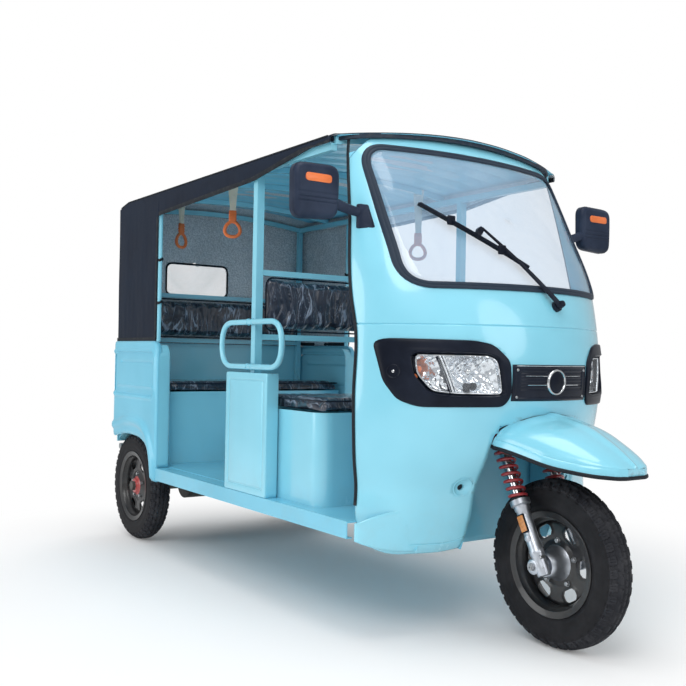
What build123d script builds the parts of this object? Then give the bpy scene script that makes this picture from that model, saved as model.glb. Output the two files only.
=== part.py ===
"""Electric passenger tricycle, built as separate pieces in millimetres.

X runs forward, Y to the vehicle's left and Z up. The origin lies on the floor under the middle of the
vehicle. Stations are written as distances behind the front axle and turned into X by station().
"""

import os
from functools import cache
from math import acos, atan2, cos, radians, sin, sqrt

from build123d import *

os.makedirs("parts", exist_ok=True)

# Main sizes of the vehicle.
WHEELBASE = 2286.0
FRONT_REACH = 295.0  # fender tip ahead of the front axle
REAR_REACH = 315.0  # bumper behind the rear axle
BODY_HALF = 564.0  # half width over the side panels
FLOOR_Z = 390.0  # top of the cab floor
SILL_BOTTOM = 334.0
WAIST_Z = 975.0  # top of the rear side panels
ROOF_Z = 1720.0  # canopy top on the centre line
ROOF_DROP = 40.0  # fall of the roof from the centre to ROOF_HALF
ROOF_HALF = 540.0
BODY_REAR = 2464.0  # back of the rear panel behind the front axle
SEAT_GAP = 0.3  # gap left between pieces that only rest on each other
MOVE_GAP = 5.0  # least gap between pieces that move apart
SHEET = 3.0  # pressed steel sheet
FIT = 0.05  # running fit of a shaft in its bore, on the radius

FRONT_AXLE_X = (WHEELBASE + REAR_REACH - FRONT_REACH) / 2
REAR_AXLE_X = FRONT_AXLE_X - WHEELBASE
SIDES = (("r", -1), ("l", 1))


def station(behind):
    """X of a place given by its distance behind the front axle."""
    return FRONT_AXLE_X - behind


def cross_plane(behind, y=0.0, z=0.0):
    """Plane across the vehicle: local x is Y, local y is Z, facing forward."""
    return Plane(origin=(station(behind), y, z), x_dir=(0, 1, 0), z_dir=(1, 0, 0))


def side_plane(y, x=0.0, z=0.0):
    """Upright plane along the vehicle: local x is X, local y is Z, facing the right side."""
    return Plane(origin=(x, y, z), x_dir=(1, 0, 0), z_dir=(0, -1, 0))


def keep(name, built):
    """Labels a finished piece and writes its file."""
    built.part.label = name
    export_step(built.part, f"parts/{name}.step")


def mirrored(built):
    """The same piece for the vehicle's left side."""
    with BuildPart() as other:
        add(mirror(built.part, about=Plane.XZ))
    return other


def keep_pair(name, right):
    """Writes a right piece and its mirror image."""
    keep(f"{name}_r", right)
    keep(f"{name}_l", mirrored(right))


# Front shell: plan outlines from the bottom up. Each is a rear edge, two corner arcs and one nose arc.
# Columns: height, half width, nose and rear edge behind the front axle, nose radius, corner radius.
SHELL_SECTIONS = (
    (280, 500, 225, 390, 1200, 120),
    (410, 545, 175, 390, 1000, 220),
    (500, 552, 150, 390, 850, 280),
    (600, 556, 95, 390, 720, 320),
    (800, 556, 30, 390, 620, 350),
    (1030, 556, 42, 392, 620, 350),
    (1120, 550, 70, 415, 660, 320),
    (1400, 530, 245, 470, 1000, 250),
    (1712, 520, 466, 545, 1500, 120),
)
SHELL_WALL = 3.5
WELL_HALF = 205.0  # steered wheel's recess, half width
WELL_REAR = 325.0
WELL_TOP = 715.0
POCKET_FRONT = 95.0  # room over the recess for the turning fork crown
POCKET_HALF = 165.0
POCKET_TOP = 748.0


def shell_section(height):
    """Section values at any height, in a straight line between the listed ones."""
    for low, high in zip(SHELL_SECTIONS, SHELL_SECTIONS[1:]):
        if height <= high[0]:
            break
    share = (height - low[0]) / (high[0] - low[0])
    return tuple(a + (b - a) * share for a, b in zip(low, high))


def plan_arcs(section, grow):
    """Corner centre, nose centre and arc ends of one plan outline, grown outwards by grow."""
    _, half, nose, rear, nose_r, corner_r = section
    centre_x = station(nose) - nose_r
    corner_y = half - corner_r
    corner_x = centre_x + sqrt((nose_r - corner_r) ** 2 - corner_y**2)
    turn = atan2(corner_y, corner_x - centre_x)
    start = acos((station(rear) - corner_x) / (corner_r + grow))
    return centre_x, corner_x, corner_y, nose_r + grow, corner_r + grow, turn, start


def shell_x(y, height, grow=0.0):
    """X of the shell's outer surface at a place in the front view."""
    centre_x, corner_x, corner_y, nose_r, corner_r, turn, _ = plan_arcs(shell_section(height), grow)
    if abs(y) <= nose_r * sin(turn):
        return centre_x + sqrt(nose_r**2 - y**2)
    return corner_x + sqrt(max(corner_r**2 - (abs(y) - corner_y) ** 2, 0.0))


def plan_sketch(section, grow, height):
    """Closed plan outline at one height."""
    centre_x, corner_x, corner_y, nose_r, corner_r, turn, start = plan_arcs(section, grow)

    def corner(angle, side):
        return (corner_x + corner_r * cos(angle), side * (corner_y + corner_r * sin(angle)))

    middle = (start + turn) / 2
    with BuildSketch(Plane.XY.offset(height)) as outline:
        with BuildLine():
            ThreePointArc(corner(start, -1), corner(middle, -1), corner(turn, -1))
            ThreePointArc(corner(turn, -1), (centre_x + nose_r, 0), corner(turn, 1))
            ThreePointArc(corner(turn, 1), corner(middle, 1), corner(start, 1))
            Line(corner(start, 1), corner(start, -1))
        make_face()
    return outline.sketch


@cache
def shell_form(grow, base=0.0):
    """Solid of the whole front form, grown outwards by grow and cut off base above its bottom."""
    bottom = SHELL_SECTIONS[0][0] + base
    with BuildPart() as form:
        heights = [bottom] + [s[0] for s in SHELL_SECTIONS if s[0] > bottom]
        for height in heights:
            add(plan_sketch(shell_section(height), grow, height))
        loft(ruled=True)
    return form.part


# Roof: one arc across the vehicle, and layers measured down from the canopy's top.
ROOF_R = (ROOF_HALF**2 + ROOF_DROP**2) / (2 * ROOF_DROP)
CANOPY_T = 6.0
LINING_T = 3.0
BOW_T = 24.0
LINING_TOP = CANOPY_T + SEAT_GAP
BOW_TOP = LINING_TOP + LINING_T + SEAT_GAP


def roof_z(y, depth=0.0):
    """Height of the roof arc at y, depth below the canopy's top."""
    radius = ROOF_R - depth
    return ROOF_Z - ROOF_R + sqrt(radius**2 - y**2)


def roof_band(plane_at, half, top, bottom):
    """Face between two roof arcs, drawn across the vehicle."""
    with BuildSketch(plane_at) as band:
        with BuildLine():
            ThreePointArc((-half, roof_z(half, top)), (0, roof_z(0, top)), (half, roof_z(half, top)))
            Line((half, roof_z(half, top)), (half, roof_z(half, bottom)))
            ThreePointArc(
                (half, roof_z(half, bottom)), (0, roof_z(0, bottom)), (-half, roof_z(half, bottom))
            )
            Line((-half, roof_z(half, bottom)), (-half, roof_z(half, top)))
        make_face()
    return band.sketch


# Front view outlines on the shell.
SEAM_Z = 1030.0
SEAM_W = 3.0
SEAM_DEPTH = 1.5
DRAIN_AT = (251.0, 505.0)
DRAIN_R = 10.0
GLASS_HALF = 459.0  # shell opening
GLASS_BOTTOM = 1157.0
GLASS_TOP = 1644.0
GLASS_CORNER = 62.0
GASKET_W = 22.0
GASKET_T = 7.0
GLASS_T = 5.0


def front_window(reach):
    """Front view outline of the windscreen opening, grown by reach."""
    with BuildSketch(cross_plane(0)) as outline:
        with Locations((0, (GLASS_TOP + GLASS_BOTTOM) / 2)):
            RectangleRounded(
                2 * (GLASS_HALF + reach), GLASS_TOP - GLASS_BOTTOM + 2 * reach, GLASS_CORNER + reach
            )
    return outline.sketch


FORM_DEPTH = 700.0  # how far back front view cuts reach


def front_cut(sketch):
    """Solid swept backwards from a front view outline, through the shell's nose."""
    with BuildPart() as cut:
        extrude(sketch, amount=-FORM_DEPTH)
    return cut.part


# Headlamp bezel and lens, right side, as points (distance from the centre line, height).
BEZEL = ((520, 972), (500, 985), (285, 981), (232, 970), (180, 918), (174, 805), (194, 771), (430, 768))
BEZEL += ((477, 789), (504, 847))
LENS = ((437, 934), (241, 933), (216, 917), (199, 811), (339, 812), (397, 819), (433, 873))
BEZEL_R = 12.0
LENS_R = 8.0
BEZEL_T = 7.0
BEZEL_LAP = 14.0
LAMP_DEPTH = 40.0


def outline_face(points, radius, reach=0.0):
    """Rounded front view outline on the right side, grown by reach."""
    with BuildSketch(cross_plane(0)) as outline:
        with BuildLine():
            Polyline([(-y, z) for y, z in points], close=True)
        make_face()
        fillet(outline.vertices(), radius)
        if reach:
            offset(amount=reach)
    return outline.sketch


GRILLE_HALF = 172.0
GRILLE_BOTTOM = 790.0
GRILLE_TOP = 907.0
GRILLE_T = 6.0
BADGE_Z = 851.0
BADGE_R = 40.0
TRIM_T = 3.0  # height of the bright trim over its panel
TRIM_W = 8.0
GRILLE_BARS = ((870.5, 128.0), (841.5, 118.0))
KNOB = (487.0, 879.0)
KNOB_R = 20.0


def well_form(grow):
    """Space of the steered wheel's recess and of the crown's pocket over it, grown outwards by grow."""
    rear = station(WELL_REAR) - grow
    bottom = SHELL_SECTIONS[0][0]
    pocket_length = WELL_REAR - POCKET_FRONT + 2 * grow
    with BuildPart() as space:
        with Locations((rear + FORM_DEPTH / 2, 0, (WELL_TOP + grow + bottom) / 2)):
            Box(FORM_DEPTH, 2 * (WELL_HALF + grow), WELL_TOP + grow - bottom)
        with Locations((rear + pocket_length / 2, 0, (POCKET_TOP + grow + bottom) / 2)):
            Box(pocket_length, 2 * (POCKET_HALF + grow), POCKET_TOP + grow - bottom)
    return space.part


def make_front_shell():
    """Pressed nose with the windscreen, headlamp and wheel openings."""
    outer = shell_form(0)
    inner = shell_form(-SHELL_WALL, SHELL_WALL)
    with BuildPart() as liner:
        add(well_form(SHELL_WALL))
        add(outer, mode=Mode.INTERSECT)
    with BuildPart() as above:
        band = roof_band(cross_plane(FORM_DEPTH), 2 * ROOF_HALF, -ROOF_DROP * 2, BOW_TOP)
        extrude(band, amount=2 * FORM_DEPTH)
    with BuildPart() as shell:
        add(outer)
        add(inner, mode=Mode.SUBTRACT)
        add(liner.part)
        add(well_form(0), mode=Mode.SUBTRACT)
        add(steer_cylinder(STEM_HOLE_R, STEM_HOLE_FROM, STEM_HOLE_TO), mode=Mode.SUBTRACT)
        add(front_cut(front_window(0)), mode=Mode.SUBTRACT)
        lamp_hole = outline_face(BEZEL, BEZEL_R, -BEZEL_LAP)
        add(front_cut(lamp_hole), mode=Mode.SUBTRACT)
        add(mirror(front_cut(lamp_hole), about=Plane.XZ), mode=Mode.SUBTRACT)
        add(above.part, mode=Mode.SUBTRACT)
        add(cowl_seam(), mode=Mode.SUBTRACT)
        add(front_cut(drain_holes()), mode=Mode.SUBTRACT)
    return shell


def cowl_seam():
    """Groove round the shell under the windscreen."""
    with BuildPart() as groove:
        add(layer(SEAT_GAP, -SEAM_DEPTH))
        with Locations((0, 0, SEAM_Z)):
            Box(2 * FORM_DEPTH * 2, 2 * FORM_DEPTH, SEAM_W, mode=Mode.INTERSECT)
    return groove.part


def drain_holes():
    """Front view of the holes beside the wheel recess."""
    with BuildSketch(cross_plane(0)) as holes:
        with Locations((-DRAIN_AT[0], DRAIN_AT[1]), DRAIN_AT):
            Circle(DRAIN_R)
    return holes.sketch


def layer(outside, inside):
    """Skin between two grown forms of the shell."""
    with BuildPart() as skin:
        add(shell_form(outside))
        add(shell_form(inside), mode=Mode.SUBTRACT)
    return skin.part


def make_windscreen():
    """Curved windscreen in its opening."""
    with BuildPart() as glass:
        add(layer(0, -GLASS_T))
        add(front_cut(front_window(-1.0)), mode=Mode.INTERSECT)
    return glass


def make_gasket():
    """Rubber surround that laps the shell and the glass."""
    with BuildPart() as gasket:
        add(layer(GASKET_T, SEAT_GAP))
        add(front_cut(front_window(GASKET_W / 2)), mode=Mode.INTERSECT)
        add(front_cut(front_window(-GASKET_W / 2)), mode=Mode.SUBTRACT)
    return gasket


def make_bezel():
    """Black headlamp surround, right side."""
    with BuildPart() as bezel:
        add(layer(BEZEL_T, SEAT_GAP))
        add(front_cut(outline_face(BEZEL, BEZEL_R)), mode=Mode.INTERSECT)
        add(front_cut(outline_face(LENS, LENS_R)), mode=Mode.SUBTRACT)
        with BuildSketch(cross_plane(0)) as trim:
            add(outline_face(LENS, LENS_R, TRIM_W))
            add(outline_face(LENS, LENS_R), mode=Mode.SUBTRACT)
            with Locations((-KNOB[0], KNOB[1])):
                Circle(KNOB_R)
                Circle(KNOB_R - TRIM_W / 2, mode=Mode.SUBTRACT)
        add(relief_on_shell(trim.sketch, BEZEL_T))
    return bezel


def make_headlamp():
    """Lamp unit with its clear lens, right side."""
    back = shell_form(0).moved(Location((-LAMP_DEPTH, 0, 0)))
    with BuildPart() as lamp:
        add(shell_form(BEZEL_T / 2))
        add(back, mode=Mode.SUBTRACT)
        add(front_cut(outline_face(LENS, LENS_R, -SEAT_GAP)), mode=Mode.INTERSECT)
    return lamp


def relief_on_shell(sketch, start):
    """Relief that follows the shell, from just under a piece's face at start to TRIM_T over it."""
    with BuildPart() as relief:
        add(layer(start + TRIM_T, start - TRIM_T / 2))
        add(front_cut(sketch), mode=Mode.INTERSECT)
    return relief.part


def grille_trim():
    """Front view of the grille's ring and of the bars beside it."""
    with BuildSketch(cross_plane(0)) as trim:
        with Locations((0, BADGE_Z)):
            Circle(BADGE_R)
            Circle(BADGE_R - TRIM_W, mode=Mode.SUBTRACT)
        for z, reach in GRILLE_BARS:
            for _, side in SIDES:
                with Locations((side * (BADGE_R + reach) / 2, z)):
                    Rectangle(reach - BADGE_R, TRIM_W / 2)
    return trim.sketch


def make_grille():
    """Black panel between the headlamps, with a plain ring."""
    with BuildPart() as grille:
        add(layer(GRILLE_T, SEAT_GAP))
        with BuildSketch(cross_plane(0)) as panel:
            with Locations((0, (GRILLE_TOP + GRILLE_BOTTOM) / 2)):
                Rectangle(2 * GRILLE_HALF, GRILLE_TOP - GRILLE_BOTTOM)
        add(front_cut(panel.sketch), mode=Mode.INTERSECT)
        add(relief_on_shell(grille_trim(), GRILLE_T))
    return grille


# Front fender sections across the vehicle, from the shell forward.
# Columns: ahead of the front axle, half width, ridge height, edge height.
FENDER_SECTIONS = (
    (-190, 204, 742, 650),
    (-40, 200, 748, 634),
    (110, 174, 714, 598),
    (225, 124, 656, 582),
    (FRONT_REACH, 56, 604, 578),
)
FENDER_T = 5.0


def fender_form(inset):
    """Solid under the fender's outer surface, pulled inwards by inset."""
    with BuildPart() as form:
        for ahead, half, ridge, edge in FENDER_SECTIONS:
            low = edge - inset
            with BuildSketch(cross_plane(-ahead + inset)):
                with BuildLine():
                    shoulder = ((half - inset) * 0.72, edge + (ridge - inset - edge) * 0.74)
                    ThreePointArc((half - inset, low), shoulder, (0, ridge - inset))
                    ThreePointArc((0, ridge - inset), (-shoulder[0], shoulder[1]), (inset - half, low))
                    Line((inset - half, low), (half - inset, low))
                make_face()
        loft(ruled=True)
    return form.part


def make_fender():
    """Beak shaped front fender fixed to the shell."""
    with BuildPart() as fender:
        add(fender_form(0))
        add(fender_form(FENDER_T), mode=Mode.SUBTRACT)
        add(shell_form(SEAT_GAP), mode=Mode.SUBTRACT)
    return fender


# Steering: raked axis behind the front axle.
RAKE = 27.0
FRONT_TYRE_R = 270.0
AXIS_SETBACK = 30.0  # steering axis behind the axle, square to the axis
LEG_AHEAD = 17.0  # fork legs ahead of the axle, square to the axis
LEG_Y = 98.0
LEG_R = 17.0
STEM_R = 20.0
HEAD_R = 31.0
HEAD_FROM = 530.0
HEAD_TO = 700.0
STEM_HOLE_R = 45.0
STEM_HOLE_FROM = 440.0
STEM_HOLE_TO = 620.0
CROWN_AT = 448.0
CROWN_T = 26.0
STEM_TO = 862.0
STEER_UP = Vector(-sin(radians(RAKE)), 0, cos(radians(RAKE)))
STEER_OUT = Vector(cos(radians(RAKE)), 0, sin(radians(RAKE)))
FRONT_AXLE = Vector(FRONT_AXLE_X, 0, FRONT_TYRE_R)


def steer_point(along, out=0.0, y=0.0):
    """Point by distance along the steering axis from the axle's level, and ahead of the axle."""
    return FRONT_AXLE + STEER_UP * along + STEER_OUT * out + Vector(0, y, 0)


def steer_plane(along, out=0.0, y=0.0):
    """Plane square to the steering axis."""
    return Plane(origin=steer_point(along, out, y), x_dir=(0, 1, 0), z_dir=STEER_UP)


def steer_cylinder(radius, low, high, out=-AXIS_SETBACK, y=0.0):
    """Round bar along the steering direction."""
    with BuildPart() as bar:
        with BuildSketch(steer_plane(low, out, y)):
            Circle(radius)
        extrude(amount=high - low)
    return bar.part


LEG_LOW = -34.0
LEG_TOP = CROWN_AT
SLIDER_R = 22.0
SLIDER_TOP = 205.0
SPRING_LOW = 215.0
SPRING_HIGH = 405.0
SPRING_R = 33.0
SPRING_BORE = LEG_R + 8
VALLEY_R = SPRING_BORE + 2
COILS = 7
AXLE_R = 7.5
AXLE_HALF = 134.0
LUG_R = 24.0
LUG_HALF = 23.0


def make_stem():
    """Steering stem with its lower crown."""
    with BuildPart() as stem:
        add(steer_cylinder(STEM_R, CROWN_AT, STEM_TO))
        with BuildSketch(steer_plane(CROWN_AT)):
            with Locations((0, 0)):
                SlotOverall(2 * LEG_Y + 80, 76)
            with Locations((0, AXIS_SETBACK)):
                Circle(46)
        extrude(amount=CROWN_T)
    return stem


def make_fork_legs():
    """Both fork legs with their lower axle lugs."""
    with BuildPart() as legs:
        for _, side in SIDES:
            y = side * LEG_Y
            add(steer_cylinder(LEG_R, LEG_LOW, LEG_TOP - SEAT_GAP, LEG_AHEAD, y))
            add(steer_cylinder(SLIDER_R, LEG_LOW, SLIDER_TOP, LEG_AHEAD, y))
            add(steer_cylinder(SPRING_R, SLIDER_TOP - 8, SPRING_LOW - SEAT_GAP, LEG_AHEAD, y))
            add(steer_cylinder(SPRING_R, SPRING_HIGH + SEAT_GAP, SPRING_HIGH + 12, LEG_AHEAD, y))
            with BuildSketch(side_plane(y + LUG_HALF, FRONT_AXLE_X, FRONT_TYRE_R)):
                Circle(LUG_R)
            extrude(amount=2 * LUG_HALF)
            with BuildSketch(side_plane(y + LUG_HALF, FRONT_AXLE_X, FRONT_TYRE_R)):
                Circle(AXLE_R)
            extrude(amount=2 * LUG_HALF, mode=Mode.SUBTRACT)
    return legs



def spring_profile():
    """Outline of half a spring: a bore inside and a coil's ridge at every pitch outside."""
    pitch = (SPRING_HIGH - SPRING_LOW) / COILS
    ridges = []
    for coil in range(COILS):
        low = SPRING_LOW + pitch * coil
        ridges += [(VALLEY_R, low), (SPRING_R, low + pitch / 4), (SPRING_R, low + pitch * 3 / 4)]
    return [*ridges, (VALLEY_R, SPRING_HIGH), (SPRING_BORE, SPRING_HIGH), (SPRING_BORE, SPRING_LOW)]


def make_fork_springs():
    """Coil springs round the legs, each turned as one solid with a ridge for every coil."""
    with BuildPart() as springs:
        for _, side in SIDES:
            middle = steer_point(0, LEG_AHEAD, side * LEG_Y)
            with BuildSketch(Plane(origin=middle, x_dir=STEER_OUT, z_dir=(0, -1, 0))):
                with BuildLine():
                    Polyline(*spring_profile(), close=True)
                make_face()
            revolve(axis=Axis(middle, STEER_UP))
    return springs


def make_front_axle():
    """Axle rod with its end nuts."""
    with BuildPart() as axle:
        with BuildSketch(side_plane(AXLE_HALF, FRONT_AXLE_X, FRONT_TYRE_R)):
            Circle(AXLE_R - FIT)
        extrude(amount=2 * AXLE_HALF)
        for _, side in SIDES:
            outer = LEG_Y + LUG_HALF + SEAT_GAP
            y = side * outer if side > 0 else -outer
            with BuildSketch(side_plane(y, FRONT_AXLE_X, FRONT_TYRE_R)):
                RegularPolygon(12, 6)
            extrude(amount=-side * 10)
    return axle


BAR_R = 11.0
BAR_HALF = 330.0
BAR_AT = 872.0
BAR_BACK = 55.0
GRIP_R = 16.0
GRIP_L = 120.0


def make_handlebar():
    """Handlebar with grips on a clamp over the stem."""
    middle = steer_point(BAR_AT + BAR_R, -AXIS_SETBACK)
    with BuildPart() as bar:
        points = [
            middle + Vector(-BAR_BACK, -BAR_HALF, 20),
            middle + Vector(-BAR_BACK * 0.6, -BAR_HALF + GRIP_L + 20, 20),
            middle + Vector(0, -70, 0),
            middle + Vector(0, 70, 0),
            middle + Vector(-BAR_BACK * 0.6, BAR_HALF - GRIP_L - 20, 20),
            middle + Vector(-BAR_BACK, BAR_HALF, 20),
        ]
        with BuildLine() as path:
            FilletPolyline(*points, radius=40)
        with BuildSketch(Plane(origin=points[0], z_dir=path.line % 0)):
            Circle(BAR_R)
        sweep()
        for end, inner in ((0, 1), (5, 4)):
            way = (points[inner] - points[end]).normalized()
            with BuildSketch(Plane(origin=points[end] - way * 4, z_dir=way)):
                Circle(GRIP_R)
            extrude(amount=GRIP_L)
        with BuildSketch(steer_plane(STEM_TO + SEAT_GAP, -AXIS_SETBACK)):
            RectangleRounded(120, 50, 10)
        extrude(amount=BAR_AT - STEM_TO + BAR_R)
    return bar


# Wheels.
REAR_TYRE_R = 262.0
TYRE_HALF = 50.0
TREAD_GROOVE_Y = 19.0
TREAD_GROOVE_W = 4.0
TREAD_GROOVE_D = 7.0
RIM_BED_R = 152.0
RIM_FLANGE_R = 169.0
RIM_HALF = 40.0
RIM_T = 5.0
DISC_T = 6.0
WHEEL_HOLES = 6
WHEEL_BOLTS = 5
BOLT_R = 7.0
BOLT_H = 8.0
BOLT_OUT = 10.0  # bolts' centres outside the hub
WHEEL_HOLE_R = 24.0
WHEEL_HOLE_PCR = 108.0
REAR_WHEEL_Y = 480.0
FRONT_HUB_R = 62.0
FRONT_HUB_HALF = 72.0
STUB_R = 15.0
REAR_HUB_R = 48.0


def wheel_plane(x, y, z):
    """Plane through a wheel's axis: local x runs along the axle, local y outwards."""
    return Plane(origin=(x, y, z), x_dir=(0, 1, 0), z_dir=(1, 0, 0))


def make_tyre(x, y, radius):
    """Tyre as one solid of revolution, out to its lugs' tips."""
    bead = RIM_BED_R + SEAT_GAP
    side = RIM_HALF - SEAT_GAP
    with BuildPart() as tyre:
        with BuildSketch(wheel_plane(x, y, radius)):
            with BuildLine():
                Line((-side, bead), (side, bead))
                Line((side, bead), (side, RIM_FLANGE_R))
                ThreePointArc(
                    (side, RIM_FLANGE_R), (TYRE_HALF, (RIM_FLANGE_R + radius) / 2), (TYRE_HALF - 6, radius - 18)
                )
                ThreePointArc((TYRE_HALF - 6, radius - 18), (0, radius), (6 - TYRE_HALF, radius - 18))
                ThreePointArc(
                    (6 - TYRE_HALF, radius - 18), (-TYRE_HALF, (RIM_FLANGE_R + radius) / 2), (-side, RIM_FLANGE_R)
                )
                Line((-side, RIM_FLANGE_R), (-side, bead))
            make_face()
        revolve(axis=Axis((x, y, radius), (0, 1, 0)))
        with BuildSketch(wheel_plane(x, y, radius)):
            with Locations((-TREAD_GROOVE_Y, radius), (TREAD_GROOVE_Y, radius)):
                Rectangle(TREAD_GROOVE_W, 2 * TREAD_GROOVE_D)
        revolve(axis=Axis((x, y, radius), (0, 1, 0)), mode=Mode.SUBTRACT)
    return tyre


def make_rim(x, y, z, disc_y, hub_r, hub_low, hub_high, bore):
    """Rim with flanges, a holed disc and its hub."""
    with BuildPart() as rim:
        axis = Axis((x, y, z), (0, 1, 0))
        with BuildSketch(wheel_plane(x, y, z)):
            with BuildLine():
                Polyline(
                    (-RIM_HALF - RIM_T, RIM_FLANGE_R),
                    (-RIM_HALF - RIM_T, RIM_BED_R - RIM_T),
                    (RIM_HALF + RIM_T, RIM_BED_R - RIM_T),
                    (RIM_HALF + RIM_T, RIM_FLANGE_R),
                    (RIM_HALF, RIM_FLANGE_R),
                    (RIM_HALF, RIM_BED_R),
                    (-RIM_HALF, RIM_BED_R),
                    (-RIM_HALF, RIM_FLANGE_R),
                    close=True,
                )
            make_face()
        revolve(axis=axis)
        with BuildSketch(wheel_plane(x, y, z)):
            with Locations((disc_y, (hub_r + RIM_BED_R - RIM_T) / 2)):
                Rectangle(DISC_T, RIM_BED_R - RIM_T - hub_r + 2)
        revolve(axis=axis)
        with BuildSketch(wheel_plane(x, y, z)):
            with Locations(((hub_low + hub_high) / 2, hub_r / 2)):
                Rectangle(hub_high - hub_low, hub_r)
        revolve(axis=axis)
        with BuildSketch(side_plane(y + hub_high, x, z)):
            Circle(bore)
        extrude(amount=hub_high - hub_low, mode=Mode.SUBTRACT)
        with BuildSketch(side_plane(y + disc_y + DISC_T, x, z)):
            with PolarLocations(WHEEL_HOLE_PCR, WHEEL_HOLES):
                SlotOverall(2 * WHEEL_HOLE_R + 12, 2 * WHEEL_HOLE_R, rotation=90)
        extrude(amount=2 * DISC_T, mode=Mode.SUBTRACT)
        outward = 1 if disc_y > 0 else -1
        with BuildSketch(side_plane(y + disc_y + outward * (DISC_T / 2 + BOLT_H), x, z)):
            with PolarLocations(hub_r + BOLT_OUT, WHEEL_BOLTS):
                RegularPolygon(BOLT_R, 6)
        extrude(amount=outward * (BOLT_H + 1))
    return rim


# Chassis.
RAIL_Y = 280.0
RAIL_W = 50.0
RAIL_TOP = 384.0
RAIL_H = 50.0
RAIL_FRONT = 400.0
RAIL_REAR = 2575.0
TRACK_MEMBERS = (440.0, 1070.0, 1600.0, 2010.0, 2545.0)
COLUMN_W = 50.0
COLUMN_FOOT = 440.0
COLUMN_HEAD = 345.0


def make_chassis():
    """Ladder frame with the steering column tube and the spring hangers."""
    mid_z = RAIL_TOP - RAIL_H / 2
    length = RAIL_REAR - RAIL_FRONT
    with BuildPart() as frame:
        with Locations((station((RAIL_FRONT + RAIL_REAR) / 2), 0, mid_z)):
            with Locations((0, -RAIL_Y, 0), (0, RAIL_Y, 0)):
                Box(length, RAIL_W, RAIL_H)
        for behind in TRACK_MEMBERS:
            with Locations((station(behind), 0, mid_z)):
                Box(RAIL_W, 2 * RAIL_Y, RAIL_H)
        with BuildSketch(Plane.XY.offset(RAIL_TOP - 1)):
            with Locations((station(COLUMN_FOOT), 0)):
                Rectangle(COLUMN_W, COLUMN_W)
        with BuildSketch(Plane.XY.offset(800)):
            with Locations((station(COLUMN_HEAD), 0)):
                Rectangle(COLUMN_W, COLUMN_W)
        loft(ruled=True)
        add(steer_cylinder(HEAD_R, HEAD_FROM, HEAD_TO))
        add(steer_cylinder(STEM_R + FIT, HEAD_FROM - 60, HEAD_TO + 60), mode=Mode.SUBTRACT)
        for end in (-1, 1):
            with Locations((REAR_AXLE_X + end * SPRING_HALF, 0, SPRING_EYE_Z)):
                for _, side in SIDES:
                    inner = RAIL_Y + RAIL_W / 2
                    with Locations((0, side * (inner + 5), 0)):
                        Box(44, 12, 60)
                    with Locations((0, side * (inner + (SPRING_Y - inner + SPRING_W / 2) / 2), 0)):
                        Cylinder(EYE_PIN_R, SPRING_Y - inner + SPRING_W / 2 + 4, rotation=(90, 0, 0))
    return frame


SPRING_HALF = 262.0
SPRING_EYE_Z = 352.0
SPRING_Y = 345.0
SPRING_W = 46.0
EYE_PIN_R = 7.0
EYE_R = 15.0
AXLE_TUBE_R = 30.0
LEAF_T = 7.0


def make_leaf_springs():
    """Leaf packs beside the rails, resting on the axle tube."""
    low = REAR_TYRE_R + AXLE_TUBE_R + SEAT_GAP
    with BuildPart() as springs:
        for _, side in SIDES:
            y = side * SPRING_Y + SPRING_W / 2
            with BuildSketch(side_plane(y, REAR_AXLE_X, 0)):
                for row, reach in enumerate((SPRING_HALF, 190.0, 120.0)):
                    rise = (SPRING_EYE_Z - EYE_R - low - 2 * LEAF_T) * (reach / SPRING_HALF) ** 2
                    z = low + (2 - row) * LEAF_T
                    with BuildLine():
                        ThreePointArc((-reach, z + rise), (0, z), (reach, z + rise))
                        Line((reach, z + rise), (reach, z + rise + LEAF_T))
                        ThreePointArc((reach, z + rise + LEAF_T), (0, z + LEAF_T), (-reach, z + rise + LEAF_T))
                        Line((-reach, z + rise + LEAF_T), (-reach, z + rise))
                    make_face()
                with Locations((0, low + 1.5 * LEAF_T)):
                    Rectangle(70, 3 * LEAF_T)
                with Locations((-SPRING_HALF, SPRING_EYE_Z), (SPRING_HALF, SPRING_EYE_Z)):
                    Circle(EYE_R)
                with Locations((-SPRING_HALF, SPRING_EYE_Z), (SPRING_HALF, SPRING_EYE_Z)):
                    Circle(EYE_PIN_R + SEAT_GAP, mode=Mode.SUBTRACT)
            extrude(amount=SPRING_W)
    return springs


AXLE_END = 400.0
DRUM_R = 110.0
DRUM_W = 26.0
MOTOR_R = 80.0
MOTOR_LOW = -250.0
MOTOR_HIGH = 30.0
DIFF_R = 72.0


def make_rear_axle():
    """Axle housing with its motor, brake drums and wheel stubs."""
    axis = (0, 1, 0)
    outer = REAR_WHEEL_Y + RIM_HALF
    with BuildPart() as axle:
        for radius, low, high in (
            (AXLE_TUBE_R, -AXLE_END, AXLE_END),
            (DRUM_R, -AXLE_END - DRUM_W, -AXLE_END),
            (DRUM_R, AXLE_END, AXLE_END + DRUM_W),
            (MOTOR_R, MOTOR_LOW, MOTOR_HIGH),
            (DIFF_R, MOTOR_HIGH, 120.0),
            (STUB_R, -outer, outer),
        ):
            with BuildSketch(Plane(origin=(REAR_AXLE_X, low, REAR_TYRE_R), x_dir=(1, 0, 0), z_dir=axis)):
                Circle(radius)
            extrude(amount=high - low)
        for _, side in SIDES:
            with BuildSketch(side_plane(side * outer, REAR_AXLE_X, REAR_TYRE_R)):
                RegularPolygon(24, 6)
            extrude(amount=-side * 14)
    return axle


# Floor and body.
BENCH_FRONT = 2040.0  # rear bench's front face
QUARTER_FRONT = 1930.0  # rear side panel's front edge
SILL_FRONT = SHELL_SECTIONS[0][3] + SEAT_GAP  # butts the shell's rear edge
FLOOR_TONGUE = 340.0
TONGUE_HALF = 430.0
REAR_FLOOR_HALF = 400.0
TREAD_FRONT = 1262.0  # raised tread panel between the benches
TREAD_REAR = 2026.0
TREAD_HALF = 490.0
TREAD_RISE = 2.0
SILL_LIP = 22.0


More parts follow.
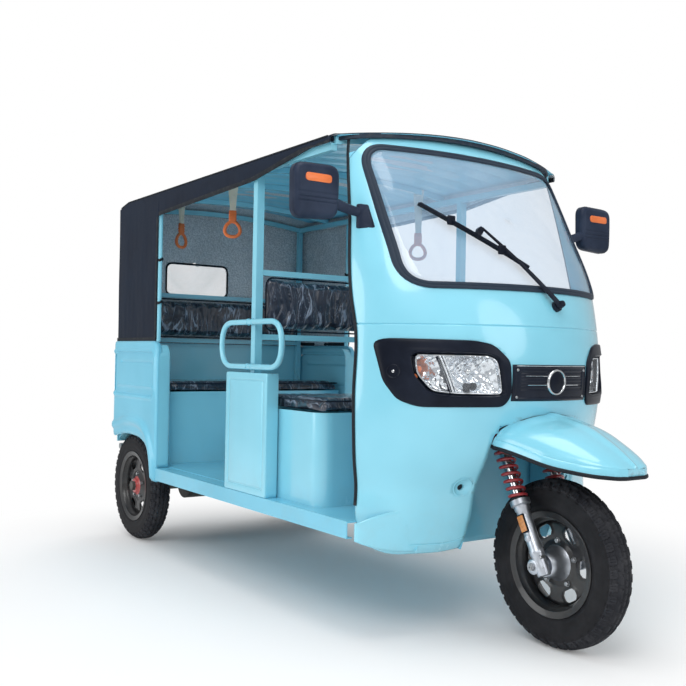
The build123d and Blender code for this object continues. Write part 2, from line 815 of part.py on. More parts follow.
def make_floor():
    """Floor pan with its side sills."""
    with BuildPart() as floor:
        with BuildSketch(Plane.XY.offset(RAIL_TOP + SEAT_GAP)):
            with Locations((station((SILL_FRONT + QUARTER_FRONT) / 2), 0)):
                Rectangle(QUARTER_FRONT - SILL_FRONT, 2 * BODY_HALF)
            with Locations((station((QUARTER_FRONT + BENCH_FRONT) / 2), 0)):
                Rectangle(BENCH_FRONT - QUARTER_FRONT + 2, 2 * (BODY_HALF - PANEL_DEPTH - 1))
            with Locations((station((BENCH_FRONT + BODY_REAR - 12) / 2), 0)):
                Rectangle(BODY_REAR - 12 - BENCH_FRONT + 2, 2 * REAR_FLOOR_HALF)
            with Locations((station((FLOOR_TONGUE + SILL_FRONT) / 2), 0)):
                Rectangle(SILL_FRONT - FLOOR_TONGUE + 2, 2 * TONGUE_HALF)
            with Locations((station(COLUMN_FOOT), 0)):
                Rectangle(COLUMN_W + 20, COLUMN_W + 20, mode=Mode.SUBTRACT)
        extrude(amount=FLOOR_Z - RAIL_TOP - SEAT_GAP)
        with BuildSketch(Plane.XY.offset(FLOOR_Z)):
            with Locations((station((TREAD_FRONT + TREAD_REAR) / 2), 0)):
                RectangleRounded(TREAD_REAR - TREAD_FRONT, 2 * TREAD_HALF, 30)
        extrude(amount=TREAD_RISE)
        middle = station((SILL_FRONT + QUARTER_FRONT) / 2)
        for _, side in SIDES:
            with Locations((middle, side * (BODY_HALF - SHEET / 2), (SILL_BOTTOM + FLOOR_Z) / 2)):
                Box(QUARTER_FRONT - SILL_FRONT, SHEET, FLOOR_Z - SILL_BOTTOM)
            with Locations((middle, side * (BODY_HALF - SILL_LIP / 2), SILL_BOTTOM + SHEET / 2)):
                Box(QUARTER_FRONT - SILL_FRONT, SILL_LIP, SHEET)
    return floor


PANEL_DEPTH = 20.0
PANEL_RIM = 26.0
ARCH_TOP = 500.0
ARCH_FRONT = 2040.0
PANEL_CORNER = 62.0
EMBOSS = 4.0  # how far the pressed relief stands out of a panel
BEAD_W = 10.0
PANEL_FRAME = {"front": 1953.0, "rear": 2448.0, "low": 712.0, "high": 930.0, "corner": 40.0}
PANEL_BEADS = ((877.0, 1992.0, 2395.0), (760.0, 1980.0, 2430.0))
FLARE = ((2455.0, 560.0), (2288.0, 600.0), (2150.0, 600.0), (2050.0, 565.0), (1990.0, 480.0), (1962.0, 370.0))
FLARE_W = 26.0
FLARE_BEND = 60.0


def quarter_outline(y, inset):
    """Side view of the rear side panel at y, pulled in by inset."""
    front = station(QUARTER_FRONT + 1)
    rear = station(BODY_REAR)
    with BuildSketch(side_plane(y)) as outline:
        with BuildLine():
            Polyline(
                (front, SILL_BOTTOM - 6),
                (front, WAIST_Z),
                (rear, WAIST_Z),
                (rear, ARCH_TOP),
                (station(ARCH_FRONT + 60), ARCH_TOP),
                (station(ARCH_FRONT), 460),
                (station(ARCH_FRONT - 50), 360),
                (station(ARCH_FRONT - 62), SILL_BOTTOM - 6),
                close=True,
            )
        make_face()
        fillet(outline.vertices().group_by(Axis.Y)[-1].sort_by(Axis.X)[-1], PANEL_CORNER)
        if inset:
            offset(amount=-inset)
    return outline.sketch


def frame_sketch(width, height, corner):
    """Rounded rectangle drawn as a bead."""
    RectangleRounded(width, height, corner)
    RectangleRounded(width - 2 * BEAD_W, height - 2 * BEAD_W, corner - BEAD_W, mode=Mode.SUBTRACT)


def make_panel_relief():
    """Frame, beads and wheel arch flare that stand out of the side panel."""
    frame = PANEL_FRAME
    with BuildPart() as relief:
        with BuildSketch(side_plane(-BODY_HALF - EMBOSS)):
            with Locations((station((frame["front"] + frame["rear"]) / 2), (frame["low"] + frame["high"]) / 2)):
                frame_sketch(frame["rear"] - frame["front"], frame["high"] - frame["low"], frame["corner"])
            for z, front, rear in PANEL_BEADS:
                with Locations((station((front + rear) / 2), z)):
                    SlotOverall(rear - front, BEAD_W)
        extrude(amount=-EMBOSS - SHEET / 2)
        with BuildSketch(side_plane(-BODY_HALF - EMBOSS)):
            with BuildLine():
                FilletPolyline(*[(station(behind), z) for behind, z in FLARE], radius=FLARE_BEND)
            trace(line_width=FLARE_W)
        extrude(amount=-EMBOSS - SHEET / 2)
    return relief.part


def make_side_panel():
    """Rear side panel, right side: a skin with a deep rolled edge and pressed relief."""
    with BuildPart() as panel:
        add(make_panel_relief())
        extrude(quarter_outline(-BODY_HALF, 0), amount=-PANEL_DEPTH)
        extrude(quarter_outline(SHEET - BODY_HALF, PANEL_RIM), amount=-PANEL_DEPTH, mode=Mode.SUBTRACT)
    return panel


REAR_PANEL_DEPTH = 10.0
REAR_PANEL_LOW = 470.0
REAR_FRAME = {"width": 780.0, "height": 400.0}


def make_rear_panel():
    """Back wall of the body between the side panels."""
    half = BODY_HALF - PANEL_DEPTH - SEAT_GAP
    with BuildPart() as panel:
        with BuildSketch(cross_plane(BODY_REAR)):
            with Locations((0, (WAIST_Z + REAR_PANEL_LOW) / 2)):
                Rectangle(2 * half, WAIST_Z - REAR_PANEL_LOW)
        extrude(amount=REAR_PANEL_DEPTH)
        with BuildSketch(cross_plane(BODY_REAR - SHEET)):
            with Locations((0, (WAIST_Z + REAR_PANEL_LOW) / 2)):
                Rectangle(2 * half - 30, WAIST_Z - REAR_PANEL_LOW - 30)
        extrude(amount=REAR_PANEL_DEPTH, mode=Mode.SUBTRACT)
        with BuildSketch(cross_plane(BODY_REAR + EMBOSS)):
            with Locations((0, (WAIST_Z + REAR_PANEL_LOW) / 2)):
                frame_sketch(REAR_FRAME["width"], REAR_FRAME["height"], PANEL_FRAME["corner"])
        extrude(amount=EMBOSS + SHEET / 2)
    return panel


PARTITION_FRONT = 920.0
PARTITION_REAR = 1244.0
PARTITION_TOP = 854.0
PRESS_INSET = 24.0  # frame pressed into the partition's outer face
PRESS_W = 8.0
PRESS_DEPTH = 3.0
POST_AT = 1070.0
POST_W = 31.0
HOOP_R = 11.0
PARTITION_DEPTH = POST_W + 2 * HOOP_R + SEAT_GAP  # the post and the hoop stand side by side on it


def make_partition():
    """Box panel beside the front bench, right side."""
    with BuildPart() as box:
        with Locations(
            (
                station((PARTITION_FRONT + PARTITION_REAR) / 2),
                -BODY_HALF + PARTITION_DEPTH / 2,
                (FLOOR_Z + PARTITION_TOP) / 2,
            )
        ):
            Box(PARTITION_REAR - PARTITION_FRONT, PARTITION_DEPTH, PARTITION_TOP - FLOOR_Z)
        fillet(box.edges().filter_by(Axis.Z), 8)
        with BuildSketch(side_plane(-BODY_HALF)):
            with Locations((station((PARTITION_FRONT + PARTITION_REAR) / 2), (FLOOR_Z + PARTITION_TOP) / 2)):
                width = PARTITION_REAR - PARTITION_FRONT - 2 * PRESS_INSET
                height = PARTITION_TOP - FLOOR_Z - 2 * PRESS_INSET
                Rectangle(width, height)
                Rectangle(width - 2 * PRESS_W, height - 2 * PRESS_W, mode=Mode.SUBTRACT)
        extrude(amount=-PRESS_DEPTH, mode=Mode.SUBTRACT)
    return box


HOOP_W = 490.0
HOOP_TOP = 1060.0
HOOP_CORNER = 55.0


def make_hoops():
    """Tube hoops standing on both partitions."""
    low = PARTITION_TOP + SEAT_GAP + HOOP_R
    high = HOOP_TOP - HOOP_R
    with BuildPart() as hoops:
        for _, side in SIDES:
            y = side * (BODY_HALF - HOOP_R)
            front = station(POST_AT - HOOP_W / 2 + HOOP_R)
            rear = station(POST_AT + HOOP_W / 2 - HOOP_R)
            corners = [(rear, y, low), (front, y, low), (front, y, high), (rear, y, high)]
            with BuildLine() as path:
                FilletPolyline(*corners, radius=HOOP_CORNER, close=True)
            with BuildSketch(Plane(origin=path.line @ 0, z_dir=path.line % 0)):
                Circle(HOOP_R)
            sweep()
    return hoops


# Roof frame.
RAIL_SQ = 25.0
ROOF_RAIL_Y = 525.0
ROOF_RAIL_Z = 1640.0
ROOF_FRONT = 560.0
BOWS = (ROOF_FRONT, 1200.0, 1620.0, 2160.0, 2440.0)
REAR_TUBE_AT = 1980.0
REAR_TUBE_R = 11.0
CORNER_POST_AT = 2441.0
BACK_BARS = ((POST_AT, 1242.0), (POST_AT, 992.0), (CORNER_POST_AT, 1225.0), (CORNER_POST_AT, 990.0))
REAR_BOX_TOP = 737.0


def canopy_fall(behind):
    """How far the canopy's top has dropped over the rear chamfer."""
    return REAR_CHAMFER_DROP * max(0.0, 1 - (CANOPY_REAR - CANOPY_T - behind) / REAR_CHAMFER)


def make_roof_frame():
    """Posts, rails and bows that carry the roof, with the bars behind the backrests."""
    rear = CORNER_POST_AT + RAIL_SQ / 2
    with BuildPart() as frame:
        with BuildSketch(cross_plane(rear)):
            with Locations((-ROOF_RAIL_Y, ROOF_RAIL_Z), (ROOF_RAIL_Y, ROOF_RAIL_Z)):
                Rectangle(RAIL_SQ, RAIL_SQ)
        extrude(amount=rear - ROOF_FRONT)
        for behind in BOWS:
            top = BOW_TOP + canopy_fall(behind + 10)
            bow = roof_band(cross_plane(behind + 10), ROOF_RAIL_Y, top, top + BOW_T)
            extrude(bow, amount=20)
        with BuildSketch(Plane.XY.offset(PARTITION_TOP + SEAT_GAP)):
            for _, side in SIDES:
                with Locations((station(POST_AT), side * POST_Y)):
                    Rectangle(POST_W, POST_W)
        extrude(amount=ROOF_RAIL_Z - PARTITION_TOP)
        with BuildSketch(Plane.XY.offset(REAR_BOX_TOP + SEAT_GAP)):
            for _, side in SIDES:
                with Locations((station(CORNER_POST_AT), side * (ROOF_RAIL_Y - 5))):
                    Rectangle(RAIL_SQ, RAIL_SQ)
        extrude(amount=ROOF_RAIL_Z - REAR_BOX_TOP)
        with BuildSketch(Plane.XY.offset(WAIST_Z + SEAT_GAP)):
            for _, side in SIDES:
                with Locations((station(REAR_TUBE_AT), side * (BODY_HALF - PANEL_DEPTH - 6))):
                    Circle(REAR_TUBE_R)
        extrude(amount=ROOF_RAIL_Z - WAIST_Z)
        for behind, z in BACK_BARS:
            with BuildSketch(side_plane(POST_Y, station(behind), z)):
                Rectangle(RAIL_SQ - 3, RAIL_SQ - 3)
            extrude(amount=2 * POST_Y)
    return frame


POST_Y = BODY_HALF - PARTITION_DEPTH + POST_W / 2


def front_trim():
    """Solid that keeps what lies behind the roof's curved front edge."""
    nose = SHELL_SECTIONS[-1]
    with BuildPart() as keep_behind:
        with BuildSketch(Plane.XY.offset(0)):
            with BuildLine():
                radius = nose[4]
                edge_x = station(VISOR_AT)
                drop = radius - sqrt(radius**2 - (BODY_HALF + 10) ** 2)
                ThreePointArc((edge_x - drop, -BODY_HALF - 10), (edge_x, 0), (edge_x - drop, BODY_HALF + 10))
                Polyline(
                    (edge_x - drop, BODY_HALF + 10),
                    (station(BODY_REAR + 100), BODY_HALF + 10),
                    (station(BODY_REAR + 100), -BODY_HALF - 10),
                    (edge_x - drop, -BODY_HALF - 10),
                )
            make_face()
        extrude(amount=ROOF_Z + 10)
    return keep_behind.part


VISOR_AT = 432.0
LINING_HALF = ROOF_RAIL_Y + 3.0


def make_roof_lining():
    """Sheet roof under the canopy."""
    rear = CANOPY_REAR - CANOPY_T - REAR_CHAMFER
    with BuildPart() as lining:
        sheet = roof_band(cross_plane(rear), LINING_HALF, LINING_TOP, LINING_TOP + LINING_T)
        extrude(sheet, amount=rear)
        add(front_trim(), mode=Mode.INTERSECT)
    return lining


CANOPY_HALF = 556.0
CANOPY_REAR = 2472.0
CANOPY_CORNER = 26.0
CURTAIN_FRONT = 1975.0
CURTAIN_LOW = WAIST_Z + 4
VALANCE = ((1975.0, 1565.0), (1078.0, 1594.0), (545.0, 1668.0))
REAR_CHAMFER = 130.0
REAR_CHAMFER_DROP = 24.0
WINDOW_LOW = 1230.0
WINDOW_HIGH = 1400.0
WINDOW_RIGHT = -290.0
WINDOW_LEFT = 70.0


def canopy_form(inset):
    """Solid under the canopy's surface, pulled in by inset."""
    half = CANOPY_HALF - inset
    rear = CANOPY_REAR - inset
    low = CURTAIN_LOW
    with BuildPart() as form:
        with BuildSketch(cross_plane(rear)) as across:
            with BuildLine():
                top = roof_z(half, inset)
                ThreePointArc((-half, top), (0, ROOF_Z - inset), (half, top))
                Polyline((half, top), (half, low - inset), (-half, low - inset), (-half, top))
            make_face()
            fillet(across.vertices().group_by(Axis.Y)[-1], CANOPY_CORNER - inset)
        extrude(amount=rear)
        with BuildSketch(side_plane(CANOPY_HALF + 10)):
            with BuildLine():
                top = ROOF_Z - inset + 5
                Polyline(
                    (station(0), low - inset),
                    (station(0), top),
                    (station(rear - REAR_CHAMFER), top),
                    (station(rear), top - REAR_CHAMFER_DROP - 5),
                    (station(rear), low - inset),
                    close=True,
                )
            make_face()
        extrude(amount=2 * CANOPY_HALF + 20, mode=Mode.INTERSECT)
    return form.part


def make_canopy():
    """Fabric canopy: roof skin, side valances and rear curtains."""
    with BuildPart() as canopy:
        add(canopy_form(0))
        add(canopy_form(CANOPY_T), mode=Mode.SUBTRACT)
        with BuildSketch(side_plane(CANOPY_HALF + 20)):
            with BuildLine():
                Polyline(
                    *[(station(behind), z) for behind, z in VALANCE],
                    (station(300), 1668.0),
                    (station(300), CURTAIN_LOW - 50),
                    (station(CURTAIN_FRONT), CURTAIN_LOW - 50),
                    close=True,
                )
            make_face()
        extrude(amount=2 * CANOPY_HALF + 40, mode=Mode.SUBTRACT)
        add(front_trim(), mode=Mode.INTERSECT)
        with BuildSketch(cross_plane(CANOPY_REAR + 10)):
            with Locations(((WINDOW_LEFT + WINDOW_RIGHT) / 2, (WINDOW_LOW + WINDOW_HIGH) / 2)):
                RectangleRounded(WINDOW_LEFT - WINDOW_RIGHT, WINDOW_HIGH - WINDOW_LOW, 30)
        extrude(amount=40, mode=Mode.SUBTRACT)
    return canopy


WINDOW_T = 2.0


def make_rear_window():
    """Clear pane in the rear curtain."""
    with BuildPart() as pane:
        with BuildSketch(cross_plane(CANOPY_REAR - CANOPY_T / 2 + WINDOW_T / 2)):
            with Locations(((WINDOW_LEFT + WINDOW_RIGHT) / 2, (WINDOW_LOW + WINDOW_HIGH) / 2)):
                RectangleRounded(
                    WINDOW_LEFT - WINDOW_RIGHT - 2 * SEAT_GAP, WINDOW_HIGH - WINDOW_LOW - 2 * SEAT_GAP, 30
                )
        extrude(amount=WINDOW_T)
    return pane


# Seats. Each lid turns on a pin behind its cushion.
FRONT_HALF = BODY_HALF - PARTITION_DEPTH - MOVE_GAP
FRONT_BOX = {"front": 645.0, "rear": 1040.0, "half": FRONT_HALF, "top": 722.0}
FRONT_LID = {"front": 632.0, "rear": 1036.0, "half": FRONT_HALF, "thick": 53.0}
REAR_LID = {"front": 2022.0, "rear": 2385.0, "half": 530.0, "thick": 50.0}
HINGE_R = 3.0
KNUCKLE_R = 6.0
KNUCKLE_W = 40.0
HINGE_Y = 330.0
POST_THICK = 10.0
POST_FOOT = 12.5  # from the pin down into the box's wall
BOX_CORNER = 60.0
LID_GAP = 0.5


def hinge_x(lid):
    """X of a lid's hinge pin."""
    return station(lid["rear"]) - KNUCKLE_R - 1.0


def add_hinge_posts(lid, top):
    """Two pins on brackets, added to the box of a lid."""
    x = hinge_x(lid)
    z = top + KNUCKLE_R + 1.0
    for _, side in SIDES:
        for shift in (-1, 1):
            y = side * HINGE_Y + shift * (KNUCKLE_W / 2 + 6.0)
            with Locations((x, y, z - POST_FOOT / 2)):
                Box(2 * KNUCKLE_R, POST_THICK, POST_FOOT)
            with Locations((x, y, z)):
                Cylinder(KNUCKLE_R, POST_THICK, rotation=(90, 0, 0))
        with Locations((x, side * HINGE_Y, z)):
            Cylinder(HINGE_R, KNUCKLE_W + 16, rotation=(90, 0, 0))


def make_lid(lid, top):
    """Cushion on its board, with the knuckles of its hinge."""
    x = hinge_x(lid)
    z = top + KNUCKLE_R + 1.0
    length = lid["rear"] - lid["front"]
    with BuildPart() as cushion:
        with Locations((station((lid["front"] + lid["rear"]) / 2), 0, top + LID_GAP + lid["thick"] / 2)):
            Box(length, 2 * lid["half"], lid["thick"])
        fillet(cushion.edges().filter_by(Axis.Z), 30)
        fillet(cushion.edges().group_by(Axis.Z)[-1], 14)
        for _, side in SIDES:
            with Locations((x, side * HINGE_Y, z)):
                Cylinder(KNUCKLE_R, KNUCKLE_W, rotation=(90, 0, 0))
            with Locations((x + KNUCKLE_R, side * HINGE_Y, z - KNUCKLE_R + 2.5)):
                Box(2 * KNUCKLE_R + 4, KNUCKLE_W, 4)
        for _, side in SIDES:
            with Locations((x, side * HINGE_Y, z)):
                Cylinder(HINGE_R + FIT, KNUCKLE_W + 2, rotation=(90, 0, 0), mode=Mode.SUBTRACT)
    return cushion


def box_hollow(front, rear, half, low, top):
    """Hollow of the front box, its front corners rounded with the same wall as its sides."""
    with BuildPart() as hollow:
        with Locations((station((front + rear) / 2), 0, (low + top) / 2 + SHEET)):
            Box(rear - front - 2 * SHEET, 2 * half - 2 * SHEET, top - low)
        fillet(hollow.edges().filter_by(Axis.Z).group_by(Axis.X)[-1], BOX_CORNER - SHEET)
    return hollow.part


def make_front_box():
    """Open topped box under the front bench."""
    low = FLOOR_Z + SEAT_GAP
    box_front, box_rear, half, top = (FRONT_BOX[k] for k in ("front", "rear", "half", "top"))
    shelf_rear = box_rear + 22.0
    with BuildPart() as box:
        with Locations((station((box_front + shelf_rear) / 2), 0, (low + top) / 2)):
            Box(shelf_rear - box_front, 2 * half, top - low)
        fillet(box.edges().filter_by(Axis.Z).group_by(Axis.X)[-1], BOX_CORNER)
        add(box_hollow(box_front, box_rear, half, low, top), mode=Mode.SUBTRACT)
        add_hinge_posts(FRONT_LID, top)
    return box


WHEELHOUSE_R = 275.0
WHEELHOUSE_INNER = 408.0
REAR_BOX_HALF = 535.0


def wheelhouse(radius, inner):
    """Round space over both rear wheels."""
    with BuildPart() as space:
        for _, side in SIDES:
            with BuildSketch(side_plane(side * inner, REAR_AXLE_X, REAR_TYRE_R)):
                Circle(radius)
            extrude(amount=-side * (BODY_HALF - inner))
    return space.part


def make_rear_box():
    """Open topped box under the rear bench, with both wheelhouses."""
    low = FLOOR_Z + SEAT_GAP
    top = REAR_BOX_TOP
    rear = CORNER_POST_AT + RAIL_SQ / 2
    with BuildPart() as arch:
        with Locations((station((BENCH_FRONT + rear) / 2), 0, (low + top) / 2)):
            Box(rear - BENCH_FRONT, 2 * REAR_BOX_HALF, top - low)
        add(wheelhouse(WHEELHOUSE_R + SHEET, WHEELHOUSE_INNER - SHEET), mode=Mode.INTERSECT)
    with BuildPart() as box:
        with Locations((station((BENCH_FRONT + rear) / 2), 0, (low + top) / 2)):
            Box(rear - BENCH_FRONT, 2 * REAR_BOX_HALF, top - low)
        with Locations((station((BENCH_FRONT + rear) / 2), 0, (low + top) / 2 - SHEET)):
            Box(rear - BENCH_FRONT - 2 * SHEET, 2 * (REAR_BOX_HALF - SHEET), top - low, mode=Mode.SUBTRACT)
        with Locations((station((BENCH_FRONT + REAR_LID["rear"] - 30) / 2), 0, top)):
            Box(REAR_LID["rear"] - 30 - BENCH_FRONT - 30, 2 * REAR_BOX_HALF - 60, 20, mode=Mode.SUBTRACT)
        add(arch.part)
        add(wheelhouse(WHEELHOUSE_R, WHEELHOUSE_INNER), mode=Mode.SUBTRACT)
        add_hinge_posts(REAR_LID, top)
    return box


BATTERY_L = 300.0
BATTERY_HALF = 360.0
BATTERY_H = 220.0
BATTERY_CASES = 5


def make_battery():
    """Battery pack as one block on the floor of the rear box."""
    with BuildPart() as battery:
        with Locations((station(2240), 0, FLOOR_Z + SEAT_GAP + BATTERY_H / 2)):
            Box(BATTERY_L, 2 * BATTERY_HALF, BATTERY_H)
        top = FLOOR_Z + SEAT_GAP + BATTERY_H
        pitch = 2 * BATTERY_HALF / BATTERY_CASES
        for case in range(1, BATTERY_CASES):
            with Locations((station(2240), case * pitch - BATTERY_HALF, top)):
                Box(BATTERY_L, GROOVE_W, BATTERY_H, mode=Mode.SUBTRACT)
        with Locations((station(2240), 0, top)):
            with GridLocations(BATTERY_L - 70, pitch, 2, BATTERY_CASES):
                Cylinder(9, 16)
    return battery


FRONT_PAD = {"at": POST_AT, "low": 1013.0, "high": 1228.0, "half": 495.0, "thick": 36.0}
REAR_PAD = {"at": 2424.0, "low": 1004.0, "high": 1208.0, "half": 490.0, "thick": 40.0}


def make_front_backrest():
    """Pad between the two bars at the middle posts."""
    pad = FRONT_PAD
    with BuildPart() as rest:
        with Locations((station(pad["at"]), 0, (pad["low"] + pad["high"]) / 2)):
            Box(pad["thick"], 2 * pad["half"], pad["high"] - pad["low"])
        fillet(rest.edges(), 8)
        for z in (pad["low"], pad["high"]):
            for _, side in SIDES:
                with Locations((station(pad["at"]), side * 300, z)):
                    Box(4, 40, 20)
        for behind, z in BACK_BARS[:2]:
            with Locations((station(behind), 0, z)):
                Box(RAIL_SQ - 3 + 1, 1200, RAIL_SQ - 3 + 1, mode=Mode.SUBTRACT)
    return rest


def make_rear_backrest():
    """Pad in front of the bars at the rear posts."""
    pad = REAR_PAD
    face = CORNER_POST_AT - (RAIL_SQ - 3) / 2 - SEAT_GAP
    with BuildPart() as rest:
        with Locations((station(face - pad["thick"] / 2), 0, (pad["low"] + pad["high"]) / 2)):
            Box(pad["thick"], 2 * pad["half"], pad["high"] - pad["low"])
        fillet(rest.edges().group_by(Axis.X)[-1], 12)
        for z in (pad["low"] - 2, pad["high"] + 2):
            for _, side in SIDES:
                with Locations((station(face - 3), side * 300, z)):
                    Box(6, 40, 40)
    return rest


# Strap handles: bow, distance from the centre line and drop of the handle's bottom.
STRAPS = ((1620.0, -350.0, 1440.0), (2160.0, -350.0, 1440.0), (1200.0, 380.0, 1362.0))
STRAP_W = 26.0
STRAP_T = 3.0
LOOP_R = 42.0
LOOP_BAR = 8.0


def make_straps():
    """Hanging strap handles under the roof bows."""
    with BuildPart() as straps:
        for behind, y, low in STRAPS:
            x = station(behind)
            top = roof_z(abs(y), BOW_TOP + BOW_T) - 2 * SEAT_GAP
            ring_z = low + LOOP_R
            with Locations((x, y, ring_z)):
                Torus(LOOP_R - LOOP_BAR, LOOP_BAR, rotation=(90, 0, 0))
            with Locations((x, y, (ring_z + LOOP_R - 6 + top) / 2)):
                Box(STRAP_W, STRAP_T, top - ring_z - LOOP_R + 6)
            with Locations((x, y, ring_z + LOOP_R + 18)):
                Box(STRAP_W + 8, 16, 44)
    return straps


# Mirrors.
MIRROR_IN = 587.0
MIRROR_OUT = 763.0
MIRROR_LOW = 1360.0
MIRROR_HIGH = 1545.0
MIRROR_AT = 440.0
MIRROR_T = 46.0
BRACKET_Z = 1388.0
BRACKET_H = 82.0
MIRROR_GROOVES = (1448.0, 1462.0, 1476.0)
GROOVE_W = 4.0


def make_mirror():
    """Mirror with its arm and bracket, right side."""
    x = station(MIRROR_AT)
    root = shell_x(505, BRACKET_Z) + 6
    with BuildPart() as mirror_piece:
        with Locations((x, -(MIRROR_IN + MIRROR_OUT) / 2, (MIRROR_LOW + MIRROR_HIGH) / 2)):
            Box(MIRROR_T, MIRROR_OUT - MIRROR_IN, MIRROR_HIGH - MIRROR_LOW)
        fillet(mirror_piece.edges().filter_by(Axis.X), 22)
        fillet(mirror_piece.edges().group_by(Axis.X)[-1], 12)
        for z in MIRROR_GROOVES:
            with Locations((x + MIRROR_T / 2, -(MIRROR_IN + MIRROR_OUT) / 2, z)):
                Box(GROOVE_W, MIRROR_OUT - MIRROR_IN, GROOVE_W, mode=Mode.SUBTRACT)
        with BuildSketch(side_plane(-MIRROR_IN - 20, x, BRACKET_Z + 14)):
            RectangleRounded(26, 34, 8)
        with BuildSketch(side_plane(-505, root, BRACKET_Z + 14)):
            RectangleRounded(20, 26, 8)
        loft()
        with Locations((root, -500, BRACKET_Z)):
            Box(20, 34, BRACKET_H)
        add(shell_form(SEAT_GAP), mode=Mode.SUBTRACT)
    return mirror_piece


# Wiper, as places in the front view.
WIPER_PIVOT = (40.0, 1100.0)
WIPER_HEAD = (-173.0, 1357.0)
BLADE_ENDS = ((-351.0, 1433.0), (-42.0, 1229.0))
WIPER_OFF = 20.0


def on_shell(place, grow):
    """Point over the shell's surface."""
    y, z = place
    return Vector(shell_x(y, z, grow), y, z)


def flat_bar(start, end, width, depth):
    """Straight bar between two points, standing off the windscreen."""
    way = end - start
    with BuildPart() as bar:
        out = Vector(1, 0, 0.7).normalized()
        across = way.cross(out).normalized()
        with BuildSketch(Plane(origin=start, x_dir=across, z_dir=way.normalized())):
            Rectangle(width, depth)
        extrude(amount=way.length)
    return bar.part


def make_wiper():
    """Wiper arm and blade on the windscreen."""
    pivot = on_shell(WIPER_PIVOT, WIPER_OFF + 4)
    head = on_shell(WIPER_HEAD, WIPER_OFF + 14)
    low, high = (on_shell(p, WIPER_OFF) for p in BLADE_ENDS)
    middle = on_shell(((BLADE_ENDS[0][0] + BLADE_ENDS[1][0]) / 2, (BLADE_ENDS[0][1] + BLADE_ENDS[1][1]) / 2), WIPER_OFF)
    with BuildPart() as wiper:
        add(flat_bar(low, middle, 10, 14))
        add(flat_bar(middle, high, 10, 14))
        add(flat_bar(pivot, head, 14, 8))
        add(flat_bar(head, middle, 22, 18))
        with Locations((shell_x(*WIPER_PIVOT) + 12, WIPER_PIVOT[0], WIPER_PIVOT[1])):
            Box(40, 34, 34)
        add(shell_form(SEAT_GAP), mode=Mode.SUBTRACT)
    return wiper


DASH_LOW = 1040.0
DASH_HIGH = 1105.0
DASH_BACK = 190.0


def make_dash():
    """Shelf behind the windscreen's foot."""
    with BuildPart() as dash:
        add(shell_form(-SHELL_WALL - SEAT_GAP))
        with Locations((station(DASH_BACK - 300), 0, (DASH_LOW + DASH_HIGH) / 2)):
            Box(600, 2 * BODY_HALF, DASH_HIGH - DASH_LOW, mode=Mode.INTERSECT)
    return dash


def make_pedal():
    """Brake pedal beside the column."""
    x = station(COLUMN_FOOT + 30)
    with BuildPart() as pedal:
        with Locations((x, -90, FLOOR_Z + SEAT_GAP + 3)):
            Box(60, 40, 6)
        with Locations((x + 10, -90, FLOOR_Z + 40)):
            Box(8, 14, 80)
        with Locations((x - 5, -90, FLOOR_Z + 84)):
            Box(40, 60, 10)
    return pedal


LAMP_Z = 760.0
LAMP_Y = 465.0


def make_tail_lamps():
    """Tail lamps on the rear panel."""
    with BuildPart() as lamps:
        for _, side in SIDES:
            with Locations((station(BODY_REAR + SEAT_GAP + 12), side * LAMP_Y, LAMP_Z)):
                Box(24, 90, 150)
        fillet(lamps.edges().group_by(Axis.X)[0], 6)
        for _, side in SIDES:
            with Locations(*[(station(BODY_REAR + 24), side * LAMP_Y, LAMP_Z + step) for step in (-25, 25)]):
                Box(GROOVE_W, 90, GROOVE_W, mode=Mode.SUBTRACT)
    return lamps


BUMPER_R = 15.0
BUMPER_HALF = 480.0
BUMPER_Z = 430.0
HOLDER_T = 3.0  # number plate holder
HOLDER_HALF = 120.0
HOLDER_LOW = 312.0
HOLDER_HIGH = 444.0
HOLDER_BITE = 2.0  # how far the tube sinks into the holder


def make_bumper():
    """Rear bumper tube on two brackets, with a number plate holder."""
    back = REAR_AXLE_X - REAR_REACH
    x = back + HOLDER_T - HOLDER_BITE + BUMPER_R
    with BuildPart() as bumper:
        with Locations((x, 0, BUMPER_Z)):
            Cylinder(BUMPER_R, 2 * BUMPER_HALF, rotation=(90, 0, 0))
        with Locations((back + HOLDER_T / 2, 0, (HOLDER_LOW + HOLDER_HIGH) / 2)):
            Box(HOLDER_T, 2 * HOLDER_HALF, HOLDER_HIGH - HOLDER_LOW)
        for _, side in SIDES:
            with Locations((station(RAIL_REAR) - SEAT_GAP - 4, side * RAIL_Y, (BUMPER_Z + RAIL_TOP - RAIL_H) / 2)):
                Box(8, 44, BUMPER_Z - RAIL_TOP + RAIL_H)
    return bumper


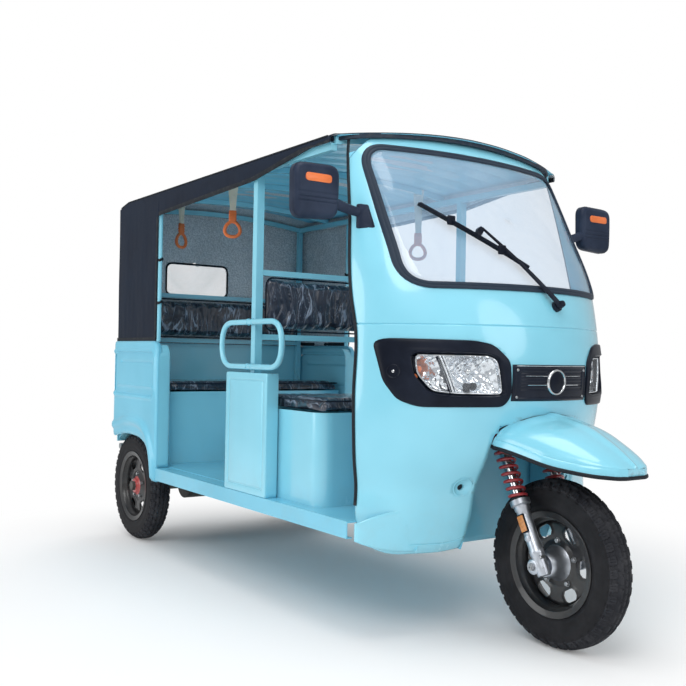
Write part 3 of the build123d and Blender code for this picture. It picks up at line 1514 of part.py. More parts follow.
def main():
    """Builds and writes every piece."""
    keep("chassis_frame", make_chassis())
    keep("floor_pan", make_floor())
    keep("front_shell", make_front_shell())
    keep("windscreen_glass", make_windscreen())
    keep("windscreen_gasket", make_gasket())
    keep("front_grille", make_grille())
    keep_pair("headlamp_bezel", make_bezel())
    keep_pair("headlamp", make_headlamp())
    keep("front_fender", make_fender())
    keep_pair("mirror", make_mirror())
    keep("wiper", make_wiper())
    keep("dash_panel", make_dash())
    keep("brake_pedal", make_pedal())
    keep("roof_frame", make_roof_frame())
    keep("roof_lining", make_roof_lining())
    keep("canopy_cover", make_canopy())
    keep("rear_window", make_rear_window())
    keep_pair("side_panel", make_side_panel())
    keep("rear_panel", make_rear_panel())
    keep_pair("partition", make_partition())
    keep("grab_hoops", make_hoops())
    keep("front_seat_box", make_front_box())
    keep("front_seat_lid", make_lid(FRONT_LID, FRONT_BOX["top"]))
    keep("rear_seat_box", make_rear_box())
    keep("rear_seat_lid", make_lid(REAR_LID, REAR_BOX_TOP))
    keep("front_backrest", make_front_backrest())
    keep("rear_backrest", make_rear_backrest())
    keep("strap_handles", make_straps())
    keep("battery_pack", make_battery())
    keep("rear_axle", make_rear_axle())
    keep("leaf_springs", make_leaf_springs())
    keep("tail_lamps", make_tail_lamps())
    keep("rear_bumper", make_bumper())
    keep("fork_stem", make_stem())
    keep("fork_legs", make_fork_legs())
    keep("fork_springs", make_fork_springs())
    keep("front_axle", make_front_axle())
    keep("handlebar", make_handlebar())
    keep("front_tyre", make_tyre(FRONT_AXLE_X, 0.0, FRONT_TYRE_R))
    keep(
        "front_rim",
        make_rim(FRONT_AXLE_X, 0.0, FRONT_TYRE_R, 0.0, FRONT_HUB_R, -FRONT_HUB_HALF, FRONT_HUB_HALF, AXLE_R + FIT),
    )
    for name, side in SIDES:
        y = side * REAR_WHEEL_Y
        inner = AXLE_END + DRUM_W + SEAT_GAP - REAR_WHEEL_Y
        low, high = sorted((side * inner, side * (RIM_HALF - SEAT_GAP)))
        keep(f"rear_tyre_{name}", make_tyre(REAR_AXLE_X, y, REAR_TYRE_R))
        keep(
            f"rear_rim_{name}",
            make_rim(REAR_AXLE_X, y, REAR_TYRE_R, side * 12.0, REAR_HUB_R, low, high, STUB_R + FIT),
        )


main()
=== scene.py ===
"""Looks of the electric passenger tricycle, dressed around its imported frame.

Everything is in metres: X runs forward, Y to the vehicle's left and Z up. Surfaces are worked out with numpy as
points on a grid of two parameters, or as a profile carried along a path. Finishes are node materials.
"""

from __future__ import annotations

import logging
from dataclasses import dataclass, field
from enum import Enum
from math import cos, pi, radians, sin
from typing import Callable, Sequence

import bpy
import numpy as np
from mathutils import Matrix, Vector


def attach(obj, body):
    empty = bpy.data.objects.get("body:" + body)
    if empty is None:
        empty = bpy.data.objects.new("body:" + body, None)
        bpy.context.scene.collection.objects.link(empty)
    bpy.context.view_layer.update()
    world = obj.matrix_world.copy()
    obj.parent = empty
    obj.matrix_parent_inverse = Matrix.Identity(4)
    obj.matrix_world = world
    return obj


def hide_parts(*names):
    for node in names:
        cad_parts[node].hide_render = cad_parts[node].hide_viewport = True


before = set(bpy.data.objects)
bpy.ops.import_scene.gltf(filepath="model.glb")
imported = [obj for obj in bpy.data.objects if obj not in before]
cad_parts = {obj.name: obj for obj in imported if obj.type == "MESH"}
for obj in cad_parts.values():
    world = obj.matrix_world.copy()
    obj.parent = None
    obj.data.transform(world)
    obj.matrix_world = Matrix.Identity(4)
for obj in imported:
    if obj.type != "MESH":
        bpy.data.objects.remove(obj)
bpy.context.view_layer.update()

Array = np.ndarray
Colour = tuple[float, float, float]
Object = bpy.types.Object
Material = bpy.types.Material

log = logging.getLogger("tricycle")

FRONT_AXLE_X = 1.153
REAR_AXLE_X = -1.133
BODY_HALF = 0.564
SIDES = (("r", -1), ("l", 1))


class Body(Enum):
    """Moving bodies of the frame that pieces ride on."""

    MAIN = "body"
    STEERING = "steering"
    FRONT_WHEEL = "front_wheel"
    REAR_WHEEL_R = "rear_wheel_r"
    REAR_WHEEL_L = "rear_wheel_l"
    FRONT_LID = "front_lid"
    REAR_LID = "rear_lid"


def behind(distance: float | Array) -> float | Array:
    """X of a place given by its distance behind the front axle."""
    return FRONT_AXLE_X - distance


def grid_faces(rows: int, cols: int, wrap_rows: bool = False, wrap_cols: bool = False) -> Array:
    """Quads between neighbouring points of a grid.

    Args:
        rows: Number of rows of points.
        cols: Number of points in a row.
        wrap_rows: Joins the last row to the first.
        wrap_cols: Joins the last column to the first.

    Returns:
        Point numbers of each quad.
    """
    r = np.arange(rows if wrap_rows else rows - 1)
    c = np.arange(cols if wrap_cols else cols - 1)
    r, c = np.meshgrid(r, c, indexing="ij")
    r2, c2 = (r + 1) % rows, (c + 1) % cols
    return np.stack([r * cols + c, r * cols + c2, r2 * cols + c2, r2 * cols + c], -1).reshape(-1, 4)


def signed_volume(points: Array, faces: Array) -> float:
    """Six times the volume inside a closed skin, negative when its faces point inwards."""
    a, b, c = (points[faces[:, k]] for k in range(3))
    total = np.einsum("ij,ij->", a, np.cross(b, c))
    if faces.shape[1] == 4:
        d = points[faces[:, 3]]
        total += np.einsum("ij,ij->", a, np.cross(c, d))
    return float(total)


def weld(points: Array, faces: Array) -> tuple[Array, Array]:
    """Joins points that lie at the same place, and drops faces that lose an edge by it."""
    _, first, place = np.unique(np.round(points, 5), axis=0, return_index=True, return_inverse=True)
    joined = place.reshape(-1)[faces]
    kept = (joined != np.roll(joined, 1, axis=1)).all(1)
    return points[first], joined[kept]


class Skin:
    """Points and faces gathered from several surfaces before they become one mesh."""

    def __init__(self) -> None:
        """Starts with no surfaces."""
        self.points: list[Array] = []
        self.faces: list[list[int]] = []
        self.slots: list[int] = []
        self.count = 0

    def add(self, points: Array, groups: Sequence[Array], slot: int = 0, flip: bool = False) -> Skin:
        """Adds loose points and groups of faces.

        Args:
            points: Points, one per row.
            groups: Arrays of faces, quads or triangles, numbered from the first of the points.
            slot: Finish slot of the faces.
            flip: Turns the faces over.

        Returns:
            This skin.
        """
        for group in groups:
            faces = (group[:, ::-1] if flip else group) + self.count
            self.faces += faces.tolist()
            self.slots += [slot] * len(faces)
        self.points.append(points)
        self.count += len(points)
        return self

    def sheet(self, grid: Array, slot: int = 0, flip: bool = False, wrap: bool = False) -> Skin:
        """Adds an open grid of points, with its rows joined end to end where wrap is set."""
        rows, cols = grid.shape[:2]
        return self.add(grid.reshape(-1, 3), [grid_faces(rows, cols, False, wrap)], slot, flip)

    def solid(self, grid: Array, slot: int = 0, ring: bool = False) -> Skin:
        """Adds a closed solid from a grid whose rows are closed rings.

        Args:
            grid: Rings of points, rows by columns by three.
            slot: Finish slot of the faces.
            ring: Joins the last ring to the first, otherwise both ends are closed with fans.

        Returns:
            This skin.
        """
        rows, cols = grid.shape[:2]
        points = grid.reshape(-1, 3)
        groups = [grid_faces(rows, cols, ring, True)]
        if not ring:
            points = np.vstack([points, grid[0].mean(0), grid[-1].mean(0)])
            near = np.arange(cols)
            far = (near + 1) % cols
            last = (rows - 1) * cols
            groups.append(np.stack([far, near, np.full(cols, rows * cols)], -1))
            groups.append(np.stack([last + near, last + far, np.full(cols, rows * cols + 1)], -1))
        flip = sum(signed_volume(points - points.mean(0), g) for g in groups) < 0
        return self.add(points, groups, slot, flip)

    def build(self, name: str, finishes: Sequence[Material], sharp: float = 40.0) -> Object:
        """Makes the mesh object.

        Args:
            name: Name of the piece.
            finishes: Materials in the order of the slots.
            sharp: Angle between faces, in degrees, above which their edge stays hard.

        Returns:
            The object, at the origin.
        """
        mesh = bpy.data.meshes.new(name)
        mesh.from_pydata(np.vstack(self.points).tolist(), [], self.faces)
        for finish in finishes:
            mesh.materials.append(finish)
        mesh.polygons.foreach_set("material_index", self.slots)
        mesh.shade_smooth()
        mesh.set_sharp_from_angle(angle=radians(sharp))
        mesh.update()
        piece = bpy.data.objects.new(name, mesh)
        bpy.context.scene.collection.objects.link(piece)
        return piece


def settle(piece: Object, body: Body, slot: str, *nodes: str) -> Object:
    """Sets what a piece rides on and hides the CAD nodes that it stands for.

    Args:
        piece: The finished piece.
        body: Body that it rides on.
        slot: Not used.
        nodes: CAD nodes that it replaces.

    Returns:
        The same piece.
    """
    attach(piece, body.value)
    if nodes:
        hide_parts(*nodes)
    log.info("piece %s rides on %s", piece.name, body.value)
    return piece


def thicken(piece: Object, depth: float, inside: int = 0, rim: int = 0, offset: float = -1.0) -> Object:
    """Gives a sheet a wall with the Solidify modifier, with other slots for its inner side and rim if asked."""
    wall = piece.modifiers.new("wall", "SOLIDIFY")
    wall.thickness = depth
    wall.offset = offset
    wall.use_even_offset = False
    wall.material_offset = inside
    wall.material_offset_rim = rim
    return piece


def soften(piece: Object, width: float, segments: int = 2, angle: float = 35.0) -> Object:
    """Rounds hard edges with the Bevel modifier."""
    edge = piece.modifiers.new("edge", "BEVEL")
    edge.width = width
    edge.segments = segments
    edge.limit_method = "ANGLE"
    edge.angle_limit = radians(angle)
    edge.harden_normals = True
    return piece


def unit(vectors: Array) -> Array:
    """Vectors scaled to length one."""
    return vectors / np.maximum(np.linalg.norm(vectors, axis=-1, keepdims=True), 1e-12)


def frames(path: Array, up: Sequence[float], closed: bool = False) -> tuple[Array, Array]:
    """Side and up directions along a path: side = tangent x up, then up = side x tangent.

    Args:
        path: Points of the path.
        up: Direction that stays above the path.
        closed: Whether the path returns to its start.

    Returns:
        Side and up directions at each point.
    """
    if closed:
        ways = np.roll(path, -1, 0) - np.roll(path, 1, 0)
    else:
        ways = np.gradient(path, axis=0)
    ways = unit(ways)
    side = unit(np.cross(ways, np.asarray(up, float)))
    return side, np.cross(side, ways)


def sweep(path: Array, profile: Array, up: Sequence[float] = (0, 0, 1), closed: bool = False, scale: Array | None = None) -> Array:
    """Carries a profile along a path: point = path + side * profile x + up * profile y.

    Args:
        path: Points of the path, n by three.
        profile: Points of the profile, k by two.
        up: Direction that stays above the path.
        closed: Whether the path returns to its start.
        scale: Size of the profile at each point of the path.

    Returns:
        Grid of points, n by k by three.
    """
    side, above = frames(path, up, closed)
    size = np.ones(len(path)) if scale is None else scale
    x = profile[None, :, 0, None] * size[:, None, None]
    y = profile[None, :, 1, None] * size[:, None, None]
    return path[:, None] + side[:, None] * x + above[:, None] * y


def circle(radius: float, count: int = 12, squash: float = 1.0) -> Array:
    """Round profile, its height scaled by squash."""
    turn = np.arange(count) / count * 2 * pi
    return np.stack([radius * np.cos(turn), radius * squash * np.sin(turn)], -1)


def lathe(profile: Array, centre: Sequence[float], axis: Sequence[float] = (0, 1, 0), count: int = 48) -> Array:
    """Turns a profile round an axis: point = centre + axis * along + radial(turn) * radius.

    Args:
        profile: Pairs of distance along the axis and radius.
        centre: Point on the axis.
        axis: Direction of the axis.
        count: Number of points round the axis.

    Returns:
        Grid of points, profile by count by three.
    """
    way = unit(np.asarray(axis, float))
    helper = np.array([0.0, 0.0, 1.0]) if abs(way[2]) < 0.9 else np.array([1.0, 0.0, 0.0])
    first = unit(np.cross(helper, way))
    second = np.cross(way, first)
    turn = np.arange(count) / count * 2 * pi
    radial = np.cos(turn)[:, None] * first + np.sin(turn)[:, None] * second
    profile = np.asarray(profile, float)
    return np.asarray(centre, float) + profile[:, None, :1] * way + profile[:, None, 1:] * radial[None]


def bent_path(corners: Sequence[Sequence[float]], radius: float, closed: bool = False, steps: int = 8) -> Array:
    """Path through corners with each one rounded by a curve: p = (1-t)^2 a + 2t(1-t) corner + t^2 b.

    Args:
        corners: Corner points, of two or three numbers.
        radius: Distance from a corner at which its rounding starts.
        closed: Whether the path returns to its start.
        steps: Points on each rounding.

    Returns:
        Points of the path.
    """
    pts = np.asarray(corners, float)
    before, after = np.roll(pts, 1, 0), np.roll(pts, -1, 0)
    reach_in = np.minimum(radius, np.linalg.norm(before - pts, axis=1, keepdims=True) * 0.49)
    reach_out = np.minimum(radius, np.linalg.norm(after - pts, axis=1, keepdims=True) * 0.49)
    a = pts + unit(before - pts) * reach_in
    b = pts + unit(after - pts) * reach_out
    t = np.linspace(0, 1, steps)[None, :, None]
    rounded = (1 - t) ** 2 * a[:, None] + 2 * t * (1 - t) * pts[:, None] + t**2 * b[:, None]
    if closed:
        return rounded.reshape(-1, pts.shape[1])
    return np.vstack([pts[:1], rounded[1:-1].reshape(-1, pts.shape[1]), pts[-1:]])


def resample(path: Array, count: int, closed: bool = False) -> Array:
    """Same path with its points evenly spaced along its length."""
    pts = np.vstack([path, path[:1]]) if closed else path
    run = np.concatenate([[0.0], np.cumsum(np.linalg.norm(np.diff(pts, axis=0), axis=1))])
    want = np.linspace(0, run[-1], count + 1)[:-1] if closed else np.linspace(0, run[-1], count)
    return np.stack([np.interp(want, run, pts[:, k]) for k in range(pts.shape[1])], -1)


def outline_normals(outline: Array) -> Array:
    """Outward directions of a closed flat outline."""
    ways = unit(np.roll(outline, -1, 0) - np.roll(outline, 1, 0))
    normal = np.stack([ways[:, 1], -ways[:, 0]], -1)
    x, y = outline.T
    turning = np.sum(x * np.roll(y, -1) - np.roll(x, -1) * y)
    return normal if turning > 0 else -normal


def noise(points: Array, size: float, seed: int = 0) -> Array:
    """Smooth noise from -1 to 1 as a sum of nine seeded waves of about the given size."""
    rng = np.random.default_rng(seed)
    ways = unit(rng.normal(size=(9, 3))) * rng.uniform(0.7, 1.5, (9, 1)) * 2 * pi / size
    phase = rng.uniform(0, 2 * pi, 9)
    return np.sin(points @ ways.T + phase).sum(-1) / 9 * 1.8


def box_grid(low: Sequence[float], high: Sequence[float], radius: float, steps: int = 4) -> Array:
    """Rounded box as closed rings: point = core corner in that direction + radius * direction.

    Args:
        low: Lowest corner.
        high: Highest corner.
        radius: Radius of its edges.
        steps: Points on a quarter turn of an edge.

    Returns:
        Rings of points from the bottom up.
    """
    low, high = np.asarray(low, float), np.asarray(high, float)
    radius = min(radius, float((high - low).min()) * 0.4999)
    core, middle = (high - low) / 2 - radius, (high + low) / 2
    quarter = np.linspace(0, pi / 2, steps)
    turn = np.concatenate([quarter + k * pi / 2 for k in range(4)])
    sx = np.repeat([1, -1, -1, 1], steps)
    sy = np.repeat([1, 1, -1, -1], steps)
    tilt = np.concatenate([quarter - pi / 2, quarter])
    sz = np.repeat([-1, 1], steps)
    x = sx * core[0] + radius * np.cos(tilt)[:, None] * np.cos(turn)
    y = sy * core[1] + radius * np.cos(tilt)[:, None] * np.sin(turn)
    z = (sz * core[2] + radius * np.sin(tilt))[:, None] * np.ones_like(turn)
    return np.stack([x, y, z], -1) + middle


def prism_grid(outline: Array, place: Callable[[Array, float], Array], depth: float, edge: float) -> Array:
    """Flat outline carried through a depth, its two rims rounded by edge, as closed rings.

    Args:
        outline: Closed flat outline, n by two.
        place: Turns flat points and a height into points in space.
        depth: Height of the prism.
        edge: Radius of the rims.

    Returns:
        Rings of points.
    """
    normal = outline_normals(outline)
    turn = np.linspace(0, pi / 2, 4)
    insets = np.concatenate([edge * (1 - np.sin(turn)), edge * (1 - np.sin(turn))[::-1]])
    heights = np.concatenate([edge * (1 - np.cos(turn)), depth - edge * (1 - np.cos(turn))[::-1]])
    return np.stack([place(outline - normal * inset, height) for inset, height in zip(insets, heights)])


def cut_opening(points: Array, flat: Array, faces: Array, distance: Callable[[Array], Array], step: float) -> tuple[Array, Array]:
    """Opens a hole in a fine grid: faces inside go, and points near its edge move onto it.

    Args:
        points: Flat or curved points' parameters to move, n by two.
        flat: The same parameters, read for the distance.
        faces: Quads.
        distance: Signed distance to the opening's edge, negative inside.
        step: Grid spacing.

    Returns:
        The moved parameters and the faces that stay.
    """
    gap = distance(flat)
    small = step * 0.05
    gx = (distance(flat + [small, 0]) - distance(flat - [small, 0])) / (2 * small)
    gy = (distance(flat + [0, small]) - distance(flat - [0, small])) / (2 * small)
    slope = unit(np.stack([gx, gy], -1))
    near = np.abs(gap) < step * 0.55
    moved = np.where(near[:, None], points - slope * gap[:, None], points)
    inside = distance(flat[faces].mean(1)) < 0
    return moved, faces[~inside]


def slot_distance(centre: Sequence[float], half: Sequence[float], corner: float) -> Callable[[Array], Array]:
    """Signed distance to a rounded rectangle, negative inside it."""

    def distance(p: Array) -> Array:
        """Distance of each flat point."""
        q = np.abs(p - np.asarray(centre)) - np.asarray(half) + corner
        return np.linalg.norm(np.maximum(q, 0), axis=-1) + np.minimum(q.max(-1), 0) - corner

    return distance


def outline_distance(outline: Array) -> Callable[[Array], Array]:
    """Signed distance to a closed outline, negative inside it."""
    a, b = outline, np.roll(outline, -1, 0)

    def distance(p: Array) -> Array:
        """Distance of each flat point, its sign from the number of edges crossed."""
        to, run = p[:, None] - a, b - a
        share = np.clip((to * run).sum(-1) / np.maximum((run**2).sum(-1), 1e-18), 0, 1)
        gap = np.linalg.norm(to - share[..., None] * run, axis=-1).min(1)
        spans = (a[:, 1] > p[:, 1:2]) != (b[:, 1] > p[:, 1:2])
        cross = a[:, 0] + (p[:, 1:2] - a[:, 1]) * run[:, 0] / np.where(run[:, 1] == 0, 1e-12, run[:, 1])
        odd = (spans & (p[:, :1] < cross)).sum(1) % 2 == 1
        return np.where(odd, -gap, gap)

    return distance


class Value:
    """Value on a node socket, so that shader maths is written as an expression."""

    def __init__(self, graph: Graph, socket: bpy.types.NodeSocket) -> None:
        """Wraps an output socket of a graph."""
        self.graph = graph
        self.socket = socket

    def maths(self, operation: str, *others: Value | float, clamp: bool = False) -> Value:
        """Adds a Math node that takes this value first."""
        settings = {"operation": operation, "use_clamp": clamp}
        return self.graph.node("ShaderNodeMath", settings, dict(enumerate((self, *others))))

    def __add__(self, other: Value | float) -> Value:
        """Sum."""
        return self.maths("ADD", other)

    __radd__ = __add__

    def __mul__(self, other: Value | float) -> Value:
        """Product."""
        return self.maths("MULTIPLY", other)

    __rmul__ = __mul__

    def __sub__(self, other: Value | float) -> Value:
        """Difference."""
        return self.maths("SUBTRACT", other)

    def __rsub__(self, other: float) -> Value:
        """A number less this value."""
        return (self * -1.0) + other

    def __abs__(self) -> Value:
        """Size without its sign."""
        return self.maths("ABSOLUTE")

    def __pow__(self, power: float) -> Value:
        """Power of this value."""
        return self.maths("POWER", power)

    def step(self, low: float, high: float) -> Value:
        """Smooth step from 0 at low to 1 at high, which may lie below low."""
        settings = {"interpolation_type": "SMOOTHSTEP"}
        if low <= high:
            return self.graph.node("ShaderNodeMapRange", settings, {0: self, 1: low, 2: high})
        return self.graph.node("ShaderNodeMapRange", settings, {0: self, 1: high, 2: low, 3: 1.0, 4: 0.0})


def linear(colour: Colour) -> tuple[float, float, float, float]:
    """Screen colour turned into the linear one that shaders take."""
    c = np.asarray(colour, float)
    out = np.where(c <= 0.04045, c / 12.92, ((c + 0.055) / 1.055) ** 2.4)
    return (*out.tolist(), 1.0)


class Graph:
    """Material under construction."""

    def __init__(self, name: str) -> None:
        """Starts an empty material of that name."""
        self.material = bpy.data.materials.new(name)
        self.material.use_nodes = True
        self.tree = self.material.node_tree
        self.tree.nodes.clear()
        self.place = self.node("ShaderNodeTexCoord", output="Object")

    def node(
        self, kind: str, settings: dict | None = None, sockets: dict | None = None, output: int | str = 0
    ) -> Value:
        """Adds a node.

        Args:
            kind: Type of the node.
            settings: Properties of the node, set before its sockets. The stops of a ramp are pairs of place and colour.
            sockets: Values or links of its inputs, by name or number.
            output: Output that the returned value reads.

        Returns:
            Value on the output.
        """
        made = self.tree.nodes.new(kind)
        for key, value in (settings or {}).items():
            if key == "stops":
                while len(made.color_ramp.elements) < len(value):
                    made.color_ramp.elements.new(0.5)
                for stop, (at, colour) in zip(made.color_ramp.elements, value):
                    stop.position, stop.color = at, linear(colour)
            else:
                setattr(made, key, value)
        for key, value in (sockets or {}).items():
            if isinstance(value, Value):
                self.tree.links.new(value.socket, made.inputs[key])
            else:
                made.inputs[key].default_value = value
        return Value(self, made.outputs[output])

    def stretched(self, scale: Sequence[float]) -> Value:
        """Object coordinates scaled on each axis."""
        return self.node("ShaderNodeMapping", None, {"Vector": self.place, "Scale": tuple(scale)})

    def noise(self, scale: float, detail: float = 2.0, rough: float = 0.5, bend: float = 0.0, at: Value | None = None) -> Value:
        """Noise from 0 to 1 in object coordinates."""
        sockets = {"Vector": at or self.place, "Scale": scale, "Detail": detail, "Roughness": rough, "Distortion": bend}
        return self.node("ShaderNodeTexNoise", None, sockets)

    def cells(self, scale: float, feature: str = "F1", output: str = "Distance") -> Value:
        """Cell pattern in object coordinates."""
        return self.node("ShaderNodeTexVoronoi", {"feature": feature}, {"Vector": self.place, "Scale": scale}, output)

    def bands(self, pitch: float, axis: str, bend: float = 0.0) -> Value:
        """Waves from 0 to 1 along one axis, a pitch apart."""
        settings = {"wave_type": "BANDS", "bands_direction": axis}
        return self.node("ShaderNodeTexWave", settings, {"Vector": self.place, "Scale": 2 * pi / (20 * pitch), "Distortion": bend})

    def height(self) -> Value:
        """Height over the floor."""
        return self.node("ShaderNodeSeparateXYZ", None, {0: self.place}, 2)

    def edges(self) -> Value:
        """Mask of worn outer edges, from 0 to 1."""
        sharp = self.node("ShaderNodeNewGeometry", output="Pointiness")
        return sharp.step(0.53, 0.6) * self.noise(60.0, 3.0).step(0.45, 0.65)

    def mix(self, share: Value | float, first: Value | Colour, second: Value | Colour) -> Value:
        """Colour between two others."""
        first, second = (c if isinstance(c, Value) else linear(c) for c in (first, second))
        return self.node("ShaderNodeMix", {"data_type": "RGBA"}, {0: share, 6: first, 7: second}, 2)

    def bump(self, height: Value, depth: float, strength: float = 1.0) -> Value:
        """Normal bent by a height whose full range is depth, in metres."""
        return self.node("ShaderNodeBump", None, {"Strength": strength, "Distance": depth, "Height": height})

    def surface(self, **sockets: Value | float | Colour) -> Graph:
        """Ends the material in a principled shader, its sockets named with underscores for spaces."""
        named = {key.replace("_", " "): value for key, value in sockets.items()}
        shader = self.node("ShaderNodeBsdfPrincipled", None, named)
        end = self.tree.nodes.new("ShaderNodeOutputMaterial")
        self.tree.links.new(shader.socket, end.inputs["Surface"])
        return self


def shade(colour: Colour, share: float) -> Colour:
    """Colour made lighter by a positive share or darker by a negative one."""
    c = np.asarray(colour, float)
    target = 1.0 if share > 0 else 0.0
    return tuple((c + (target - c) * abs(share)).tolist())


@dataclass(frozen=True)
class Finish:
    """What every finish has: a name and its colour on a screen."""

    name: str
    colour: Colour

    def dress(self, graph: Graph) -> None:
        """Adds the nodes of the finish."""
        raise NotImplementedError

    def make(self) -> Material:
        """Builds the material once and hands out the same one after that."""
        known = bpy.data.materials.get(self.name)
        if known:
            return known
        graph = Graph(self.name)
        self.dress(graph)
        return graph.material


@dataclass(frozen=True)
class Paint(Finish):
    """Sprayed paint with faint orange peel, soft cloudiness, road dust low down and worn edges."""

    rough: float = 0.2
    coat: float = 0.7
    dust: float = 0.12
    wear: float = 0.25
    under: Colour = (0.42, 0.42, 0.43)

    def dress(self, graph: Graph) -> None:
        """Adds the nodes of the paint."""
        cloud = graph.noise(1.6, 3.0, 0.55)
        base = graph.mix(cloud.step(0.3, 0.7), shade(self.colour, -0.05), shade(self.colour, 0.06))
        low = graph.height().step(0.62, 0.30) * graph.noise(7.0, 5.0, 0.65).step(0.38, 0.72)
        spots = graph.noise(220.0, 2.0).step(0.66, 0.74)
        dirt = (low * self.dust) + (spots * low * 0.08)
        base = graph.mix(dirt, base, (0.60, 0.58, 0.54))
        if self.wear:
            base = graph.mix(graph.edges() * self.wear, base, self.under)
        streaks = graph.noise(18.0, 4.0, 0.6, at=graph.stretched((1.0, 1.0, 0.12)))
        rough = (streaks * 0.14) + (self.rough - 0.05) + (dirt * 0.5)
        peel = (graph.noise(420.0, 1.0) * 0.35) + (graph.noise(90.0, 2.0) * 0.65)
        graph.surface(
            Base_Color=base,
            Roughness=rough,
            Coat_Weight=self.coat,
            Coat_Roughness=0.06,
            Normal=graph.bump(peel, 0.00012, 0.5),
        )


@dataclass(frozen=True)
class Plastic(Finish):
    """Moulded plastic with a fine leather like grain and pale scuffs."""

    rough: float = 0.45
    grain: float = 0.00025
    scale: float = 260.0
    coat: float = 0.0
    wear: float = 0.35

    def dress(self, graph: Graph) -> None:
        """Adds the nodes of the plastic."""
        cells = graph.cells(self.scale, "SMOOTH_F1")
        broad = graph.noise(5.0, 4.0, 0.6)
        base = graph.mix(broad.step(0.3, 0.75), shade(self.colour, -0.12), shade(self.colour, 0.07))
        if self.wear:
            base = graph.mix(graph.edges() * self.wear, base, shade(self.colour, 0.3))
        rough = (broad * 0.16) + (self.rough - 0.08)
        height = (cells * 0.7) + (graph.noise(self.scale * 0.35, 2.0) * 0.3)
        graph.surface(
            Base_Color=base,
            Roughness=rough,
            Specular_IOR_Level=0.12,
            Coat_Weight=self.coat,
            Coat_Roughness=0.08,
            Normal=graph.bump(height, self.grain, 0.6),
        )


@dataclass(frozen=True)
class Rubber(Finish):
    """Rubber with a matt bloom, fine pores and grey dust."""

    rough: float = 0.7
    dust: float = 0.3

    def dress(self, graph: Graph) -> None:
        """Adds the nodes of the rubber."""
        bloom = graph.noise(14.0, 5.0, 0.65)
        base = graph.mix(bloom.step(0.35, 0.75) * self.dust, self.colour, (0.36, 0.36, 0.37))
        base = graph.mix(graph.edges() * 0.4, base, (0.30, 0.30, 0.31))
        pores = (graph.noise(500.0, 2.0) * 0.5) + (graph.noise(130.0, 3.0) * 0.5)
        graph.surface(
            Base_Color=base,
            Roughness=(bloom * 0.2) + (self.rough - 0.1),
            Specular_IOR_Level=0.2,
            Normal=graph.bump(pores, 0.0003, 0.5),
        )


class Surface(Enum):
    """How bare metal was worked."""

    CHROME = "chrome"
    CAST = "cast"
    BRUSHED = "brushed"
    REFLECTOR = "reflector"


@dataclass(frozen=True)
class Metal(Finish):
    """Bare metal: chrome with smudges, cast with pits, brushed with scratches or a lamp's facets."""

    surface: Surface = Surface.CHROME
    rough: float = 0.12

    def dress(self, graph: Graph) -> None:
        """Adds the nodes of the metal."""
        smudge = graph.noise(9.0, 5.0, 0.65)
        base = graph.mix(smudge.step(0.4, 0.75), self.colour, shade(self.colour, -0.16))
        if self.surface is Surface.CAST:
            height, depth = (graph.noise(260.0, 3.0) * 0.7) + (graph.cells(90.0) * 0.3), 0.0004
        elif self.surface is Surface.BRUSHED:
            height, depth = graph.noise(90.0, 4.0, 0.7, at=graph.stretched((1.0, 0.05, 6.0))), 0.0002
        elif self.surface is Surface.REFLECTOR:
            height, depth = graph.cells(75.0, "SMOOTH_F1"), 0.004
        else:
            height, depth = graph.noise(60.0, 2.0), 0.00005
        graph.surface(
            Base_Color=base,
            Metallic=1.0,
            Roughness=(smudge * 0.18) + (self.rough - 0.05),
            Normal=graph.bump(height, depth, 0.5),
        )


@dataclass(frozen=True)
class Clear(Finish):
    """Clear pane or lens: a thin glossy film of colour over what lies behind, with faint smears."""

    alpha: float = 0.25
    rough: float = 0.04
    ripple: float = 0.0

    def dress(self, graph: Graph) -> None:
        """Adds the nodes of the pane."""
        smear = graph.noise(3.5, 4.0, 0.6, 0.6)
        alpha = (smear.step(0.35, 0.8) * 0.10) + self.alpha
        sockets = {
            "Base_Color": graph.mix(smear, self.colour, shade(self.colour, 0.25)),
            "Roughness": (smear * 0.05) + self.rough,
            "Alpha": alpha,
            "Coat_Weight": 1.0,
            "Coat_Roughness": 0.02,
            "Specular_IOR_Level": 0.9,
        }
        wave = graph.noise(14.0, 3.0, 0.5) if self.ripple else graph.noise(1.5, 1.0)
        graph.surface(**sockets, Normal=graph.bump(wave, max(self.ripple, 0.0002), 0.4))


@dataclass(frozen=True)
class Lens(Finish):
    """Coloured lamp lens or reflector with a pressed prism pattern under a gloss."""

    prism: float = 0.006

    def dress(self, graph: Graph) -> None:
        """Adds the nodes of the lens."""
        across, up = graph.bands(self.prism, "Y"), graph.bands(self.prism, "Z")
        grid = across.maths("MULTIPLY", up)
        base = graph.mix(grid.step(0.1, 0.8), shade(self.colour, -0.35), shade(self.colour, 0.12))
        graph.surface(
            Base_Color=graph.mix(graph.noise(20.0, 3.0) * 0.2, base, shade(self.colour, -0.2)),
            Roughness=(graph.noise(30.0, 2.0) * 0.1) + 0.12,
            Coat_Weight=1.0,
            Coat_Roughness=0.03,
            Normal=graph.bump(grid, 0.0012, 0.5),
        )


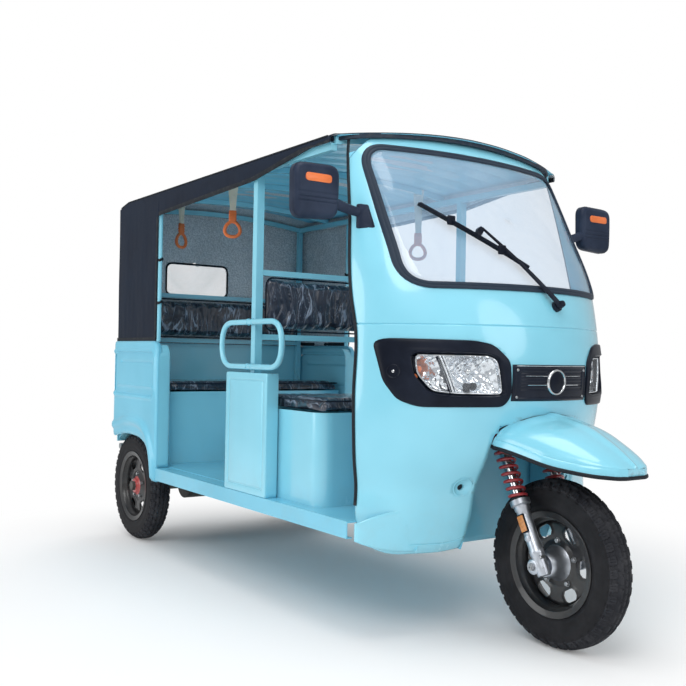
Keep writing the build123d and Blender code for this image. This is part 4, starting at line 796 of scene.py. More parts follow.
@dataclass(frozen=True)
class Cloth(Finish):
    """Coated woven fabric: two crossing sets of threads with uneven colour, folds rubbed pale and dust."""

    pitch: float = 0.0026
    rough: float = 0.62
    gloss: float = 0.0
    thread: Colour = (0.20, 0.24, 0.31)
    metal: float = 0.0

    def dress(self, graph: Graph) -> None:
        """Adds the nodes of the fabric."""
        along, across, up = (graph.bands(self.pitch, axis, 0.4) for axis in "XYZ")
        weave = (along + across + up) * (1 / 3)
        cloud = graph.noise(4.0, 5.0, 0.62)
        base = graph.mix(cloud.step(0.3, 0.75) * 0.55, self.colour, self.thread)
        base = graph.mix(weave.step(0.35, 0.85) * 0.45, base, self.thread)
        base = graph.mix(graph.edges() * 0.4, base, shade(self.thread, 0.2))
        slack = (graph.noise(16.0, 4.0, 0.55, 0.5) * 0.75) + (weave * 0.25)
        graph.surface(
            Base_Color=base,
            Roughness=(cloud * 0.2) + (self.rough - 0.1),
            Metallic=self.metal,
            Specular_IOR_Level=0.15,
            Coat_Weight=self.gloss,
            Coat_Roughness=0.25,
            Sheen_Weight=0.04,
            Sheen_Roughness=0.4,
            Normal=graph.bump(slack, 0.0022, 0.45),
        )


@dataclass(frozen=True)
class Foil(Finish):
    """Silvery backing of a coated fabric: small crinkled facets, with spots of painted glint and painted shade in its
    colour.
    """

    size: float = 90.0

    def dress(self, graph: Graph) -> None:
        """Adds the nodes of the backing."""
        facets = graph.cells(self.size, "F1", "Distance")
        painted_glint_noise = graph.noise(self.size * 1.6, 2.0, 0.6)
        # Painted glints and painted shade: random spots made lighter and darker in the colour.
        base = graph.mix(painted_glint_noise.step(0.35, 0.68), shade(self.colour, -0.12), shade(self.colour, 0.45))
        base = graph.mix(graph.noise(5.0, 4.0).step(0.35, 0.7) * 0.25, base, shade(self.colour, -0.3))
        graph.surface(
            Base_Color=base,
            Metallic=0.2,
            Roughness=(painted_glint_noise * 0.3) + 0.2,
            Normal=graph.bump((facets * 0.6) + (painted_glint_noise * 0.4), 0.004, 0.7),
        )


@dataclass(frozen=True)
class Vinyl(Finish):
    """Dark vinyl in a loose clear film: leather grain under sharp glossy creases, with a painted highlight in its
    colour along the creases.
    """

    # Colour of the painted highlight along the film's creases.
    film: Colour = (0.62, 0.68, 0.76)

    def dress(self, graph: Graph) -> None:
        """Adds the nodes of the vinyl and its film."""
        flow = graph.stretched((5.0, 13.0, 3.2))
        fold = graph.noise(1.0, 3.0, 0.5, 1.4, at=flow)
        streak = 1.0 - abs(fold - 0.5).step(0.004, 0.026)
        second = graph.noise(2.3, 3.0, 0.55, 1.8, at=flow)
        thin = 1.0 - abs(second - 0.52).step(0.0, 0.022)
        broken = graph.noise(8.0, 2.0).step(0.36, 0.60)
        leather = graph.cells(210.0, "SMOOTH_F1")
        tone = graph.noise(3.0, 3.0)
        base = graph.mix(tone.step(0.3, 0.7), shade(self.colour, -0.2), shade(self.colour, 0.06))
        # Painted highlight: pale streaks along the film's creases, mixed into the colour.
        shine = (streak * broken * 0.8) + (thin * broken * 0.5)
        base = graph.mix(shine, base, self.film)
        height = (fold * 0.5) + (streak * 0.25) + (second * 0.2) + (leather * 0.05)
        graph.surface(
            Base_Color=base,
            Roughness=(tone * 0.15) + 0.25,
            Coat_Weight=0.9,
            Coat_Roughness=0.06,
            Normal=graph.bump(height, 0.016, 0.6),
        )


@dataclass(frozen=True)
class Webbing(Finish):
    """Woven strap with ribs across it and a little soiling."""

    pitch: float = 0.003

    def dress(self, graph: Graph) -> None:
        """Adds the nodes of the strap."""
        ribs, threads = graph.bands(self.pitch, "Z", 0.3), graph.bands(self.pitch * 0.6, "X", 0.3)
        soil = graph.noise(25.0, 4.0, 0.6)
        base = graph.mix(soil.step(0.4, 0.8) * 0.5, self.colour, shade(self.colour, -0.3))
        base = graph.mix(ribs * 0.3, base, shade(self.colour, -0.22))
        graph.surface(
            Base_Color=base,
            Roughness=(soil * 0.1) + 0.75,
            Normal=graph.bump((ribs * 0.7) + (threads * 0.3), 0.0008, 0.7),
        )


CYAN: Colour = (0.53, 0.84, 0.925)
BODY_PAINT = Paint("body_paint", CYAN)
SHEET_PAINT = Paint("sheet_paint", CYAN, wear=0.0)
INNER_PAINT = Paint("inner_paint", (0.45, 0.79, 0.90), rough=0.32, coat=0.3, wear=0.0)
BLACK_PAINT = Paint("black_paint", (0.045, 0.05, 0.065), rough=0.3, coat=0.3, dust=0.06, wear=0.08)
STEM_PAINT = Paint("stem_paint", (0.085, 0.09, 0.10), rough=0.3, coat=0.3, dust=0.35, wear=0.0)
CHASSIS_PAINT = Paint("chassis_paint", (0.12, 0.12, 0.125), rough=0.45, coat=0.0, dust=0.5, wear=0.0)
SPRING_PAINT = Paint("spring_paint", (0.62, 0.12, 0.14), rough=0.26, dust=0.1, wear=0.3)
RED_PAINT = Paint("hub_paint", (0.70, 0.10, 0.10), rough=0.3, dust=0.25)
GREY_PAINT = Paint("grey_paint", (0.55, 0.57, 0.58), rough=0.35, coat=0.3)
GASKET_RUBBER = Rubber("gasket_rubber", (0.15, 0.20, 0.26), rough=0.5, dust=0.08)
EDGE_RUBBER = Rubber("edge_rubber", (0.07, 0.10, 0.13), rough=0.5, dust=0.08)
TYRE_RUBBER = Rubber("tyre_rubber", (0.085, 0.085, 0.10), rough=0.62, dust=0.12)
TREAD_RUBBER = Rubber("tread_rubber", (0.15, 0.155, 0.175), rough=0.75, dust=0.3)
BLACK_PLASTIC = Plastic("black_plastic", (0.05, 0.075, 0.13), rough=0.34, coat=0.03, wear=0.08)
MIRROR_CASE = Plastic("mirror_case", (0.15, 0.19, 0.27), rough=0.4, wear=0.1)
GLOSS_PLASTIC = Plastic("gloss_plastic", (0.05, 0.08, 0.14), rough=0.25, grain=0.0001, coat=0.2, wear=0.1)
GREY_PLASTIC = Plastic("grey_plastic", (0.30, 0.31, 0.32))
ORANGE_PLASTIC = Plastic("orange_plastic", (0.97, 0.50, 0.27), rough=0.35, coat=0.3)
DASH_PLASTIC = Plastic("dash_plastic", (0.15, 0.17, 0.20), rough=0.5, wear=0.0)
BATTERY_CASE = Plastic("battery_case", (0.16, 0.16, 0.17), scale=120.0, wear=0.0)
CHROME = Metal("chrome", (0.88, 0.89, 0.90), Surface.CHROME, 0.1)
CAST_ALLOY = Metal("cast_alloy", (0.78, 0.80, 0.83), Surface.CAST, 0.36)
STEEL = Metal("brushed_steel", (0.66, 0.67, 0.68), Surface.BRUSHED, 0.3)
LAMP_BOWL = Metal("lamp_bowl", (0.92, 0.94, 0.96), Surface.REFLECTOR, 0.12)
MIRROR_GLASS = Metal("mirror_glass", (0.90, 0.93, 0.95), Surface.CHROME, 0.06)
# The pale blue film over the windscreen glass is a painted reflection.
WINDSCREEN = Clear("windscreen", (0.62, 0.77, 0.90), alpha=0.28)
LAMP_LENS = Clear("lamp_lens", (0.92, 0.95, 0.98), alpha=0.10, ripple=0.001)
SOFT_WINDOW = Clear("soft_window", (0.80, 0.86, 0.90), alpha=0.22, rough=0.12, ripple=0.006)
RED_LENS = Lens("red_lens", (0.72, 0.07, 0.06))
AMBER_LENS = Lens("amber_lens", (0.93, 0.55, 0.16), prism=0.004)
CANOPY_CLOTH = Cloth("canopy_cloth", (0.055, 0.095, 0.16), gloss=0.0, thread=(0.10, 0.15, 0.22))
CANOPY_BACK = Foil("canopy_back", (0.80, 0.83, 0.86))
SEAT_VINYL = Vinyl("seat_vinyl", (0.085, 0.12, 0.19))
STRAP_WEB = Webbing("strap_web", (0.90, 0.86, 0.78))


ROOF_TOP = 1.72
ROOF_DROP = 0.04
ROOF_HALF = 0.54
ROOF_RADIUS = (ROOF_HALF**2 + ROOF_DROP**2) / (2 * ROOF_DROP)


def roof_z(y: Array | float, depth: float = 0.0) -> Array:
    """Height of the roof arc, depth below the canopy: z = top - R + sqrt((R - depth)^2 - y^2)."""
    return ROOF_TOP - ROOF_RADIUS + np.sqrt((ROOF_RADIUS - depth) ** 2 - np.square(y))


@dataclass(frozen=True)
class Nose:
    """Curved form of the front shell.

    It is a stack of plan outlines, each with a nose arc and two corner arcs that end at a rear edge. The
    columns of sections are height, half width, nose and rear edge behind the front axle, and both radii.
    """

    sections: tuple[tuple[float, ...], ...] = (
        (0.280, 0.500, 0.225, 0.390, 1.200, 0.120),
        (0.410, 0.545, 0.175, 0.390, 1.000, 0.220),
        (0.500, 0.552, 0.150, 0.390, 0.850, 0.280),
        (0.600, 0.556, 0.095, 0.390, 0.720, 0.320),
        (0.800, 0.556, 0.030, 0.390, 0.620, 0.350),
        (1.030, 0.556, 0.042, 0.392, 0.620, 0.350),
        (1.120, 0.550, 0.070, 0.415, 0.660, 0.320),
        (1.400, 0.530, 0.245, 0.470, 1.000, 0.250),
        (1.712, 0.520, 0.466, 0.545, 1.500, 0.120),
    )
    front_y: float = 0.410

    def values(self, z: Array) -> Array:
        """Section values at each height, by cubic curves through the listed ones with gradient slopes."""
        table = np.array(self.sections)
        h, v = table[:, 0], table[:, 1:]
        slope = np.gradient(v, h, axis=0)
        z = np.clip(z, h[0], h[-1])
        k = np.clip(np.searchsorted(h, z, side="right") - 1, 0, len(h) - 2)
        span = (h[k + 1] - h[k])[..., None]
        t = ((z - h[k]) / (h[k + 1] - h[k]))[..., None]
        a, b = v[k], v[k + 1]
        ma, mb = slope[k] * span, slope[k + 1] * span
        curve = (2 * t**3 - 3 * t**2 + 1) * a + (t**3 - 2 * t**2 + t) * ma + (3 * t**2 - 2 * t**3) * b + (t**3 - t**2) * mb
        return np.moveaxis(curve, -1, 0)

    def arcs(self, z: Array) -> tuple[Array, ...]:
        """Nose centre, corner centre, radii and the angles where the arcs meet and end."""
        half, nose, rear, big, small = self.values(z)
        centre = behind(nose) - big
        corner_y = half - small
        corner_x = centre + np.sqrt(np.maximum((big - small) ** 2 - corner_y**2, 0))
        turn = np.arctan2(corner_y, corner_x - centre)
        end = np.arccos(np.clip((behind(rear) - corner_x) / small, -1, 1))
        return centre, corner_x, corner_y, big, small, turn, end

    def x(self, y: Array, z: Array, grow: Array | float = 0.0) -> Array:
        """X of the surface at a place in the front view, grown outwards in plan."""
        y, z = np.abs(y), np.asarray(z, float)
        centre, corner_x, corner_y, big, small, turn, _ = self.arcs(z)
        big, small = big + grow, small + grow
        on_nose = centre + np.sqrt(np.maximum(big**2 - y**2, 0))
        on_corner = corner_x + np.sqrt(np.maximum(small**2 - (y - corner_y) ** 2, 0))
        return np.where(y <= big * np.sin(turn), on_nose, on_corner)

    def points(self, flat: Array, grow: Array | float = 0.0) -> Array:
        """Points on the surface over places in the front view, given as Y and Z."""
        y, z = flat[..., 0], flat[..., 1]
        return np.stack([self.x(y, z, grow), y, z], -1)

    def outline(self, share: Array, z: Array, grow: Array | float = 0.0) -> Array:
        """Points round the shell: share is Y / front_y up to 1, then the share of the arc left to the rear edge."""
        centre, corner_x, corner_y, big, small, turn, end = self.arcs(z)
        meet = big * np.sin(turn)
        start = np.where(
            self.front_y <= meet,
            np.arcsin(self.front_y / big),
            np.arcsin(np.clip((self.front_y - corner_y) / small, -1, 1)),
        )
        first = np.maximum(turn - start, 0) * big
        begin = np.maximum(turn, start)
        run = np.maximum(np.abs(share) - 1, 0) * (first + (end - begin) * small)
        nose_part = run < first
        angle = np.where(nose_part, start + run / big, begin + (run - first) / small)
        x = np.where(nose_part, centre + (big + grow) * np.cos(angle), corner_x + (small + grow) * np.cos(angle))
        y = np.where(nose_part, (big + grow) * np.sin(angle), corner_y + (small + grow) * np.sin(angle))
        flat_y = np.abs(share) * self.front_y
        ahead = np.abs(share) <= 1
        x = np.where(ahead, self.x(flat_y, z, grow), x)
        y = np.where(ahead, flat_y, y) * np.sign(share)
        return np.stack([x, y, np.broadcast_to(z, x.shape)], -1)

    def normal(self, y: float, z: float) -> Array:
        """Outward direction of the surface at one place in the front view."""
        near = np.array([[y, z], [y + 0.002, z], [y, z + 0.002]])
        p = self.points(near)
        way = unit(np.cross(p[1] - p[0], p[2] - p[0]))
        return way if way[0] > 0 else -way

    def band(self, outline: Array, reach: Array, grow: Array) -> Array:
        """Profile carried round a closed outline: reach moves it outwards in the front view, grow off the surface."""
        normal = outline_normals(outline)
        flat = outline[None] + normal[None] * reach[:, None, None]
        return self.points(flat, grow[:, None])

    def ring(self, outer: Array, inner: Array, share: Array, grow: Array) -> Array:
        """Rings between two matched outlines, at each share of the way inwards and height off the surface."""
        flat = outer[None] + (inner - outer)[None] * share[:, None, None]
        return self.points(flat, grow[:, None])

    def fan(self, outline: Array, rings: int, grow: Callable[[Array, Array], Array] | float = 0.0) -> Array:
        """Rings from an outline in to its middle, the last one tiny, with a height off the surface for each point."""
        middle = outline.mean(0)
        share = np.linspace(1, 0.003, rings)
        flat = middle + (outline - middle)[None] * share[:, None, None]
        if callable(grow):
            grow = grow(flat, share[:, None] * np.ones(len(outline)))
        return self.points(flat, grow)

    def strip(self, path: Array, profile: Array, lift: float = 0.0) -> Array:
        """Profile swept along a path given in the front view, its height pointing off the surface."""
        return sweep(self.points(path, lift), profile, (1.0, 0.0, 0.55))


NOSE = Nose()


def polar_match(outline: Array, centre: Array, count: int) -> Array:
    """Outline sampled at even angles round a centre that sees all of it."""
    fine = resample(outline, 720, True) - centre
    angle = np.arctan2(fine[:, 1], fine[:, 0])
    order = np.argsort(angle)
    angle, fine = angle[order], fine[order]
    want = np.linspace(-pi, pi, count, endpoint=False)
    return np.stack([np.interp(want, angle, fine[:, k], period=2 * pi) for k in (0, 1)], -1) + centre


@dataclass
class FrontShell:
    """Pressed nose of the cab with its wheel recess, seams, dimples and the seals at its rear edges."""

    window_half: float = 0.459
    window_low: float = 1.157
    window_high: float = 1.644
    window_corner: float = 0.085
    recess_half: float = 0.205
    recess_top: float = 0.715
    recess_rear: float = 0.325
    well: tuple[float, float, float] = (0.8285, 1.062, 0.152)
    well_top: float = 0.7475
    stem_x: float = 0.876
    cowl_seam: float = 1.030
    hem_inset: float = 0.012
    wall: float = 0.0032
    dimple: tuple[float, float] = (0.251, 0.505)
    dimple_radius: float = 0.028
    bezel: tuple[tuple[float, float], ...] = (
        (0.520, 0.972), (0.500, 0.985), (0.285, 0.981), (0.232, 0.970), (0.180, 0.918),
        (0.174, 0.805), (0.194, 0.771), (0.430, 0.768), (0.477, 0.789), (0.504, 0.847),
    )

    def window_outline(self, count: int = 200) -> Array:
        """Front view outline of the windscreen opening."""
        w, low, high = self.window_half, self.window_low, self.window_high
        corners = [(-w, low), (w, low), (w, high), (-w, high)]
        return resample(bent_path(corners, self.window_corner, True, 14), count, True)

    def bezel_outline(self, side: int) -> Array:
        """Front view outline of a headlamp surround."""
        return bent_path([(side * y, z) for y, z in self.bezel], 0.02, True)

    def rows(self, share: Array) -> tuple[Array, Array]:
        """Heights of the shell's rows of points over each column, and how far each row is pressed in or out."""
        y = np.abs(share)
        end = np.clip((y - 1.0), 0, 1)
        low = 0.283 + 0.030 * end**2 + 0.010 * np.exp(-(((y * 0.41 - 0.2) / 0.05) ** 2))
        seam = 0.318 + 0.036 * end**2 + 0.034 * np.exp(-(((y * 0.41 - 0.15) / 0.07) ** 2))
        steps = np.array([0.0, 0.12, 0.3, 0.55, 0.8, 0.93, 1.0, 1.07, 1.2])
        hem = low + steps[:, None] * (seam - low)
        hem_press = -self.hem_inset * (1 - np.clip(steps, 0, 1)) ** 2 - 0.0028 * (np.abs(steps - 1.0) < 0.01)
        rise = np.linspace(0, 1, 13)[1:, None]
        lower = hem[-1] + rise * (0.47 - hem[-1])
        middle = np.concatenate([np.arange(0.482, 1.020, 0.012), [1.0265, self.cowl_seam, 1.0335], np.arange(1.046, 1.62, 0.012)])
        top = roof_z(y * self.window_half, 0.0099)
        upper = 1.622 + np.linspace(0, 1, 7)[1:, None] * (top - 1.622)
        heights = np.vstack([hem, lower, middle[:, None] * np.ones_like(y), upper])
        press = np.concatenate([hem_press, np.zeros(12), -0.003 * (np.abs(middle - self.cowl_seam) < 1e-6), np.zeros(6)])
        return heights, press[:, None] * np.ones_like(y)

    def make_skin(self) -> Object:
        """Skin with its openings: rows of heights by columns round the nose, cut where a piece sits."""
        front = np.linspace(-1, 1, 65)
        side = np.linspace(1, 2, 23)[1:]
        share = np.concatenate([-side[::-1], front, side])
        heights, press = self.rows(share)
        grid = NOSE.outline(share[None] * np.ones_like(heights), heights, press)
        rows, cols = grid.shape[:2]
        points, faces = grid.reshape(-1, 3), grid_faces(rows, cols)
        flat = points[:, 1:].copy()
        recess = slot_distance((0.0, self.recess_top / 2), (self.recess_half, self.recess_top / 2), 0.05)
        openings = [outline_distance(self.window_outline(80)), recess]
        for _, s in SIDES:
            lamp = outline_distance(self.bezel_outline(s))
            openings.append(lambda p, lamp=lamp: lamp(p) + 0.012)
            middle = np.array([s * self.dimple[0], self.dimple[1]])
            openings.append(lambda p, middle=middle: np.linalg.norm(p - middle, axis=-1) - self.dimple_radius)
        before = flat.copy()
        for distance in openings:
            flat, faces = cut_opening(flat, flat, faces, distance, 0.0128)
        moved = np.abs(flat - before).max(-1) > 1e-9
        points[moved] = NOSE.points(flat[moved], press.reshape(-1)[moved])
        skin = Skin().add(points, [faces])
        piece = skin.build("nose_skin", [BODY_PAINT.make(), INNER_PAINT.make()], 30)
        return thicken(piece, self.wall, inside=1)

    def make_recess(self) -> Object:
        """Liner of the wheel recess: an arch carried back to its rear wall, with a raised well for the fork's crown."""
        half, top = self.recess_half - 0.001, self.recess_top - 0.001
        corners = [(-half, 0.29), (-half, top), (half, top), (half, 0.29)]
        arch = resample(bent_path(corners, 0.05, steps=12), 60)
        front = NOSE.points(arch, -0.002)
        depth = np.linspace(0, 1, 24)[:, None]
        back = behind(self.recess_rear)
        x = front[None, :, 0] + (back - front[None, :, 0]) * depth
        ribs = 0.003 * np.exp(-(((x - behind(0.26)) / 0.006) ** 2)) + 0.003 * np.exp(-(((x - behind(0.20)) / 0.006) ** 2))
        y = arch[None, :, 0] * (1 - ribs / half) * np.ones_like(depth)
        z = arch[None, :, 1] * np.ones_like(depth)
        points = np.stack([x, y, z], -1).reshape(-1, 3)
        rear, ahead, wide = self.well
        middle = np.array([(rear + ahead) / 2, 0.0])
        well = slot_distance(middle, ((ahead - rear) / 2, wide), 0.02)
        flat, faces = cut_opening(points[:, :2], points[:, :2], grid_faces(24, 60), well, 0.012)
        points[:, :2] = flat
        skin = Skin().add(points, [faces], flip=True)
        across = np.linspace(-1, 1, 14)[None]
        left = arch[:30]
        wall = np.stack([np.full((30, 14), back), -left[:, :1] * across, left[:, 1:] * np.ones_like(across)], -1)
        skin.sheet(wall, flip=True)
        at = np.array([self.stem_x, 0.0])
        box = [(rear, -wide), (ahead, -wide), (ahead, wide), (rear, wide)]
        outer = polar_match(bent_path(box, 0.02, True), at, 120)
        slot_box = [(-0.044, -0.034), (0.056, -0.034), (0.056, 0.034), (-0.044, 0.034)]
        slot = polar_match(bent_path(at + np.array(slot_box), 0.03, True), at, 120)
        out = outline_normals(outer)
        steps = ((0.010, top - 0.0006), (0.0, top - 0.0006), (-0.0005, self.well_top - 0.004), (-0.0035, self.well_top))
        rings = [np.column_stack([outer + out * reach, np.full(120, height)]) for reach, height in steps]
        rings.append(np.column_stack([slot, np.full(120, self.well_top)]))
        skin.sheet(np.stack(rings), flip=True, wrap=True)
        return thicken(skin.build("wheel_recess", [INNER_PAINT.make()]), 0.002)

    def make_dimples(self) -> Object:
        """Pressed dishes with a drain hole, as rings round a middle on the shell's surface, each hole closed deep down
        by a dark disc of painted shade.
        """
        turn = np.linspace(0, 2 * pi, 40, endpoint=False)
        skin = Skin()
        for _, s in SIDES:
            middle = np.array([s * self.dimple[0], self.dimple[1]])
            radius = np.array([0.0325, 0.0305, 0.028, 0.024, 0.019, 0.012, 0.0105, 0.0102])
            press = np.array([-0.0012, 0.0009, 0.0004, -0.0035, -0.0075, -0.0095, -0.0096, -0.016])
            flat = middle + radius[:, None, None] * np.stack([np.cos(turn), np.sin(turn)], -1)[None]
            skin.sheet(NOSE.points(flat, press[:, None]), wrap=True, flip=False)
            # Painted shade: a dark rubber disc deep in the drain hole stands for the shade inside it.
            floor = middle + np.stack([np.cos(turn), np.sin(turn)], -1) * 0.0102
            skin.solid(np.stack([NOSE.points(floor, -0.016), NOSE.points(floor, -0.02)]), slot=1)
        return skin.build("nose_dimples", [BODY_PAINT.make(), EDGE_RUBBER.make()])

    def make_seals(self) -> Object:
        """Rubber beads down both rear edges of the shell, with a round profile on a path over the rows."""
        skin = Skin()
        z = np.linspace(0.44, 1.672, 90)
        for _, s in SIDES:
            edge = NOSE.outline(np.full_like(z, 2.0 * s), z, 0.001)
            edge[:, 0] -= 0.0005
            skin.solid(sweep(edge, circle(0.0062, 10, 0.8), (0, s, 0)))
        return skin.build("door_seals", [EDGE_RUBBER.make()])

    def build(self) -> None:
        """Makes the shell's pieces and lets them ride on the body."""
        settle(self.make_skin(), Body.MAIN, "front_shell", "front_shell")
        settle(self.make_recess(), Body.MAIN, "front_shell")
        settle(self.make_dimples(), Body.MAIN, "front_shell")
        settle(self.make_seals(), Body.MAIN, "windscreen_gasket")


@dataclass
class Windscreen:
    """Curved pane, its rubber surround with a locking lip, the wiper and the roof's front trim."""

    shell: FrontShell
    half_width: float = 0.0115
    proud: float = 0.0068
    pivot: tuple[float, float] = (0.040, 1.100)
    arm_head: tuple[float, float] = (-0.173, 1.357)
    blade_ends: tuple[tuple[float, float], ...] = ((-0.351, 1.433), (-0.042, 1.229))
    blade_lift: float = 0.020

    def make_pane(self) -> Object:
        """Pane as rings from the opening's outline in to its middle."""
        grid = NOSE.fan(self.shell.window_outline(), 16, -0.0005)
        piece = Skin().sheet(grid, wrap=True).build("windscreen", [WINDSCREEN.make()])
        return thicken(piece, 0.004)

    def make_surround(self) -> Object:
        """Rubber surround: a domed profile with a groove for its locking strip, carried round the opening."""
        turn = np.linspace(0, pi, 13)
        reach = -np.cos(turn) * self.half_width
        grow = 0.0006 + np.sin(turn) ** 0.6 * self.proud
        grow[6] -= 0.0022
        reach = np.concatenate([reach, [self.half_width * 0.9, -self.half_width * 0.9]])
        grow = np.concatenate([grow, [-0.002, -0.006]])
        band = NOSE.band(self.shell.window_outline(), reach, grow)
        return Skin().solid(np.swapaxes(band, 0, 1), ring=True).build("windscreen_surround", [GASKET_RUBBER.make()], 50)

    def on_glass(self, places: Sequence[tuple[float, float]], lift: float, count: int) -> Array:
        """Even points over the glass between places of the front view."""
        return NOSE.points(resample(np.array(places), count), lift)

    def make_wiper(self) -> Object:
        """Wiper: tapered arm, pivot cap, yoke, flat blade carrier and rubber lip, each swept along the glass."""
        skin = Skin()
        away = (1.0, 0.0, 0.62)
        low, high = self.blade_ends
        rail = self.on_glass([low, high], self.blade_lift, 40)
        skin.solid(sweep(rail, np.array([(-0.005, -0.002), (0.005, -0.002), (0.004, 0.004), (-0.004, 0.004)]), away))
        lip = self.on_glass([low, high], self.blade_lift - 0.009, 40)
        skin.solid(sweep(lip, np.array([(-0.001, -0.007), (0.001, -0.007), (0.003, 0.006), (-0.003, 0.006)]), away), 1)
        pivot = NOSE.points(np.array([self.pivot]), self.blade_lift + 0.006)
        head = NOSE.points(np.array([self.arm_head]), self.blade_lift + 0.014)
        t = np.linspace(0, 1, 24)[:, None]
        line = pivot * (1 - t) + head * t + np.array([[0.006, 0, 0.004]]) * np.sin(pi * t)
        bar = np.array([(-0.008, -0.003), (0.008, -0.003), (0.006, 0.004), (-0.006, 0.004)])
        skin.solid(sweep(line, bar, away, scale=np.linspace(1.25, 0.62, 24)))
        middle = (np.array(low) + np.array(high)) / 2
        end = NOSE.points(middle[None], self.blade_lift + 0.006)
        yoke = head * (1 - t) + end * t
        skin.solid(sweep(yoke, bar * 1.3, away, scale=0.8 + 0.5 * np.sin(pi * t[:, 0])))
        for share in (0.27, 0.73):
            at = np.array(low) + (np.array(high) - np.array(low)) * share
            claw = NOSE.points(np.array([at]), self.blade_lift + 0.003)[0]
            skin.solid(box_grid(claw - [0.006, 0.016, 0.016], claw + [0.006, 0.016, 0.016], 0.005))
        arms = self.on_glass([np.array(low) * 0.73 + np.array(high) * 0.27, middle, np.array(low) * 0.27 + np.array(high) * 0.73], self.blade_lift + 0.007, 20)
        skin.solid(sweep(arms, circle(0.0045, 8, 0.6), away))
        way = NOSE.normal(*self.pivot)
        base = NOSE.points(np.array([self.pivot]))[0]
        cap = [(-0.001, 0.019), (0.012, 0.018), (0.014, 0.013), (0.026, 0.0125), (0.034, 0.010), (0.036, 0.004)]
        skin.solid(lathe(np.array(cap), base, way, 28))
        return skin.build("wiper_arm", [BLACK_PLASTIC.make(), EDGE_RUBBER.make()])

    def make_visor(self) -> Object:
        """Ribbed trim along the roof's front edge: a corrugated profile swept across the cab."""
        y = np.linspace(-0.532, 0.532, 80)
        z = roof_z(y, 0.012)
        x = NOSE.x(np.clip(y, -0.51, 0.51), np.minimum(z, 1.70)) + 0.004
        path = np.stack([x, y, z], -1)
        width = np.linspace(-0.030, 0.014, 23)
        ridge = 0.0028 * np.abs(np.sin((width + 0.03) / 0.044 * 3.5 * pi)) + 0.002
        profile = np.stack([width, ridge], -1)
        profile = np.vstack([profile, [(0.016, -0.010), (0.010, -0.012), (-0.030, -0.001)]])
        skin = Skin().solid(sweep(path, profile, (0, 0, 1)))
        return skin.build("roof_trim", [GASKET_RUBBER.make()], 50)

    def build(self) -> None:
        """Makes the windscreen's pieces and lets them ride on the body."""
        settle(self.make_pane(), Body.MAIN, "windscreen_glass", "windscreen_glass")
        settle(self.make_surround(), Body.MAIN, "windscreen_gasket", "windscreen_gasket")
        settle(self.make_wiper(), Body.MAIN, "wiper", "wiper")
        settle(self.make_visor(), Body.MAIN, "windscreen_gasket")


